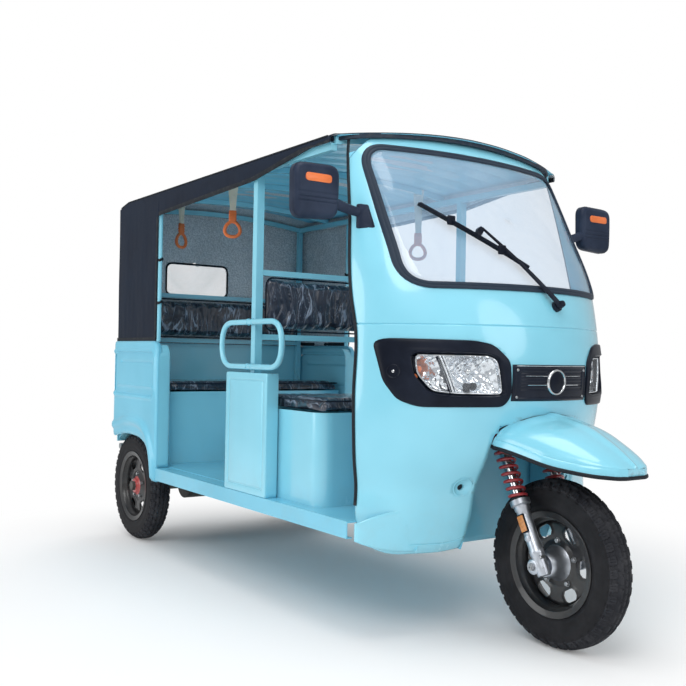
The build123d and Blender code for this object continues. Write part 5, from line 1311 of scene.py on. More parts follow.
@dataclass
class FrontLamps:
    """Headlamps in black surrounds, and the black panel with a plain ring between them."""

    shell: FrontShell
    lens: tuple[tuple[float, float], ...] = (
        (0.437, 0.934), (0.241, 0.933), (0.216, 0.917), (0.199, 0.811), (0.339, 0.812), (0.397, 0.819), (0.433, 0.873),
    )
    knob: tuple[float, float] = (0.487, 0.879)
    grille_half: float = 0.172
    grille_low: float = 0.790
    grille_high: float = 0.907
    ring_z: float = 0.851
    ring_radius: float = 0.0385

    def lens_outline(self, side: int, reach: float = 0.0) -> Array:
        """Front view outline of a lamp, grown by reach."""
        outline = resample(bent_path([(side * y, z) for y, z in self.lens], 0.018, True), 160, True)
        return outline + outline_normals(outline) * reach

    def make_surround(self, name: str, side: int) -> Object:
        """Surround: rings from its outer outline, over a raised rim, down into the lamp's recess."""
        middle = np.array([side * 0.325, 0.873])
        outer = polar_match(self.shell.bezel_outline(side), middle, 180)
        inner = polar_match(self.lens_outline(side), middle, 180)
        share = np.array([0.0, 0.0, 0.02, 0.06, 0.14, 0.3, 0.5, 0.66, 0.74, 0.79, 0.84, 0.92, 1.0, 1.0])
        grow = np.array([-0.004, 0.0006, 0.0042, 0.0062, 0.007, 0.0076, 0.0082, 0.0088, 0.0098, 0.0092, 0.0055, -0.006, -0.0145, -0.034])
        skin = Skin().sheet(NOSE.ring(outer, inner, share, grow), wrap=True, flip=side < 0)
        at = np.array([[side * self.knob[0], self.knob[1]]])
        way = NOSE.normal(side * self.knob[0], self.knob[1])
        base = NOSE.points(at, 0.0066)[0]
        dish = [(-0.006, 0.0225), (0.0016, 0.0225), (0.0030, 0.0210), (0.0018, 0.0185), (-0.0040, 0.0165), (-0.0045, 0.0090), (0.0010, 0.0085), (0.0025, 0.0060), (0.0030, 0.0020)]
        skin.solid(lathe(np.array(dish), base, way, 36))
        screw = [(0.0028, 0.0050), (0.0048, 0.0044), (0.0056, 0.0020)]
        skin.solid(lathe(np.array(screw), base, way, 20), slot=1)
        return skin.build(name, [BLACK_PLASTIC.make(), CHROME.make()], 45)

    def bowls(self, side: int) -> Callable[[Array, Array], Array]:
        """Depth of the reflector behind the lens: a flat pan with two round bowls and a ripple over most of it."""

        def depth(flat: Array, share: Array) -> Array:
            """Depth at each point of the pan."""
            y, z = np.abs(flat[..., 0]), flat[..., 1]
            pan = -0.026 + 0.016 * share**8
            for cy, cz, radius, deep in ((0.405, 0.885, 0.038, 0.030), (0.283, 0.880, 0.062, 0.042)):
                near = ((y - cy) ** 2 + (z - cz) ** 2) / radius**2
                pan = np.where(near < 1, pan - deep * (1 - near), pan)
            wedge = 0.010 * np.floor((y - 0.2) / 0.021) % 0.010
            return pan + 0.0035 * np.sin(y * 260) * np.sin(z * 160) * (share < 0.93) + 0 * wedge

        return depth

    def make_lamp(self, name: str, side: int) -> Object:
        """Lamp: faceted reflector, divider, bulbs and marker behind a slightly domed clear lens."""
        outline = self.lens_outline(side, -0.0005)
        skin = Skin().sheet(NOSE.fan(outline, 34, self.bowls(side)), wrap=True, flip=side < 0)
        rim = NOSE.band(outline, np.array([0.0, 0.0, -0.0035, -0.0035]), np.array([-0.030, -0.0035, -0.0035, -0.030]))
        skin.solid(np.swapaxes(rim, 0, 1), ring=True)
        bar = resample(np.array([(side * 0.376, 0.931), (side * 0.340, 0.8145)]), 16)
        for shift, radius in ((-0.008, 0.0024), (0.0, 0.0034), (0.008, 0.0024)):
            skin.solid(NOSE.strip(bar + [shift, 0], circle(radius, 8), -0.0062))
        backing = np.array([(-0.012, -0.004), (0.012, -0.004), (0.012, 0.001), (-0.012, 0.001)])
        skin.solid(NOSE.strip(bar, backing, -0.0105), slot=2)
        bulbs = ((0.405, 0.887, 0.012, 3), (0.283, 0.882, 0.013, 4), (0.283, 0.836, 0.010, 2))
        for y, z, radius, slot in bulbs:
            base = NOSE.points(np.array([[side * y, z]]), -0.045)[0]
            way = unit(NOSE.normal(side * y, z) * 0.4 + np.array([0.6, 0, 0]))
            bulb = [(0.0, radius), (0.012, radius), (0.020, radius * 0.8), (0.025, radius * 0.35)]
            skin.solid(lathe(np.array(bulb), base, way, 20), slot=slot)
        hood = NOSE.points(np.array([[side * 0.283, 0.836]]), -0.016)[0]
        skin.solid(lathe(np.array([(0.0, 0.012), (0.004, 0.0135), (0.006, 0.012), (0.004, 0.009), (0.0, 0.009)]), hood, NOSE.normal(side * 0.283, 0.836), 24), slot=2)
        marker = NOSE.points(np.array([[side * 0.423, 0.868]]), -0.016)[0]
        skin.solid(lathe(np.array([(-0.004, 0.009), (0.003, 0.0085), (0.006, 0.004)]), marker, NOSE.normal(side * 0.423, 0.868), 20), slot=3)
        dome = NOSE.fan(outline, 20, lambda flat, share: -0.0062 + 0.0062 * (1 - share**2))
        skin.sheet(dome, slot=1, wrap=True, flip=side < 0)
        finishes = [LAMP_BOWL.make(), LAMP_LENS.make(), BLACK_PLASTIC.make(), ORANGE_PLASTIC.make(), CHROME.make()]
        return skin.build(name, finishes, 45)

    def make_grille(self) -> Object:
        """Panel with a raised frame, recessed slots, bright lines and a chrome ring round a dark mesh disc."""
        half, low, high = self.grille_half, self.grille_low, self.grille_high
        y = np.linspace(-half, half, 121)
        z = np.linspace(low, high, 47)
        yy, zz = np.meshgrid(y, z, indexing="ij")
        edge = np.minimum(np.minimum(half - np.abs(yy), zz - low), high - zz)
        grow = 0.0008 + 0.0045 * np.clip(edge / 0.004, 0, 1) - 0.0022 * np.clip((edge - 0.009) / 0.003, 0, 1)
        slot = (np.abs(np.abs(yy) - 0.094) < 0.052) & (np.abs(zz - 0.856) < 0.030)
        rib = 0.0016 * (0.5 + 0.5 * np.cos((zz - 0.856) / 0.0105 * 2 * pi))
        grow = grow - np.where(slot, 0.0028 - rib, 0.0)
        skin = Skin().sheet(NOSE.points(np.stack([yy, zz], -1), grow), flip=False)
        for z_line, reach in ((0.8705, 0.128), (0.8415, 0.118)):
            for _, s in SIDES:
                line = resample(np.array([(s * 0.041, z_line), (s * reach, z_line)]), 24)
                skin.solid(NOSE.strip(line, np.array([(-0.0010, 0), (0.0010, 0), (0.0006, 0.0016), (-0.0006, 0.0016)]), 0.0040), slot=1)
        top = resample(np.array([(-half + 0.012, high - 0.004), (half - 0.012, high - 0.004)]), 40)
        skin.solid(NOSE.strip(top, circle(0.0013, 8), 0.0052), slot=1)
        turn = np.linspace(0, 2 * pi, 64, endpoint=False)
        centre = np.array([0.0, self.ring_z])
        round_path = centre + self.ring_radius * np.stack([np.cos(turn), np.sin(turn)], -1)
        way = NOSE.normal(0.0, self.ring_z)
        skin.solid(sweep(NOSE.points(round_path, 0.0062), np.array([(-0.0045, -0.004), (0.0045, -0.004), (0.0045, 0.001), (0.002, 0.0042), (-0.002, 0.0042), (-0.0045, 0.001)]), way, True), slot=1, ring=True)
        dish = NOSE.points(centre[None], 0.004)[0]
        skin.solid(lathe(np.array([(-0.002, 0.035), (0.002, 0.034), (0.0042, 0.029), (0.0036, 0.022), (0.0060, 0.012), (0.0066, 0.002)]), dish, way, 48), slot=2)
        for radius in (0.018, 0.025, 0.031):
            loop = centre + radius * np.stack([np.cos(turn), np.sin(turn)], -1)
            skin.solid(sweep(NOSE.points(loop, 0.0084 - radius * 0.06), circle(0.0009, 6), way, True), slot=2, ring=True)
        for _, s in SIDES:
            for z_screw in (low + 0.013, high - 0.017):
                at = NOSE.points(np.array([[s * 0.155, z_screw]]), 0.003)[0]
                skin.solid(lathe(np.array([(0.0, 0.0050), (0.0020, 0.0045), (0.0034, 0.002)]), at, NOSE.normal(s * 0.155, z_screw), 18), slot=3)
        return skin.build("grille_panel", [GLOSS_PLASTIC.make(), CHROME.make(), BLACK_PLASTIC.make(), STEEL.make()], 50)

    def build(self) -> None:
        """Makes the lamps and the grille and lets them ride on the body."""
        for name, side in SIDES:
            settle(self.make_surround(f"lamp_surround_{name}", side), Body.MAIN, f"headlamp_bezel_{name}", f"headlamp_bezel_{name}")
            settle(self.make_lamp(f"front_lamp_{name}", side), Body.MAIN, f"headlamp_{name}", f"headlamp_{name}")
        settle(self.make_grille(), Body.MAIN, "front_grille", "front_grille")


@dataclass
class Fender:
    """Beak shaped front fender with a pressed lower band, a soft ridge and a rubber edge."""

    ahead: tuple[float, ...] = (-0.190, -0.040, 0.110, 0.225, 0.283, 0.295)
    half: tuple[float, ...] = (0.204, 0.200, 0.174, 0.124, 0.070, 0.040)
    ridge: tuple[float, ...] = (0.742, 0.748, 0.714, 0.656, 0.616, 0.606)
    edge: tuple[float, ...] = (0.650, 0.634, 0.598, 0.582, 0.578, 0.578)
    band: float = 0.030

    def curve(self, values: tuple[float, ...], x: Array) -> Array:
        """Smooth curve through values over the stations: the mean of linear runs a little to each side."""
        shifts = np.linspace(-0.035, 0.035, 9)
        inside = np.clip(x[..., None] + shifts * np.clip((0.295 - x[..., None]) / 0.08, 0, 1), self.ahead[0], self.ahead[-1])
        return np.interp(inside, self.ahead, values).mean(-1)

    def section(self, x: Array, u: Array) -> Array:
        """Points across the fender: a dome over a nearly upright band, with a crease between them.

        Args:
            x: Distances ahead of the axle.
            u: Places across, from -1 at the right edge to 1 at the left.

        Returns:
            Grid of points.
        """
        half, ridge, edge = (self.curve(v, x)[:, None] for v in (self.half, self.ridge, self.edge))
        a = np.abs(u)[None]
        dome = np.clip(a / 0.80, 0, 1)
        lip = np.clip((a - 0.80) / 0.20, 0, 1)
        turn = dome * pi / 2
        step = half * 0.955
        y = step * np.sin(turn) ** 0.92 + (half - step) * lip ** 0.5
        crown = ridge - edge - self.band
        peak = 0.007 * np.exp(-(a / 0.05) ** 2)
        z = edge + self.band + crown * np.cos(turn) ** 1.15 + peak - self.band * lip - 0.003 * np.exp(-(((a - 0.80) / 0.025) ** 2))
        return np.stack([FRONT_AXLE_X + x[:, None] * np.ones_like(a), y * np.sign(u)[None], z], -1)

    def make_shell(self) -> Object:
        """Fender: sections over the stations, pushed forward onto the front shell where they would enter it."""
        x = np.concatenate([np.linspace(-0.190, 0.225, 40), np.linspace(0.225, 0.2945, 18)[1:]])
        u = np.concatenate([np.linspace(-1, -0.8, 7), np.linspace(-0.8, 0.8, 57)[1:-1], np.linspace(0.8, 1, 7)])
        grid = self.section(x, u)
        skin = Skin()
        tip = grid[-1]
        cap = tip[None] * np.ones((3, 1, 1))
        cap[1:, :, 1] *= np.array([0.97, 0.90])[:, None]
        cap[1:, :, 0] = FRONT_AXLE_X + np.array([0.2949, 0.295])[:, None]
        low = cap[-1].copy()
        low[:, 2] = low[:, 2].min() + 0.0005
        grid = np.concatenate([grid, cap[1:], low[None]])
        wall = NOSE.x(grid[..., 1], grid[..., 2], 0.0008)
        grid[..., 0] = np.maximum(grid[..., 0], wall)
        skin.sheet(grid, flip=True)
        piece = skin.build("front_fender_shell", [BODY_PAINT.make(), CHASSIS_PAINT.make()], 35)
        return thicken(piece, 0.003, inside=1)

    def make_edge(self) -> Object:
        """Rubber edge: a narrow profile swept along the lower edge, round the tip."""
        x = np.concatenate([np.linspace(-0.185, 0.25, 40), np.linspace(0.25, 0.294, 14)[1:]])
        side = self.section(x, np.array([-1.0, 1.0]))
        turn = np.linspace(-pi / 2, pi / 2, 9)[1:-1]
        tip_y = self.half[-1]
        nose = np.stack([FRONT_AXLE_X + 0.2935 + 0 * turn, tip_y * np.sin(turn), np.full_like(turn, self.edge[-1])], -1)
        path = np.vstack([side[:, 0], nose, side[::-1, 1]])
        path[:, 2] -= 0.0
        path[:, 0] = np.maximum(path[:, 0], NOSE.x(path[:, 1], path[:, 2], 0.002))
        keep = np.concatenate([[True], np.linalg.norm(np.diff(path, axis=0), axis=1) > 1e-4])
        return Skin().solid(sweep(resample(path[keep], 150), circle(0.0042, 10, 1.5), (0, 0, 1))).build("fender_edge", [EDGE_RUBBER.make()])

    def build(self) -> None:
        """Makes the fender and lets it ride on the body."""
        settle(self.make_shell(), Body.MAIN, "front_fender", "front_fender")
        settle(self.make_edge(), Body.MAIN, "windscreen_gasket")


@dataclass
class Mirrors:
    """Door mirrors: a rounded housing with grooves and an amber marker, its glass, arm and bracket."""

    inner: float = 0.587
    outer: float = 0.763
    low: float = 1.360
    high: float = 1.545
    at: float = 0.440
    thick: float = 0.046
    bracket_z: float = 1.388

    def make(self, name: str, side: int) -> Object:
        """Housing, glass, arm and bracket: a rounded plate domed forwards, and rounded profiles on paths."""
        skin = Skin()
        middle = np.array([behind(self.at), side * (self.inner + self.outer) / 2, (self.low + self.high) / 2])
        half = np.array([self.thick / 2, (self.outer - self.inner) / 2, (self.high - self.low) / 2])
        corners = [(-half[1] + 0.004, -half[2] + 0.010), (half[1] - 0.002, -half[2]), (half[1], half[2] - 0.004), (-half[1], half[2])]
        outline = resample(bent_path([(side * y, z) for y, z in corners], 0.040, True, 10), 120, True)
        distance = outline_distance(outline)
        step = 0.0026
        y, z = np.meshgrid(np.arange(-half[1], half[1] + step, step), np.arange(-half[2], half[2] + step, step), indexing="ij")
        flat = np.stack([y, z], -1).reshape(-1, 2)
        flat, faces = cut_opening(flat, flat, grid_faces(*y.shape), lambda p: -distance(p), step)
        inset = np.clip(-distance(flat), 0, None)
        turn_in = 0.021
        bulge = np.sqrt(np.maximum(turn_in**2 - np.clip(turn_in - inset, 0, turn_in) ** 2, 0)) - turn_in
        rise = half[0] + bulge - 0.0022 * (flat**2).sum(1) / (half[1] ** 2)
        lines = sum(np.exp(-(((flat[:, 1] + c) / 0.0019) ** 2)) for c in (0.008, 0.022, 0.036))
        rise -= 0.0026 * lines * np.clip((inset - 0.010) / 0.006, 0, 1)
        face = np.stack([rise, flat[:, 0], flat[:, 1]], -1) + middle
        skin.add(face, [faces], flip=False)
        level = np.array([half[0] - turn_in + 0.0004, 0.0, -half[0] + 0.004, -half[0] + 0.0012, -half[0]])
        grown = np.array([1.0, 1.0, 1.0, 0.985, 0.95])
        wall = np.stack([level[:, None] * np.ones(120), outline[None, :, 0] * grown[:, None], outline[None, :, 1] * grown[:, None]], -1)
        skin.sheet(wall + middle, wrap=True, flip=side > 0)
        back = np.stack([np.full((2, 120), -half[0]), np.stack([outline[:, 0] * 0.95, outline[:, 0] * 0.02]), np.stack([outline[:, 1] * 0.95, outline[:, 1] * 0.02])], -1)
        skin.sheet(back + middle, wrap=True, flip=side > 0)
        glass = outline * 0.88
        pane = np.stack([np.full(120, -half[0] - 0.0006), glass[:, 0], glass[:, 1]], -1) + middle
        skin.solid(np.stack([pane, pane + [0.003, 0, 0]]), slot=1)
        pill = bent_path([(-0.050, -0.0135), (0.050, -0.0135), (0.050, 0.0135), (-0.050, 0.0135)], 0.0130, True, 8)
        spot = middle + [half[0] * 0.80, side * 0.002, 0.041]
        place = lambda flat, h: np.stack([np.full(len(flat), h), flat[:, 0], flat[:, 1]], -1) + spot
        skin.solid(prism_grid(pill, place, 0.006, 0.002), slot=2)
        root = float(NOSE.x(0.505, self.bracket_z)) + 0.008
        start = middle + [0, -side * half[1] + side * 0.012, -0.03]
        arm = bent_path([start, [middle[0] + 0.004, side * (self.inner - 0.030), self.bracket_z + 0.022], [root, side * 0.512, self.bracket_z + 0.012]], 0.02, steps=10)
        skin.solid(sweep(resample(arm, 30), circle(0.0125, 14, 1.35), (0, 0, 1), scale=np.linspace(1.1, 0.92, 30)))
        bracket = box_grid([root - 0.012, -0.017, -0.041], [root + 0.008, 0.017, 0.041], 0.005)
        bracket[..., 1] += side * 0.499
        bracket[..., 2] += self.bracket_z
        floor = NOSE.x(bracket[..., 1], bracket[..., 2], 0.0004)
        bracket[..., 0] = np.maximum(bracket[..., 0], floor)
        skin.solid(bracket)
        return skin.build(name, [MIRROR_CASE.make(), MIRROR_GLASS.make(), ORANGE_PLASTIC.make()], 50)

    def build(self) -> None:
        """Makes both mirrors and lets them ride on the body."""
        for name, side in SIDES:
            settle(self.make(f"door_mirror_{name}", side), Body.MAIN, f"mirror_{name}", f"mirror_{name}")


def around(section: Array, centre: Array, count: int) -> Array:
    """Section of (across, radius) pairs turned round the Y axis through a centre, as rings round the section."""
    turn = np.arange(count) / count * 2 * pi
    x = section[:, 1] * np.cos(turn)[:, None]
    z = section[:, 1] * np.sin(turn)[:, None]
    y = section[:, 0] * np.ones_like(turn)[:, None]
    return np.stack([x, y, z], -1) + centre


@dataclass
class Wheel:
    """One wheel: tyre with block tread, pressed rim with windows, hub, nuts and a drum where it has one."""

    name: str
    centre: tuple[float, float, float]
    radius: float
    outward: int
    body: Body
    tyre_node: str
    rim_node: str
    rear: bool
    lugs: int = 40
    bead: float = 0.1535
    flange: float = 0.1690
    window_pitch: float = 0.108
    windows: int = 6

    def make_tyre(self) -> Object:
        """Tyre: a section from bead to bead turned round the axle, its outer points sunk between the tread blocks."""
        out = self.radius
        side = [
            (0.036, self.bead), (0.0395, 0.158), (0.041, 0.166), (0.0445, 0.1715), (0.0478, 0.180), (0.0488, 0.1845),
            (0.0482, 0.1865), (0.0496, 0.196), (0.0500, 0.206), (0.0499, 0.2150), (0.0494, 0.2165), (0.0496, 0.2190),
            (0.0488, 0.2290), (0.0478, 0.2350), (0.0482, 0.2362), (0.0468, 0.2420),
        ]
        side = [(y, r + (out - 0.262) * np.clip((r - 0.16) / 0.09, 0, 1)) for y, r in side]
        crown_y = np.array([0.0440, 0.0425, 0.0395, 0.034, 0.0285, 0.0275, 0.022, 0.015, 0.0105, 0.0095, 0.004])
        crown_r = out - 0.0215 * (crown_y / 0.0455) ** 3.2
        crown = list(zip(crown_y, crown_r))
        half = side + crown
        section = np.array(half + [(-y, r) for y, r in reversed(half)])
        inner = np.array([(-0.034, self.bead + 0.002), (0.034, self.bead + 0.002)])
        section = np.vstack([section, inner])
        count = self.lugs * 14
        grid = around(section, np.zeros(3), count)
        turn = np.arange(count) / 14.0
        y = grid[..., 1]
        across = np.abs(y)
        phase = (turn[:, None] + np.where(y > 0, 0.5, 0.0)) % 1.0
        reach = np.sqrt(grid[..., 0] ** 2 + grid[..., 2] ** 2)
        worn = reach > out - 0.030
        shoulder = worn & (across > 0.0280)
        lean = (across - 0.028) * 9.0
        gap = np.abs(phase - 0.5 + lean * 0.35)
        notch = shoulder & (gap > 0.335)
        sipe = shoulder & (np.abs(gap - 0.12) < 0.04) & (across > 0.036)
        centre_rib = worn & (across < 0.0092)
        cross_cut = centre_rib & (np.abs((turn[:, None] * 2) % 1.0 - 0.5) > 0.43)
        mid = worn & (across > 0.0098) & (across < 0.0280)
        mid_cut = mid & (np.abs(phase - 0.5 - (across - 0.019) * 26) < 0.085)
        groove = worn & ((np.abs(across - 0.0100) < 0.0007) | (np.abs(across - 0.0280) < 0.0007))
        sink = 0.0072 * notch + 0.0035 * (sipe & ~notch) + 0.003 * cross_cut + 0.0052 * mid_cut + 0.0068 * groove
        fade = np.clip((reach - (out - 0.032)) / 0.012, 0, 1)
        scale = 1 - np.minimum(sink, 0.0075) * fade / np.maximum(reach, 1e-6)
        grid[..., 0] *= scale
        grid[..., 2] *= scale
        grid[..., 1] -= np.sign(y) * 0.0022 * notch * (across > 0.042)
        grid = grid + np.asarray(self.centre)
        skin = Skin().solid(grid, ring=True)
        rows, cols = grid.shape[:2]
        tread = np.zeros(cols, bool)
        tread[len(side) - 1 : -len(side) - 1] = True
        skin.slots = [1 if tread[k % cols] else 0 for k in range(rows * cols)]
        return skin.build(f"tyre_{self.name}", [TYRE_RUBBER.make(), TREAD_RUBBER.make()], 32)

    def make_rim(self) -> Object:
        """Rim: a stepped section with rolled flanges, and a dished disc with oval windows and pressed ribs."""
        skin = Skin()
        section = np.array([
            (0.0475, 0.1655), (0.0482, 0.1690), (0.0462, 0.1705), (0.0436, 0.1690), (0.0418, 0.1640), (0.0410, 0.1560),
            (0.0385, 0.1515), (0.0300, 0.1500), (0.0240, 0.1440), (0.0180, 0.1400), (-0.0180, 0.1400), (-0.0240, 0.1440),
            (-0.0300, 0.1500), (-0.0385, 0.1515), (-0.0410, 0.1560), (-0.0418, 0.1640), (-0.0436, 0.1690),
            (-0.0462, 0.1705), (-0.0482, 0.1690), (-0.0475, 0.1655), (-0.0455, 0.1600), (-0.0430, 0.1490),
            (-0.0330, 0.1465), (-0.0265, 0.1405), (-0.0200, 0.1365), (0.0200, 0.1365), (0.0265, 0.1405),
            (0.0330, 0.1465), (0.0430, 0.1490), (0.0455, 0.1600),
        ])
        skin.solid(around(section, np.asarray(self.centre), 96), ring=True)
        disc_y = 0.012 * self.outward if self.rear else 0.0
        radii = np.linspace(0.040, 0.1380, 34)
        turn = np.arange(216) / 216 * 2 * pi
        flat = np.stack(np.broadcast_arrays(radii[:, None] * np.cos(turn), radii[:, None] * np.sin(turn)), -1).reshape(-1, 2)
        faces = grid_faces(34, 216, False, True)

        def window(p: Array) -> Array:
            """Distance to the nearest oval window, in a frame turned to it."""
            angle = np.arctan2(p[:, 1], p[:, 0])
            pitch = 2 * pi / self.windows
            local = (angle + pitch / 2) % pitch - pitch / 2
            reach = np.linalg.norm(p, axis=-1)
            return slot_distance((self.window_pitch, 0.0), (0.019, 0.028), 0.017)(
                np.stack([reach * np.cos(local), reach * np.sin(local)], -1)
            )

        flat, faces = cut_opening(flat, flat, faces, window, 0.0032)
        reach = np.linalg.norm(flat, axis=-1)
        gap = window(flat)
        dish = 0.010 * np.clip((0.075 - reach) / 0.03, 0, 1) - 0.006 * np.clip((reach - 0.125) / 0.012, 0, 1)
        lip = 0.0035 * np.exp(-((gap / 0.006) ** 2))
        rise = self.outward * (dish + lip) + disc_y
        x, y, z = flat[:, 0] + self.centre[0], rise + self.centre[1], flat[:, 1] + self.centre[2]
        front = np.stack([x, y + self.outward * 0.003, z], -1)
        disc = Skin().add(front, [faces], flip=self.outward > 0)
        skin.add(disc.points[0], [np.array(disc.faces)])
        skin.add(front - [0, self.outward * 0.006, 0], [np.array(disc.faces)[:, ::-1]])
        quads = np.array(disc.faces)
        edges = np.vstack([np.stack([quads[:, k], quads[:, (k + 1) % 4]], -1) for k in range(4)])
        keys = edges[:, 0] * 10**6 + edges[:, 1]
        back = edges[:, 1] * 10**6 + edges[:, 0]
        rim = edges[~np.isin(keys, back)]
        both = np.vstack([front, front - [0, self.outward * 0.006, 0]])
        n = len(front)
        skin.add(both, [np.stack([rim[:, 1], rim[:, 0], rim[:, 0] + n, rim[:, 1] + n], -1)])
        return skin.build(f"rim_{self.name}", [BLACK_PAINT.make()], 40)

    def make_hub(self) -> Object:
        """Hub: a cast barrel with fins and a flange, wheel bolts, bearing cap and axle nut."""
        c = np.asarray(self.centre, float)
        out = self.outward
        skin = Skin()
        if self.rear:
            face = 0.0185
            barrel = [(0.018, 0.046), (0.0205, 0.0475), (0.024, 0.0465), (0.028, 0.040), (0.033, 0.036), (0.037, 0.034), (0.0385, 0.030)]
            inner = [(-0.052, 0.046), (-0.020, 0.048), (0.006, 0.048), (0.0085, 0.047)]
            main, bolt_ring, bolts = 0, 0.0580, 5
        else:
            face = 0.0035
            barrel = [(0.0032, 0.0615), (0.006, 0.0615), (0.010, 0.056), (0.034, 0.046), (0.050, 0.044), (0.064, 0.041), (0.0705, 0.036)]
            inner = [(-0.0705, 0.036), (-0.064, 0.041), (-0.050, 0.044), (-0.034, 0.046), (-0.010, 0.056), (-0.006, 0.0615), (-0.0032, 0.0615)]
            main, bolt_ring, bolts = 1, 0.0720, 5
        skin.solid(lathe([(a * out, r) for a, r in barrel], c, count=64), main)
        skin.solid(lathe([(a * out, r) for a, r in inner], c, count=64), 1)
        cap = [(0.0, 0.0225), (0.004, 0.0225), (0.0075, 0.0195), (0.0088, 0.012), (0.009, 0.004)]
        base = barrel[-1][0] + 0.0002
        skin.solid(lathe([((base + a * 0.4) * out, r) for a, r in cap], c, count=40), 2)
        turn = (np.arange(bolts) + 0.25) / bolts * 2 * pi
        for angle in turn:
            at = c + np.array([bolt_ring * cos(angle), 0, bolt_ring * sin(angle)])
            hexagon = [(face, 0.0105), (face + 0.0022, 0.0105), (face + 0.0023, 0.0082), (face + 0.0085, 0.0080), (face + 0.0098, 0.0066), (face + 0.0099, 0.002)]
            skin.solid(lathe([(a * out, r) for a, r in hexagon], at, count=6 if not self.rear else 12), 2)
        return skin.build(f"hub_{self.name}", [RED_PAINT.make(), CAST_ALLOY.make(), STEEL.make()], 35)

    def build(self) -> None:
        """Makes the wheel's pieces and lets them ride on it."""
        settle(self.make_tyre(), self.body, self.tyre_node, self.tyre_node)
        settle(self.make_rim(), self.body, self.rim_node, self.rim_node)
        settle(self.make_hub(), self.body, self.rim_node)


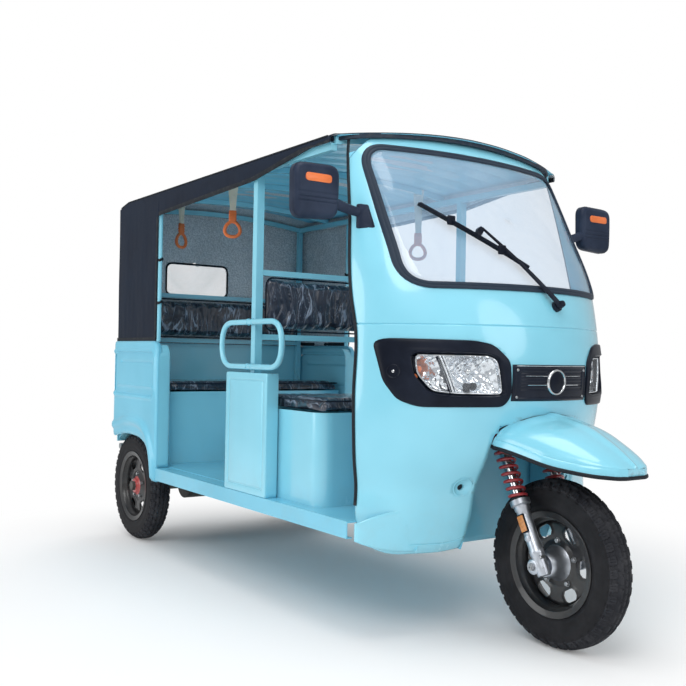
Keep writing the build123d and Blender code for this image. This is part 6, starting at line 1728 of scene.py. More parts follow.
@dataclass
class Fork:
    """Sprung fork: silver sliders, chrome rods, red coil springs, clamps, reflectors and the axle's nuts."""

    lean: float = 27.0
    axle_z: float = 0.270
    leg_y: float = 0.098
    leg_out: float = 0.017
    slider_end: float = 0.205
    coil_low: float = 0.217
    coil_high: float = 0.403
    coil_radius: float = 0.0272
    wire: float = 0.0052
    coils: float = 7.5

    def at(self, along: Array | float, y: Array | float, out: Array | float) -> Array:
        """Point given along the fork's axis, across it and ahead of it."""
        lean = radians(self.lean)
        along, y, out = np.broadcast_arrays(along, y, out)
        x = FRONT_AXLE_X - sin(lean) * along + cos(lean) * out
        return np.stack([x, y, self.axle_z + cos(lean) * along + sin(lean) * out], -1)

    def up(self) -> Array:
        """Direction of the fork's axis."""
        return self.at(1.0, 0.0, 0.0) - self.at(0.0, 0.0, 0.0)

    def make_leg(self, name: str, side: int) -> Object:
        """One leg: turned slider and rod, axle lug with its pinch bolt, reflector and hose clip."""
        skin = Skin()
        foot = self.at(0.0, side * self.leg_y, self.leg_out)
        slider = [
            (-0.036, 0.010), (-0.035, 0.0205), (-0.030, 0.0220), (0.0, 0.0222), (0.030, 0.0220), (0.034, 0.0235), (0.046, 0.0235),
            (0.050, 0.0218), (0.120, 0.0215), (0.160, 0.0218), (0.176, 0.0222), (0.180, 0.0255), (0.192, 0.0260), (0.195, 0.0300),
            (0.197, 0.0328), (0.2135, 0.0330), (0.2145, 0.0300), (0.2147, 0.0180),
        ]
        skin.solid(lathe(slider, foot, self.up(), 48))
        rod = [(0.2148, 0.0168), (0.404, 0.0168)]
        skin.solid(lathe(rod, foot, self.up(), 32), slot=1)
        seal = [(0.2149, 0.0250), (0.222, 0.0245), (0.226, 0.0190), (0.2262, 0.0169)]
        skin.solid(lathe(seal, foot, self.up(), 32), slot=3)
        top = [(0.4045, 0.0200), (0.405, 0.0328), (0.4165, 0.0330), (0.4175, 0.0290), (0.4300, 0.0235), (0.4478, 0.0230)]
        skin.solid(lathe(top, foot, self.up(), 40), slot=4)
        axle = self.at(0.0, side * self.leg_y, 0.0)
        lug = [(-0.0232, 0.012), (-0.023, 0.0215), (-0.021, 0.0238), (0.021, 0.0238), (0.023, 0.0215), (0.0232, 0.012)]
        skin.solid(lathe(lug, axle, (0, side, 0), 36))
        nut = [(0.0233, 0.0132), (0.0250, 0.0134), (0.0252, 0.0116), (0.0325, 0.0114), (0.0332, 0.0085), (0.0352, 0.0072), (0.0360, 0.003)]
        skin.solid(lathe(nut, axle, (0, side, 0), 6), slot=2)
        for along, out in ((0.020, 0.036), (-0.012, 0.030)):
            bolt = self.at(along, side * (self.leg_y + 0.004), out)
            skin.solid(lathe([(-0.010, 0.0062), (0.010, 0.0062), (0.0115, 0.0045)], bolt, (0, side, 0), 6), slot=2)
        boss = self.at(0.088, side * (self.leg_y + 0.019), self.leg_out)
        skin.solid(lathe([(-0.004, 0.0125), (0.003, 0.0120), (0.0055, 0.0090), (0.006, 0.003)], boss, (0, side, 0), 24))
        plate = np.array([(-0.030, -0.015), (0.030, -0.015), (0.030, 0.015), (-0.030, 0.015)])
        plate = bent_path(plate, 0.004, True, 5)
        frame_at = lambda flat, h: self.at(0.135 + flat[:, 0], side * (self.leg_y + 0.0205 + h), self.leg_out + 0.004 + flat[:, 1])
        skin.solid(prism_grid(plate, frame_at, 0.006, 0.0012), slot=3)
        lens_at = lambda flat, h: self.at(0.135 + flat[:, 0], side * (self.leg_y + 0.0262 + h), self.leg_out + 0.004 + flat[:, 1])
        skin.solid(prism_grid(plate * 0.86, lens_at, 0.0022, 0.0008), slot=5)
        finishes = [CAST_ALLOY.make(), CHROME.make(), STEEL.make(), EDGE_RUBBER.make(), RED_PAINT.make(), AMBER_LENS.make()]
        return skin.build(f"fork_leg_{name}", finishes, 40)

    def make_spring(self, name: str, side: int) -> Object:
        """Coil spring: a round wire swept along a helix, point = axis + radius * (cos turn, sin turn)."""
        count = int(self.coils * 40)
        t = np.linspace(0, 1, count)
        turn = t * self.coils * 2 * pi
        flatten = np.clip(np.minimum(t, 1 - t) / 0.07, 0, 1)
        rise = np.cumsum(0.25 + 0.75 * flatten)
        rise = (rise - rise[0]) / (rise[-1] - rise[0])
        along = self.coil_low + self.wire + (self.coil_high - self.coil_low - 2 * self.wire) * rise
        y = side * self.leg_y + self.coil_radius * np.cos(turn)
        path = self.at(along, y, self.leg_out + self.coil_radius * np.sin(turn))
        skin = Skin().solid(sweep(path, circle(self.wire, 12), self.up()))
        return skin.build(f"fork_spring_{name}", [SPRING_PAINT.make()], 60)

    def build(self) -> None:
        """Makes the fork's legs and springs and lets them ride on the steering."""
        for name, side in SIDES:
            settle(self.make_leg(name, side), Body.STEERING, "fork_legs", "fork_legs")
        for name, side in SIDES:
            settle(self.make_spring(name, side), Body.STEERING, "fork_springs", "fork_springs")


def dress(finish: Finish, *nodes: str) -> None:
    """Gives CAD nodes that stay as they are a finish in place of their plain colour."""
    for node in nodes:
        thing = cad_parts[node]
        for slot in thing.material_slots:
            slot.material = finish.make()
        log.info("node %s keeps its form in %s", node, finish.name)


def pressed_plate(
    outline: Array, place: Callable[[Array, Array], Array], depth: float, edge: float, rings: Sequence[tuple[float, float]]
) -> Array:
    """Plate with a rounded rim and pressed rings on its face, as closed rings of points.

    Args:
        outline: Closed flat outline, made smaller towards its middle on each axis.
        place: Turns flat points and a height into points in space.
        depth: Height of the face over the back.
        edge: Radius of the rim at the face.
        rings: Pairs of inset from the outline and height added to the face.

    Returns:
        Rings of points from the back, over the rim, to the middle of the face.
    """
    middle = (outline.max(0) + outline.min(0)) / 2
    half = (outline.max(0) - outline.min(0)) / 2
    turn = np.linspace(0, pi / 2, 6)
    insets = [0.0, *(edge * (1 - np.cos(turn))), *(inset for inset, _ in rings)]
    heights = [0.0, *(depth - edge + edge * np.sin(turn)), *(depth + rise for _, rise in rings)]
    shapes = [middle + (outline - middle) * (half - inset) / half for inset in insets]
    return np.stack([place(shape, height) for shape, height in zip(shapes, heights)])


@dataclass
class SidePanels:
    """Pressed panels beside the rear seat: raised frame with two beads, flared wheel arch and rolled front."""

    outline: tuple[tuple[float, float, float], ...] = (
        (1.931, 0.328, 0.0), (1.931, 0.975, 0.062), (2.464, 0.975, 0.012), (2.464, 0.500, 0.012), (2.300, 0.528, 0.06),
        (2.130, 0.520, 0.05), (2.040, 0.488, 0.05), (1.996, 0.380, 0.05), (1.978, 0.328, 0.0),
    )
    face: float = 0.5645
    frame: tuple[tuple[float, float], ...] = ((2.448, 0.712), (1.905, 0.712), (1.905, 0.930), (2.448, 0.930))

    def rounded(self, count: int = 420) -> Array:
        """Outline of the panel seen from the side, each corner with its own rounding."""
        pts = [np.array(p[:2]) for p in self.outline]
        radii = [p[2] for p in self.outline]
        path = []
        for k, (point, radius) in enumerate(zip(pts, radii)):
            if radius == 0:
                path.append(point[None])
                continue
            before, after = pts[k - 1], pts[(k + 1) % len(pts)]
            t = np.linspace(0, 1, 9)[:, None]
            reach = min(radius, np.linalg.norm(before - point) * 0.49, np.linalg.norm(after - point) * 0.49)
            a, b = point + unit(before - point) * reach, point + unit(after - point) * reach
            path.append((1 - t) ** 2 * a + 2 * t * (1 - t) * point + t**2 * b)
        return resample(np.vstack(path), count, True)

    def press(self, flat: Array, edge: Array) -> Array:
        """Height pressed out of the panel at places seen from the side.

        Args:
            flat: Stations and heights.
            edge: Distance in from the outline.

        Returns:
            Heights outwards.
        """
        st, z = flat[:, 0], flat[:, 1]
        frame = slot_distance((2.215, 0.821), (0.262, 0.109), 0.045)(flat)
        raised = -0.0075 * np.clip((-frame) / 0.007, 0, 1)
        rim = 0.0060 * np.exp(-(((frame - 0.004) / 0.006) ** 2))
        beads = 0.0
        for line_z, start, end, rise in ((0.877, 1.992, 2.395, -0.0055), (0.760, 1.980, 2.43, 0.0065)):
            inside = np.clip((st - start) / 0.012, 0, 1) * np.clip((end - st) / 0.012, 0, 1)
            beads = beads + rise * np.exp(-(((z - line_z) / 0.0060) ** 2)) * inside
        arch = np.array([(2.60, 0.545), (2.40, 0.560), (2.288, 0.592), (2.15, 0.592), (2.05, 0.565), (1.985, 0.49), (1.955, 0.40), (1.94, 0.30)])
        arch = resample(bent_path(arch, 0.08), 120)
        gap = np.linalg.norm(flat[:, None] - arch[None], axis=-1).min(1)
        flare = 0.0135 * np.exp(-((gap / 0.018) ** 2)) + 0.0035 * np.exp(-(((gap - 0.012) / 0.008) ** 2))
        waist = 0.0020 * np.exp(-(((z - 0.650) / 0.05) ** 2))
        roll = -0.006 * np.clip(1 - edge / 0.012, 0, 1) ** 2
        return raised + rim + beads + flare * np.clip(edge / 0.02, 0, 1) + waist * np.clip(edge / 0.05, 0, 1) + roll

    def make(self, name: str, side: int) -> Object:
        """Panel: a fine grid cut to the outline, pressed, with flanges turned in and a rolled front pillar."""
        outline = self.rounded()
        step = 0.0068
        st, z = np.meshgrid(np.arange(1.928, 2.468, step), np.arange(0.325, 0.979, step), indexing="ij")
        flat = np.stack([st, z], -1).reshape(-1, 2)
        faces = grid_faces(*st.shape)
        distance = outline_distance(resample(outline, 160, True))
        flat, faces = cut_opening(flat, flat, faces, lambda p: -distance(p), step)
        flat_edge = -distance(flat)
        rise = self.press(flat, flat_edge)
        points = np.stack([behind(flat[:, 0]), side * (self.face + rise), flat[:, 1]], -1)
        skin = Skin().add(points, [faces], flip=side < 0)
        normal = outline_normals(outline)
        reach = np.array([-0.002, 0.0, 0.0012, 0.0004, -0.0015, -0.0015])
        depth = np.array([0.0040, 0.0055, 0.0085, 0.0130, 0.0200, 0.0260])
        band = outline[None] + normal[None] * reach[:, None, None]
        ring = np.stack([behind(band[..., 0]), side * (self.face - depth)[:, None] * np.ones(len(outline)), band[..., 1]], -1)
        skin.sheet(ring, wrap=True, flip=side > 0)
        turn = np.linspace(0, pi / 2, 7)
        x = np.concatenate([behind(1.9335) + 0.006 * np.sin(turn), [behind(1.9270), behind(1.9262), behind(1.9266), behind(1.9300)]])
        y = np.concatenate([self.face - 0.0045 - 0.012 * (1 - np.cos(turn)), [0.534, 0.515, 0.503, 0.4975]])
        heights = np.concatenate([np.linspace(0.392, 0.90, 30), 0.90 + 0.062 * np.sin(np.linspace(0, pi / 2, 10)[1:])])
        back = np.concatenate([np.zeros(30), 0.050 * (1 - np.cos(np.linspace(0, pi / 2, 10)[1:]))])
        pillar = np.stack([x[None] - back[:, None], side * y[None] * np.ones((39, 1)), heights[:, None] * np.ones_like(x)[None]], -1)
        skin.sheet(pillar, flip=side > 0)
        piece = skin.build(f"side_skin_{name}", [BODY_PAINT.make(), INNER_PAINT.make()], 32)
        return thicken(piece, 0.0022, inside=1)

    def build(self) -> None:
        """Makes both panels and lets them ride on the body."""
        for name, side in SIDES:
            settle(self.make(name, side), Body.MAIN, f"side_panel_{name}", f"side_panel_{name}")


@dataclass
class SillFairings:
    """Short pressed corners that carry each sill on to the tucked lower edge of the front shell."""

    start: float = 0.808
    length: float = 0.075
    sill_y: float = 0.5652
    sill_z: tuple[float, float] = (0.334, 0.3925)
    shell_z: tuple[float, float] = (0.292, 0.430)

    def make(self, name: str, side: int) -> Object:
        """Corner: y = sill (1 - s) + shell s with a smooth share s along it, and its height opened the same way."""
        t = np.linspace(0, 1, 24)[:, None]
        u = np.linspace(0, 1, 14)[None]
        smooth = np.clip(t / 0.85, 0, 1)
        share = smooth * smooth * (3 - 2 * smooth)
        low = self.sill_z[0] * (1 - share) + self.shell_z[0] * share
        high = self.sill_z[1] * (1 - share) + self.shell_z[1] * share
        z = low + (high - low) * u
        x = self.start + self.length * t * np.ones_like(u)
        _, corner_x, corner_y, _, small, _, _ = NOSE.arcs(z)
        shell = corner_y + np.sqrt(np.maximum(small**2 - (x - corner_x) ** 2, 0)) + 0.0008 - 0.006 * t**2
        y = self.sill_y * (1 - share) + shell * share
        grid = np.stack([x, side * y, z], -1)
        piece = Skin().sheet(grid, flip=side > 0).build(f"sill_corner_{name}", [SHEET_PAINT.make()], 40)
        return thicken(piece, 0.002)

    def build(self) -> None:
        """Makes both corners and lets them ride on the body."""
        for name, side in SIDES:
            settle(self.make(name, side), Body.MAIN, "front_shell")


@dataclass
class Partitions:
    """Box partitions behind the driver with pressed frames, and the tube hoops that stand on them."""

    front: float = 0.920
    rear: float = 1.244
    inner: float = 0.5107
    low: float = 0.390
    high: float = 0.854
    hoop_low: float = 0.8653
    hoop_high: float = 1.049
    tube: float = 0.011

    def make_box(self, name: str, side: int) -> Object:
        """Partition: pressed plates on its outer and inner side over a common core."""
        corners = [(self.front, self.low), (self.rear, self.low), (self.rear, self.high), (self.front, self.high)]
        outline = resample(bent_path(corners, 0.006, True, 5), 240, True)
        rings = [(0.022, 0.0), (0.026, -0.0008), (0.0285, -0.0030), (0.031, -0.0030), (0.034, -0.0008), (0.040, 0.0), (0.09, 0.0006), (0.15, 0.0008)]
        skin = Skin()
        middle = (self.inner + BODY_HALF) / 2
        for way, level in ((side, BODY_HALF - middle), (-side, middle - self.inner)):
            place = lambda flat, h, way=way: np.stack(
                [behind(flat[:, 0]), np.full(len(flat), side * middle + way * h), flat[:, 1]], -1
            )
            skin.solid(pressed_plate(outline, place, level, 0.005, rings))
        return skin.build(f"door_post_{name}", [BODY_PAINT.make()], 30)

    def make_hoops(self) -> Object:
        """Hoops: a round tube on a rounded rectangle, with weld beads where it meets the post and the box."""
        skin = Skin()
        for _, side in SIDES:
            y = side * (BODY_HALF - self.tube - 0.0002)
            low, high = self.hoop_low + self.tube, self.hoop_high
            front, rear = 0.836, 1.304
            corners = [(behind(rear), y, low), (behind(front), y, low), (behind(front), y, high), (behind(rear), y, high)]
            loop = resample(bent_path(corners, 0.085, True, 14), 200, True)
            skin.solid(sweep(loop, circle(self.tube, 18), (0, 1, 0), True), ring=True)
            for z in (low, high):
                for st in (1.070 - 0.017, 1.070 + 0.017):
                    turn = np.linspace(0, 2 * pi, 24, endpoint=False)
                    bead = np.stack([np.full(24, behind(st)), y + 0.0115 * np.cos(turn), z + 0.0115 * np.sin(turn)], -1)
                    skin.solid(sweep(bead, circle(0.0022, 6), (1, 0, 0), True), ring=True)
        return skin.build("hoop_tubes", [BODY_PAINT.make()], 60)

    def build(self) -> None:
        """Makes the partitions and hoops and lets them ride on the body."""
        for name, side in SIDES:
            settle(self.make_box(name, side), Body.MAIN, f"partition_{name}", f"partition_{name}")
        settle(self.make_hoops(), Body.MAIN, "grab_hoops", "grab_hoops")


@dataclass
class RoofLining:
    """Sheet roof with rounded ribs across the cab, under the canopy."""

    half: float = 0.5275
    front: float = 0.434
    rear: float = 2.336
    rib: float = 0.0045
    pitch: float = 0.106

    def make(self) -> Object:
        """Lining: the roof arc 8 mm down with ribs across it: rise = rib * max(cos(2 pi x / pitch), 0)^2."""
        y = np.linspace(-self.half, self.half, 41)
        share = np.linspace(0, 1, 201)[:, None]
        begin = behind(self.front) - 0.09 * (y / self.half) ** 2
        x = begin[None] + (behind(self.rear) - begin[None]) * share
        ends = np.clip(np.minimum(share, 1 - share) * 20, 0, 1) * np.clip((1 - np.abs(y / self.half)) * 12, 0, 1)
        rise = self.rib * np.maximum(np.cos(2 * pi * x / self.pitch), 0) ** 2 * ends
        z = roof_z(y, 0.0075)[None] - rise
        grid = np.stack([x, y[None] * np.ones_like(share), z], -1)
        return thicken(Skin().sheet(grid).build("roof_sheet", [INNER_PAINT.make()], 50), 0.0012)

    def build(self) -> None:
        """Makes the lining and lets it ride on the body."""
        settle(self.make(), Body.MAIN, "roof_lining", "roof_lining")


@dataclass
class TailLamps:
    """Upright lamps on the rear panel: a grey housing with red, amber and clear prism fields."""

    st: float = 2.464
    y: float = 0.465
    low: float = 0.685
    high: float = 0.835
    half: float = 0.045
    deep: float = 0.024

    def make(self) -> Object:
        """Housings and lens fields as flat outlines carried backwards with rounded rims."""
        skin = Skin()
        for _, side in SIDES:
            middle = np.array([behind(self.st + 0.0003), side * self.y, 0.0])
            place = lambda flat, h: middle + np.stack([np.full(len(flat), -h), flat[:, 0], flat[:, 1]], -1)
            box = [(-self.half, self.low), (self.half, self.low), (self.half, self.high), (-self.half, self.high)]
            skin.solid(prism_grid(resample(bent_path(box, 0.010, True, 6), 80, True), place, self.deep - 0.008, 0.003))
            edges = np.linspace(self.low + 0.006, self.high - 0.006, 4)
            for k, slot in enumerate((1, 1, 2)):
                field_box = [(-self.half + 0.006, edges[k] + 0.001), (self.half - 0.006, edges[k] + 0.001), (self.half - 0.006, edges[k + 1] - 0.001), (-self.half + 0.006, edges[k + 1] - 0.001)]
                skin.solid(prism_grid(resample(bent_path(field_box, 0.006, True, 6), 80, True), place, self.deep - 0.0005, 0.004), slot=slot)
        return skin.build("tail_lamp_pair", [GREY_PLASTIC.make(), RED_LENS.make(), AMBER_LENS.make()])

    def build(self) -> None:
        """Makes the lamps and lets them ride on the body."""
        settle(self.make(), Body.MAIN, "tail_lamps", "tail_lamps")


def dress_plain_nodes() -> None:
    """Finishes for the CAD nodes that keep their own form."""
    dress(CHASSIS_PAINT, "chassis_frame", "rear_axle", "leaf_springs")
    dress(INNER_PAINT, "floor_pan")
    dress(SHEET_PAINT, "roof_frame", "rear_panel", "front_seat_box", "rear_seat_box")
    dress(DASH_PLASTIC, "dash_panel")
    dress(STEM_PAINT, "brake_pedal", "fork_stem", "handlebar")
    dress(BATTERY_CASE, "battery_pack")
    dress(GREY_PAINT, "rear_bumper")
    dress(STEEL, "front_axle")


@dataclass
class Canopy:
    """Fabric roof: one continuous sheet over the top, both sides and the rear, with hems, piping and ties."""

    half: float = 0.5560
    rear: float = 2.472
    front: float = 0.436
    corner: float = 0.026
    curtain: float = 1.975
    curtain_low: float = 0.979
    chamfer: float = 0.130
    chamfer_drop: float = 0.024
    cloth: float = 0.0028
    bows: tuple[float, ...] = (0.56, 1.20, 1.62, 2.16, 2.342)
    lower_edge: tuple[tuple[float, float], ...] = ((1.975, 1.5655), (1.078, 1.5945), (0.545, 1.6685), (0.30, 1.6685))
    window: tuple[float, float, float, float] = (-0.290, 0.070, 1.230, 1.400)

    def section(self, st: Array, share: Array) -> Array:
        """Points across the roof at each station.

        Share runs from 0 on the centre line to 1 where the roof arc meets the corner, then round the corner to
        2 and down the side to its lower edge at 3.

        Args:
            st: Stations behind the front axle.
            share: Places across, with the sign of the side.

        Returns:
            Grid of points, stations by places.
        """
        a, sign = np.abs(share)[None], np.sign(share)[None]
        fall = self.chamfer_drop * np.clip((st - (self.rear - self.chamfer)) / self.chamfer, 0, 1)[:, None]
        meet = self.half - self.corner
        y_top = meet * np.clip(a, 0, 1)
        top = roof_z(y_top, self.cloth / 2) - fall
        edge_z = roof_z(meet, self.cloth / 2) - fall
        turn = np.clip(a - 1, 0, 1) * (pi / 2 + 0.12) - 0.12
        radius = self.corner
        y_round = meet + radius * np.sin(turn) + radius * sin(0.12)
        z_round = edge_z - radius * (1 - np.cos(turn)) + radius * (1 - cos(0.12))
        low = np.interp(st, [p[0] for p in self.lower_edge][::-1], [p[1] for p in self.lower_edge][::-1])
        drop = np.clip((st - 1.972) / 0.006, 0, 1)
        low = (low * (1 - drop) + self.curtain_low * drop)[:, None]
        low = np.minimum(low, edge_z - radius - 0.003)
        side_z = z_round + (low - (edge_z - radius + radius * (1 - cos(0.12)))) * np.clip(a - 2, 0, 1)
        y = np.where(a <= 1, y_top, np.minimum(y_round, self.half - 0.0002))
        z = np.where(a <= 1, top, np.where(a <= 2, z_round, side_z))
        return np.stack(np.broadcast_arrays(behind(st)[:, None], y * sign, z), -1)

    def slack(self, grid: Array, share: Array, st: Array) -> Array:
        """Pulls the cloth down between the bows and adds soft folds, more of them low on the sides."""
        gap = np.interp(st, self.bows, np.arange(len(self.bows)))
        sag = 0.0045 * np.sin(pi * (gap % 1)) ** 2 * (st > self.bows[0]) * (st < self.bows[-1])
        a = np.abs(share)
        flat = np.clip(1.15 - a, 0, 1)
        out = grid.copy()
        out[..., 2] -= sag[:, None] * flat[None] * (1 - 0.4 * a[None] ** 4)
        out[..., 2] -= 0.0008 * (1 + noise(grid * [1.0, 2.2, 1.0], 0.35, 3)) * (a[None] < 1)
        side = np.clip(a - 1.6, 0, 1.4)[None] / 1.4
        fold = noise(grid * [2.2, 1.0, 0.5], 0.42, 5) + 0.6 * noise(grid * [3.2, 1.0, 0.6], 0.21, 6)
        out[..., 1] -= np.sign(share)[None] * (0.0016 * side * (1 + fold) + 0.0012 * side)
        return out

    def make_cover(self) -> Object:
        """Cover: rows over the roof, turned down round the rear edge, with the back curtain joined to both sides."""
        st = np.concatenate([np.linspace(self.front, 1.972, 96)[:-1], [1.972, 1.9745, 1.9765, 1.980], np.linspace(1.99, 2.452, 42)])
        round_part = np.linspace(1, 2, 8)[1:-1]
        down = np.linspace(2, 3, 40)
        share = np.concatenate([-down[::-1], -round_part[::-1], np.linspace(-1, 1, 71), round_part, down])
        grid = self.section(st, share)
        begin = np.clip((st - self.front) / 0.5, 0, 1)[:, None]
        grid[..., 0] -= 0.1068 * (grid[..., 1] / self.half) ** 2 * (1 - begin)
        grid = self.slack(grid, share, st)
        last = grid[-1]
        turn = np.linspace(0, pi / 2, 7)[1:, None, None]
        inner = np.stack([0 * share, -np.sign(share) * np.clip(np.abs(share) - 1, 0, 1), -np.clip(2 - np.abs(share), 0, 1)], -1)
        radius = 0.018
        edge = last + np.array([-1.0, 0, 0]) * radius * np.sin(turn) + unit(inner) * radius * (1 - np.cos(turn))
        edge[-1, :, 0] = behind(self.rear - 0.0018)
        on_top = np.abs(share) <= 2.0001
        rim, left, right = edge[-1, on_top], edge[-1, share >= 1.9999], edge[-1, share <= -1.9999][::-1]
        fraction = (left[:, 2] - left[0, 2]) / (self.curtain_low - left[0, 2])
        back = rim[None] * np.ones((len(left), 1, 1))
        spread = [(column[:, 1] / column[0, 1])[:, None] for column in (left, right)]
        back[..., 1] *= np.where(rim[None, :, 1] > 0, *spread)
        back[..., 2] += (self.curtain_low - rim[:, 2])[None] * fraction[:, None]
        low = back[-1:].repeat(2, 0)
        low[..., 2] = np.array([0.968, 0.958])[:, None]
        back = np.concatenate([back, low])
        y0, y1, z0, z1 = self.window
        window = slot_distance(((y0 + y1) / 2, (z0 + z1) / 2), ((y1 - y0) / 2, (z1 - z0) / 2), 0.030)
        flat, back_faces = cut_opening(back[..., 1:].reshape(-1, 2), back[..., 1:].reshape(-1, 2), grid_faces(*back.shape[:2]), window, 0.015)
        back[..., 1:] = flat.reshape(*back.shape[:2], 2)
        over = np.concatenate([grid, edge])
        for part in (over, back):
            low_part = np.clip((1.5 - part[..., 2]) / 0.4, 0, 1) * (part[..., 0] < behind(self.rear - 0.006))
            part[..., 0] += 0.002 * (1 + noise(part * [1.0, 2.4, 0.7], 0.30, 8)) * low_part
        points = np.vstack([over.reshape(-1, 3), back.reshape(-1, 3)])
        faces = np.vstack([grid_faces(*over.shape[:2]), back_faces + over.shape[0] * over.shape[1]])
        points, faces = weld(points, faces)
        skin = Skin().add(points, [faces])
        piece = skin.build("canopy_fabric", [CANOPY_CLOTH.make(), CANOPY_BACK.make()], 60)
        return thicken(piece, self.cloth, inside=1, rim=0)

    def edge_path(self, side: int) -> Array:
        """Points along the lower edge of one side, from the front to the rear."""
        st = np.concatenate([np.linspace(0.545, 1.968, 60), np.linspace(1.9785, 2.46, 24)])
        edge = self.section(st, np.array([3.0 * side]))[:, 0]
        edge[:, 1] -= side * 0.0035
        return edge

    def make_trim(self) -> Object:
        """Hems along the lower edges, piping over all corners, window binding and ties round the rear tubes."""
        skin = Skin()
        hem = np.array([(-0.0026, -0.001), (0.0026, -0.001), (0.0030, 0.006), (0.0026, 0.016), (-0.0026, 0.016), (-0.0030, 0.006)])
        for _, s in SIDES:
            edge = self.edge_path(s)
            skin.solid(sweep(resample(edge[:60], 90), hem, (0, 0, 1)))
            skin.solid(sweep(resample(edge[60:], 40), hem, (0, 0, 1)))
            st = np.linspace(0.56, 2.44, 140)
            seam = self.section(st, np.array([1.55 * s]))[:, 0] + [0, s * 0.0012, 0.0012]
            skin.solid(sweep(seam, circle(0.0032, 8), (0, 0, 1)))
            post = np.stack([np.full(40, behind(1.9765)), np.full(40, s * (self.half - 0.0035)), np.linspace(0.985, 1.560, 40)], -1)
            skin.solid(sweep(post, hem, (-1, 0, 0)))
            rise = np.linspace(0.962, 1.572, 60)
            corner = np.stack([np.full(60, behind(self.rear - 0.0018)), np.full(60, s * 0.5365), rise], -1)
            hang = np.clip((1.5 - rise) / 0.4, 0, 1)
            corner[:, 0] += 0.002 * (1 + noise(corner * [1.0, 2.4, 0.7], 0.30, 8)) * hang
            corner[-4:, 0] += np.linspace(0, 0.007, 4)
            skin.solid(sweep(corner, circle(0.0046, 10), (-1, 0, 0)))
            for z in (1.16, 1.36):
                turn = np.linspace(0, 2 * pi, 20, endpoint=False)
                tube = np.array([behind(1.980), s * 0.538, z])
                loop = tube + np.stack([0.0132 * np.cos(turn), 0.0132 * np.sin(turn), 0.004 * np.sin(turn * 2)], -1)
                skin.solid(sweep(loop, circle(0.0028, 8, 2.2), (0, 0, 1), True), ring=True)
        y0, y1, z0, z1 = self.window
        flat = resample(bent_path([(y0, z0), (y1, z0), (y1, z1), (y0, z1)], 0.035, True, 8), 140, True)
        ring = np.stack([np.full(140, behind(self.rear - 0.0045)), flat[:, 0], flat[:, 1]], -1)
        skin.solid(sweep(ring, circle(0.0056, 10, 0.75), (-1, 0, 0), True), ring=True)
        return skin.build("canopy_trim", [EDGE_RUBBER.make()], 50)

    def make_window(self) -> Object:
        """Clear rear window as a slightly rippled sheet."""
        y0, y1, z0, z1 = self.window
        y, z = np.meshgrid(np.linspace(y0 - 0.002, y1 + 0.002, 44), np.linspace(z0 - 0.002, z1 + 0.002, 24), indexing="ij")
        x = behind(self.rear - 0.0055) + 0.0012 * noise(np.stack([y, z, z * 0], -1) * [1, 1.6, 1], 0.12, 9)
        return thicken(Skin().sheet(np.stack([x, y, z], -1)).build("rear_window_pane", [SOFT_WINDOW.make()]), 0.001)

    def build(self) -> None:
        cover = settle(self.make_cover(), Body.MAIN, "canopy_cover", "canopy_cover")
        trim = settle(self.make_trim(), Body.MAIN, "windscreen_gasket")
        window = settle(self.make_window(), Body.MAIN, "rear_window", "rear_window")


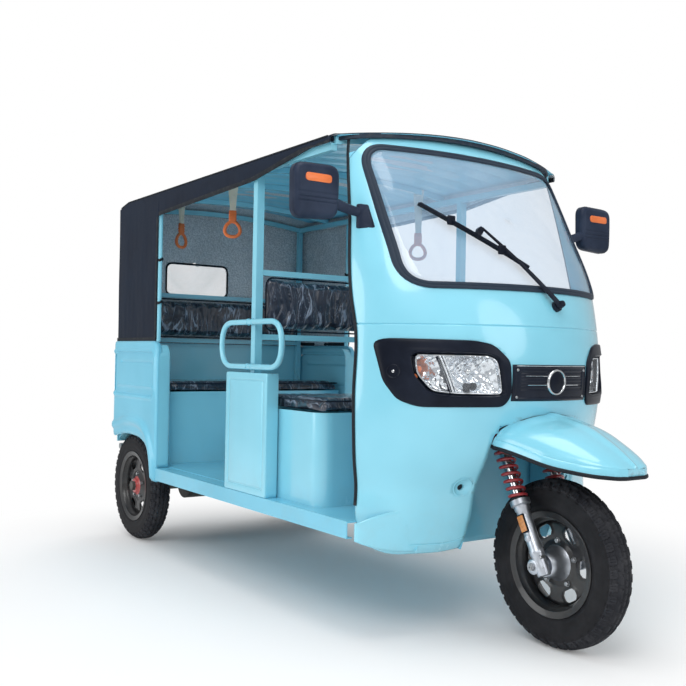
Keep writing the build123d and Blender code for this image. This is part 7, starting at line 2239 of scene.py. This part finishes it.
@dataclass
class Cushion:
    """Seat pad in a loose cover: a rounded block blown up by cloth simulation, with piping and a pressed seam."""

    name: str
    node: str
    low: tuple[float, float, float]
    high: tuple[float, float, float]
    body: Body
    soft_axis: int
    corner: float = 0.022
    shrink: float = 0.010
    thin: float = 0.003
    voxel: float = 0.0118
    cap: float = 0.026

    def start(self) -> Object:
        """Rounded block a little smaller than the pad, remeshed to an even grid of faces."""
        inset = np.full(3, self.shrink)
        inset[self.soft_axis] = self.thin
        low = np.array(self.low) + inset
        high = np.array(self.high) - inset
        piece = Skin().solid(box_grid(low, high, self.corner, 6)).build(self.name, [SEAT_VINYL.make()], 180)
        mesh = piece.modifiers.new("even", "REMESH")
        mesh.mode = "VOXEL"
        mesh.voxel_size = self.voxel
        mesh.use_smooth_shade = True
        return self.freeze(piece)

    def freeze(self, piece: Object) -> Object:
        """Puts the piece's modified form into its mesh."""
        bpy.context.view_layer.update()
        graph = bpy.context.evaluated_depsgraph_get()
        mesh = bpy.data.meshes.new_from_object(piece.evaluated_get(graph))
        piece.modifiers.clear()
        old = piece.data
        piece.data = mesh
        mesh.name = piece.name
        bpy.data.meshes.remove(old)
        return piece

    def inflate(self, piece: Object) -> Object:
        """Blows the cover up with air pressure, its lower or rear side held where the pad is fixed."""
        mesh = piece.data
        count = len(mesh.vertices)
        before = np.empty(count * 3)
        mesh.vertices.foreach_get("co", before)
        before = before.reshape(-1, 3)
        held = piece.vertex_groups.new(name="held")
        depth = before[:, self.soft_axis]
        fixed = np.nonzero(depth < depth.min() + 0.010)[0] if self.soft_axis == 2 else np.nonzero(depth < depth.min() + 0.006)[0]
        held.add(fixed.tolist(), 1.0, "REPLACE")
        cloth = piece.modifiers.new("air", "CLOTH")
        cloth.settings.use_pressure = True
        cloth.settings.uniform_pressure_force = 4.0
        cloth.settings.vertex_group_mass = "held"
        cloth.settings.quality = 4
        cloth.settings.effector_weights.gravity = 0.0
        cloth.settings.shrink_min = -0.05
        cloth.settings.tension_stiffness = 12.0
        cloth.settings.compression_stiffness = 12.0
        cloth.settings.bending_stiffness = 0.4
        scene = bpy.context.scene
        for frame in range(1, 15):
            scene.frame_set(frame)
        self.freeze(piece)
        scene.frame_set(1)
        after = np.empty(count * 3)
        piece.data.vertices.foreach_get("co", after)
        after = after.reshape(-1, 3)
        move = after - before
        size = np.linalg.norm(move, axis=1, keepdims=True)
        move *= np.minimum(1.0, self.cap / np.maximum(size, 1e-9))
        points = before + move
        low, high = np.array(self.low), np.array(self.high)
        points = np.minimum(np.maximum(points, low), high)
        piece.data.vertices.foreach_set("co", points.reshape(-1))
        piece.data.update()
        piece.vertex_groups.clear()
        return piece

    def crease(self, piece: Object) -> None:
        """Presses stitched seams and adds creases of the loose film as a height along the surface normal."""
        mesh = piece.data
        count = len(mesh.vertices)
        points, normals = np.empty(count * 3), np.empty(count * 3)
        mesh.vertices.foreach_get("co", points)
        mesh.vertices.foreach_get("normal", normals)
        points, normals = points.reshape(-1, 3), normals.reshape(-1, 3)
        bend = points + 0.025 * np.stack([noise(points, 0.20, k) for k in (21, 22, 23)], -1)
        stretch = [1.0, 2.6, 0.55] if self.soft_axis == 0 else [0.6, 2.2, 1.0]
        folds = np.abs(noise(bend * stretch, 0.17, 24))
        sharp = -0.0026 * np.exp(-((folds / 0.10) ** 2)) + 0.0016 * np.clip(folds - 0.25, 0, 1)
        fine = 0.0007 * noise(bend, 0.045, 25)
        seam = np.exp(-(((np.abs(points[:, 1]) - 0.165) / 0.005) ** 2)) * 0.0035 if self.soft_axis == 0 else 0.0
        points = points + normals * (sharp + fine - seam - 0.001)[:, None]
        low, high = np.array(self.low), np.array(self.high)
        points = np.minimum(np.maximum(points, low), high)
        mesh.vertices.foreach_set("co", points.reshape(-1))
        mesh.update()

    def make_piping(self) -> Object:
        """Piping round the pad's edges as a round cord over a rounded outline."""
        low, high = np.array(self.low), np.array(self.high)
        a, b = [k for k in range(3) if k != self.soft_axis]
        mid = self.soft_axis
        skin = Skin()
        level = high[mid] - 0.012
        inset = 0.0035
        corners = [(low[a] + inset, low[b] + inset), (high[a] - inset, low[b] + inset), (high[a] - inset, high[b] - inset), (low[a] + inset, high[b] - inset)]
        flat = resample(bent_path(corners, 0.035, True, 8), 260, True)
        path = np.zeros((260, 3))
        path[:, a], path[:, b], path[:, mid] = flat[:, 0], flat[:, 1], level
        up = np.zeros(3)
        up[mid] = 1.0
        skin.solid(sweep(path, circle(0.0032, 8), up, True), ring=True)
        return skin.build(f"{self.name}_piping", [GLOSS_PLASTIC.make()])

    def build(self) -> None:
        piece = self.start()
        self.inflate(piece)
        piece.data.shade_smooth()
        detail = piece.modifiers.new("smooth", "SUBSURF")
        detail.levels = detail.render_levels = 1
        self.freeze(piece)
        self.crease(piece)
        piece.data.shade_smooth()
        settle(piece, self.body, self.node, self.node)
        settle(self.make_piping(), self.body, self.node)


@dataclass
class StrapHandles:
    """Hanging handles: a webbing strap folded over a rail, a moulded grip block and a ring to hold.

    The columns of places are the distance behind the front axle, Y, the lowest height and the way the ring faces.
    """

    places: tuple[tuple[float, float, float, float], ...] = (
        (1.620, -0.350, 1.440, -0.49), (2.160, -0.350, 1.440, 0.40), (1.200, 0.380, 1.362, -0.60),
    )
    ring: float = 0.034
    wire: float = 0.0078

    def make(self) -> Object:
        """All handles: straps as a flat profile down a path, rings as a round profile round a softened triangle."""
        skin = Skin()
        for st, y, low, facing in self.places:
            centre = np.array([behind(st), y, low + self.ring + self.wire])
            across = np.array([-sin(facing), cos(facing), 0.0])
            away = np.array([cos(facing), sin(facing), 0.0])
            turn = np.linspace(0, 2 * pi, 56, endpoint=False)
            shape = self.ring * (1 + 0.05 * np.cos(3 * turn + pi / 2))
            loop = centre + across * (shape * np.cos(turn))[:, None] + np.array([0.0, 0.0, 1.0]) * (shape * np.sin(turn))[:, None]
            skin.solid(sweep(loop, circle(self.wire, 14), away, True), ring=True)
            blocks = [(0.017, 0.008, 0.036, 0.088, 0.006)]
            blocks += [(0.0178, 0.0088, z, z + 0.004, 0.0015) for z in (0.046, 0.058, 0.070)]
            for wide, deep, z0, z1, edge in blocks:
                block = box_grid([-deep, -wide, z0], [deep, wide, z1], edge, 5)
                skin.solid(centre + block[..., :1] * away + block[..., 1:2] * across + block[..., 2:] * np.array([0.0, 0.0, 1.0]))
            top = float(roof_z(y, 0.0103)) - 0.0015
            z = np.linspace(centre[2] + 0.080, top, 30)
            wave = 0.0015 * np.sin(np.linspace(0, 5, 30) + st)
            flat = np.array([(-0.013, -0.0015), (0.013, -0.0015), (0.013, 0.0015), (-0.013, 0.0015)])
            for lean in (-0.012, 0.012):
                shift = (lean * np.linspace(0, 1, 30) ** 1.4)[:, None] * across
                path = np.stack([centre[0] + wave, np.full(30, y), z], -1) + shift + away * lean * 0.15
                skin.solid(sweep(path, flat, away), slot=1)
            stitch = np.array([(-0.0135, -0.0038), (0.0135, -0.0038), (0.0135, 0.0038), (-0.0135, 0.0038)])
            skin.solid(sweep(path[1:4], stitch, away), slot=1)
        return skin.build("strap_rings", [ORANGE_PLASTIC.make(), STRAP_WEB.make()])

    def build(self) -> None:
        """Makes the handles and lets them ride on the body."""
        settle(self.make(), Body.MAIN, "strap_handles", "strap_handles")


@dataclass
class Studio:
    """Pale floor that fades into a white backdrop, soft lamps and the photo's camera."""

    eye: tuple[float, float, float] = (3.16195, -2.26388, 0.92692)
    yaw: float = 2.53282
    pitch: float = 0.01345
    roll: float = 0.01786
    focal: float = 908.75
    frame_width: float = 686.0
    floor_radius: float = 9.0
    sky: float = 0.50

    def make_camera(self) -> Object:
        """Camera whose rows are the photo's right, up and back directions."""
        way = Vector((cos(self.pitch) * cos(self.yaw), cos(self.pitch) * sin(self.yaw), sin(self.pitch)))
        right = way.cross(Vector((0, 0, 1))).normalized()
        above = right.cross(way)
        across = right * cos(self.roll) + above * sin(self.roll)
        up = above * cos(self.roll) - right * sin(self.roll)
        data = bpy.data.cameras.new("photo_camera")
        data.sensor_width = 36.0
        data.lens = self.focal / self.frame_width * data.sensor_width
        data.clip_start = 0.05
        data.clip_end = 60.0
        camera = bpy.data.objects.new("photo_camera", data)
        bpy.context.scene.collection.objects.link(camera)
        turn = Matrix((across, up, -way)).transposed().to_4x4()
        camera.matrix_world = Matrix.Translation(self.eye) @ turn
        bpy.context.scene.camera = camera
        return camera

    def make_floor(self) -> Object:
        """Floor disc: rings of points, its shader turning from lit grey near the vehicle to pure white far out."""
        graph = Graph("studio_floor")
        position = graph.node("ShaderNodeVectorMath", {"operation": "LENGTH"}, {0: graph.place}, "Value")
        seen = graph.node("ShaderNodeLightPath", output="Is Camera Ray")
        lit = graph.node("ShaderNodeBsdfDiffuse", None, {"Color": (0.97, 0.97, 0.97, 1.0)})
        white = graph.node("ShaderNodeEmission", None, {"Color": (1, 1, 1, 1), "Strength": 1.0})
        far = position.step(0.9, 2.3)
        share = far * seen
        blend = graph.node("ShaderNodeMixShader", None, {0: share, 1: lit, 2: white})
        end = graph.tree.nodes.new("ShaderNodeOutputMaterial")
        graph.tree.links.new(blend.socket, end.inputs["Surface"])
        radius = np.array([self.floor_radius, 5.0, 2.5, 1.0, 0.0002])
        turn = np.linspace(0, 2 * pi, 64, endpoint=False)
        grid = np.stack([radius[:, None] * np.cos(turn), radius[:, None] * np.sin(turn), np.zeros((5, 64))], -1)
        return Skin().sheet(grid, wrap=True).build("studio_floor", [graph.material])

    def make_world(self) -> None:
        """World that is white to the camera and through glass, and softer for all other rays."""
        world = bpy.data.worlds.new("studio")
        world.use_nodes = True
        tree = world.node_tree
        tree.nodes.clear()
        path = tree.nodes.new("ShaderNodeLightPath")
        most = tree.nodes.new("ShaderNodeMath")
        most.operation = "MAXIMUM"
        tree.links.new(path.outputs["Is Camera Ray"], most.inputs[0])
        tree.links.new(path.outputs["Is Transmission Ray"], most.inputs[1])
        soft, bright = (tree.nodes.new("ShaderNodeBackground") for _ in range(2))
        soft.inputs["Strength"].default_value = self.sky
        soft.inputs["Color"].default_value = (0.96, 0.98, 1.0, 1.0)
        bright.inputs["Strength"].default_value = 1.0
        bright.inputs["Color"].default_value = (1.0, 1.0, 1.0, 1.0)
        mix = tree.nodes.new("ShaderNodeMixShader")
        tree.links.new(most.outputs[0], mix.inputs[0])
        tree.links.new(soft.outputs[0], mix.inputs[1])
        tree.links.new(bright.outputs[0], mix.inputs[2])
        end = tree.nodes.new("ShaderNodeOutputWorld")
        tree.links.new(mix.outputs[0], end.inputs["Surface"])
        bpy.context.scene.world = world

    def make_lamp(self, name: str, place: Colour, target: Colour, size: float, power: float) -> Object:
        """Large soft lamp at a place, turned to a target."""
        data = bpy.data.lights.new(name, "AREA")
        data.shape = "DISK"
        data.size = size
        data.energy = power
        lamp = bpy.data.objects.new(name, data)
        bpy.context.scene.collection.objects.link(lamp)
        lamp.location = place
        lamp.rotation_euler = (Vector(target) - Vector(place)).to_track_quat("-Z", "Y").to_euler()
        return lamp

    def build(self) -> None:
        scene = bpy.context.scene
        scene.view_settings.view_transform = "Standard"
        self.make_world()
        parts = [
            self.make_camera(),
            self.make_floor(),
            self.make_lamp("key_lamp", (3.4, -3.6, 4.2), (0.1, 0, 0.7), 3.2, 98.0),
            self.make_lamp("front_lamp", (5.2, 0.6, 2.6), (0.6, 0, 0.8), 2.6, 36.0),
            self.make_lamp("side_lamp", (-1.3, -4.6, 1.5), (-0.6, 0, 0.9), 2.6, 46.0),
            self.make_lamp("top_lamp", (1.0, -0.8, 4.9), (0.5, 0, 0.8), 3.0, 70.0),
            self.make_lamp("rear_lamp", (-3.2, 3.6, 3.8), (0, 0, 0.9), 3.0, 50.0),
        ]
        log.info("studio built with %d parts", len(parts))


def write_sizes() -> None:
    """Brings the view layer up to date."""
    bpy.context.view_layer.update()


def wheels() -> list[Wheel]:
    """The three wheels."""
    return [
        Wheel("front", (FRONT_AXLE_X, 0.0, 0.270), 0.270, -1, Body.FRONT_WHEEL, "front_tyre", "front_rim", False),
        Wheel("rear_r", (REAR_AXLE_X, -0.480, 0.262), 0.262, -1, Body.REAR_WHEEL_R, "rear_tyre_r", "rear_rim_r", True),
        Wheel("rear_l", (REAR_AXLE_X, 0.480, 0.262), 0.262, 1, Body.REAR_WHEEL_L, "rear_tyre_l", "rear_rim_l", True),
    ]


def cushions() -> list[Cushion]:
    """The four seat pads."""
    return [
        Cushion("driver_pad", "front_seat_lid", (behind(1.036), -0.5057, 0.7225), (behind(0.632), 0.5057, 0.7755), Body.FRONT_LID, 2),
        Cushion("bench_pad", "rear_seat_lid", (behind(2.385), -0.530, 0.7375), (behind(2.022), 0.530, 0.7875), Body.REAR_LID, 2),
        Cushion("driver_back", "front_backrest", (behind(1.088), -0.495, 1.013), (behind(1.052), 0.495, 1.228), Body.MAIN, 0, 0.015, 0.006, 0.004, 0.009),
        Cushion("bench_back", "rear_backrest", (behind(2.4297), -0.490, 1.004), (behind(2.3897), 0.490, 1.208), Body.MAIN, 0, 0.016, 0.006, 0.004, 0.009),
    ]


def main() -> None:
    """Builds every piece in order, then the studio, and finishes."""
    logging.basicConfig(level=logging.INFO, format="%(name)s: %(message)s")
    shell = FrontShell()
    shell.build()
    for part in (Windscreen(shell), FrontLamps(shell), Fender(), Mirrors(), Fork(), SidePanels(), Partitions(), SillFairings()):
        part.build()
    for part in (RoofLining(), TailLamps(), Canopy(), StrapHandles(), *wheels(), *cushions()):
        part.build()
    dress_plain_nodes()
    Studio().build()
    write_sizes()


if __name__ == "__main__":
    main()
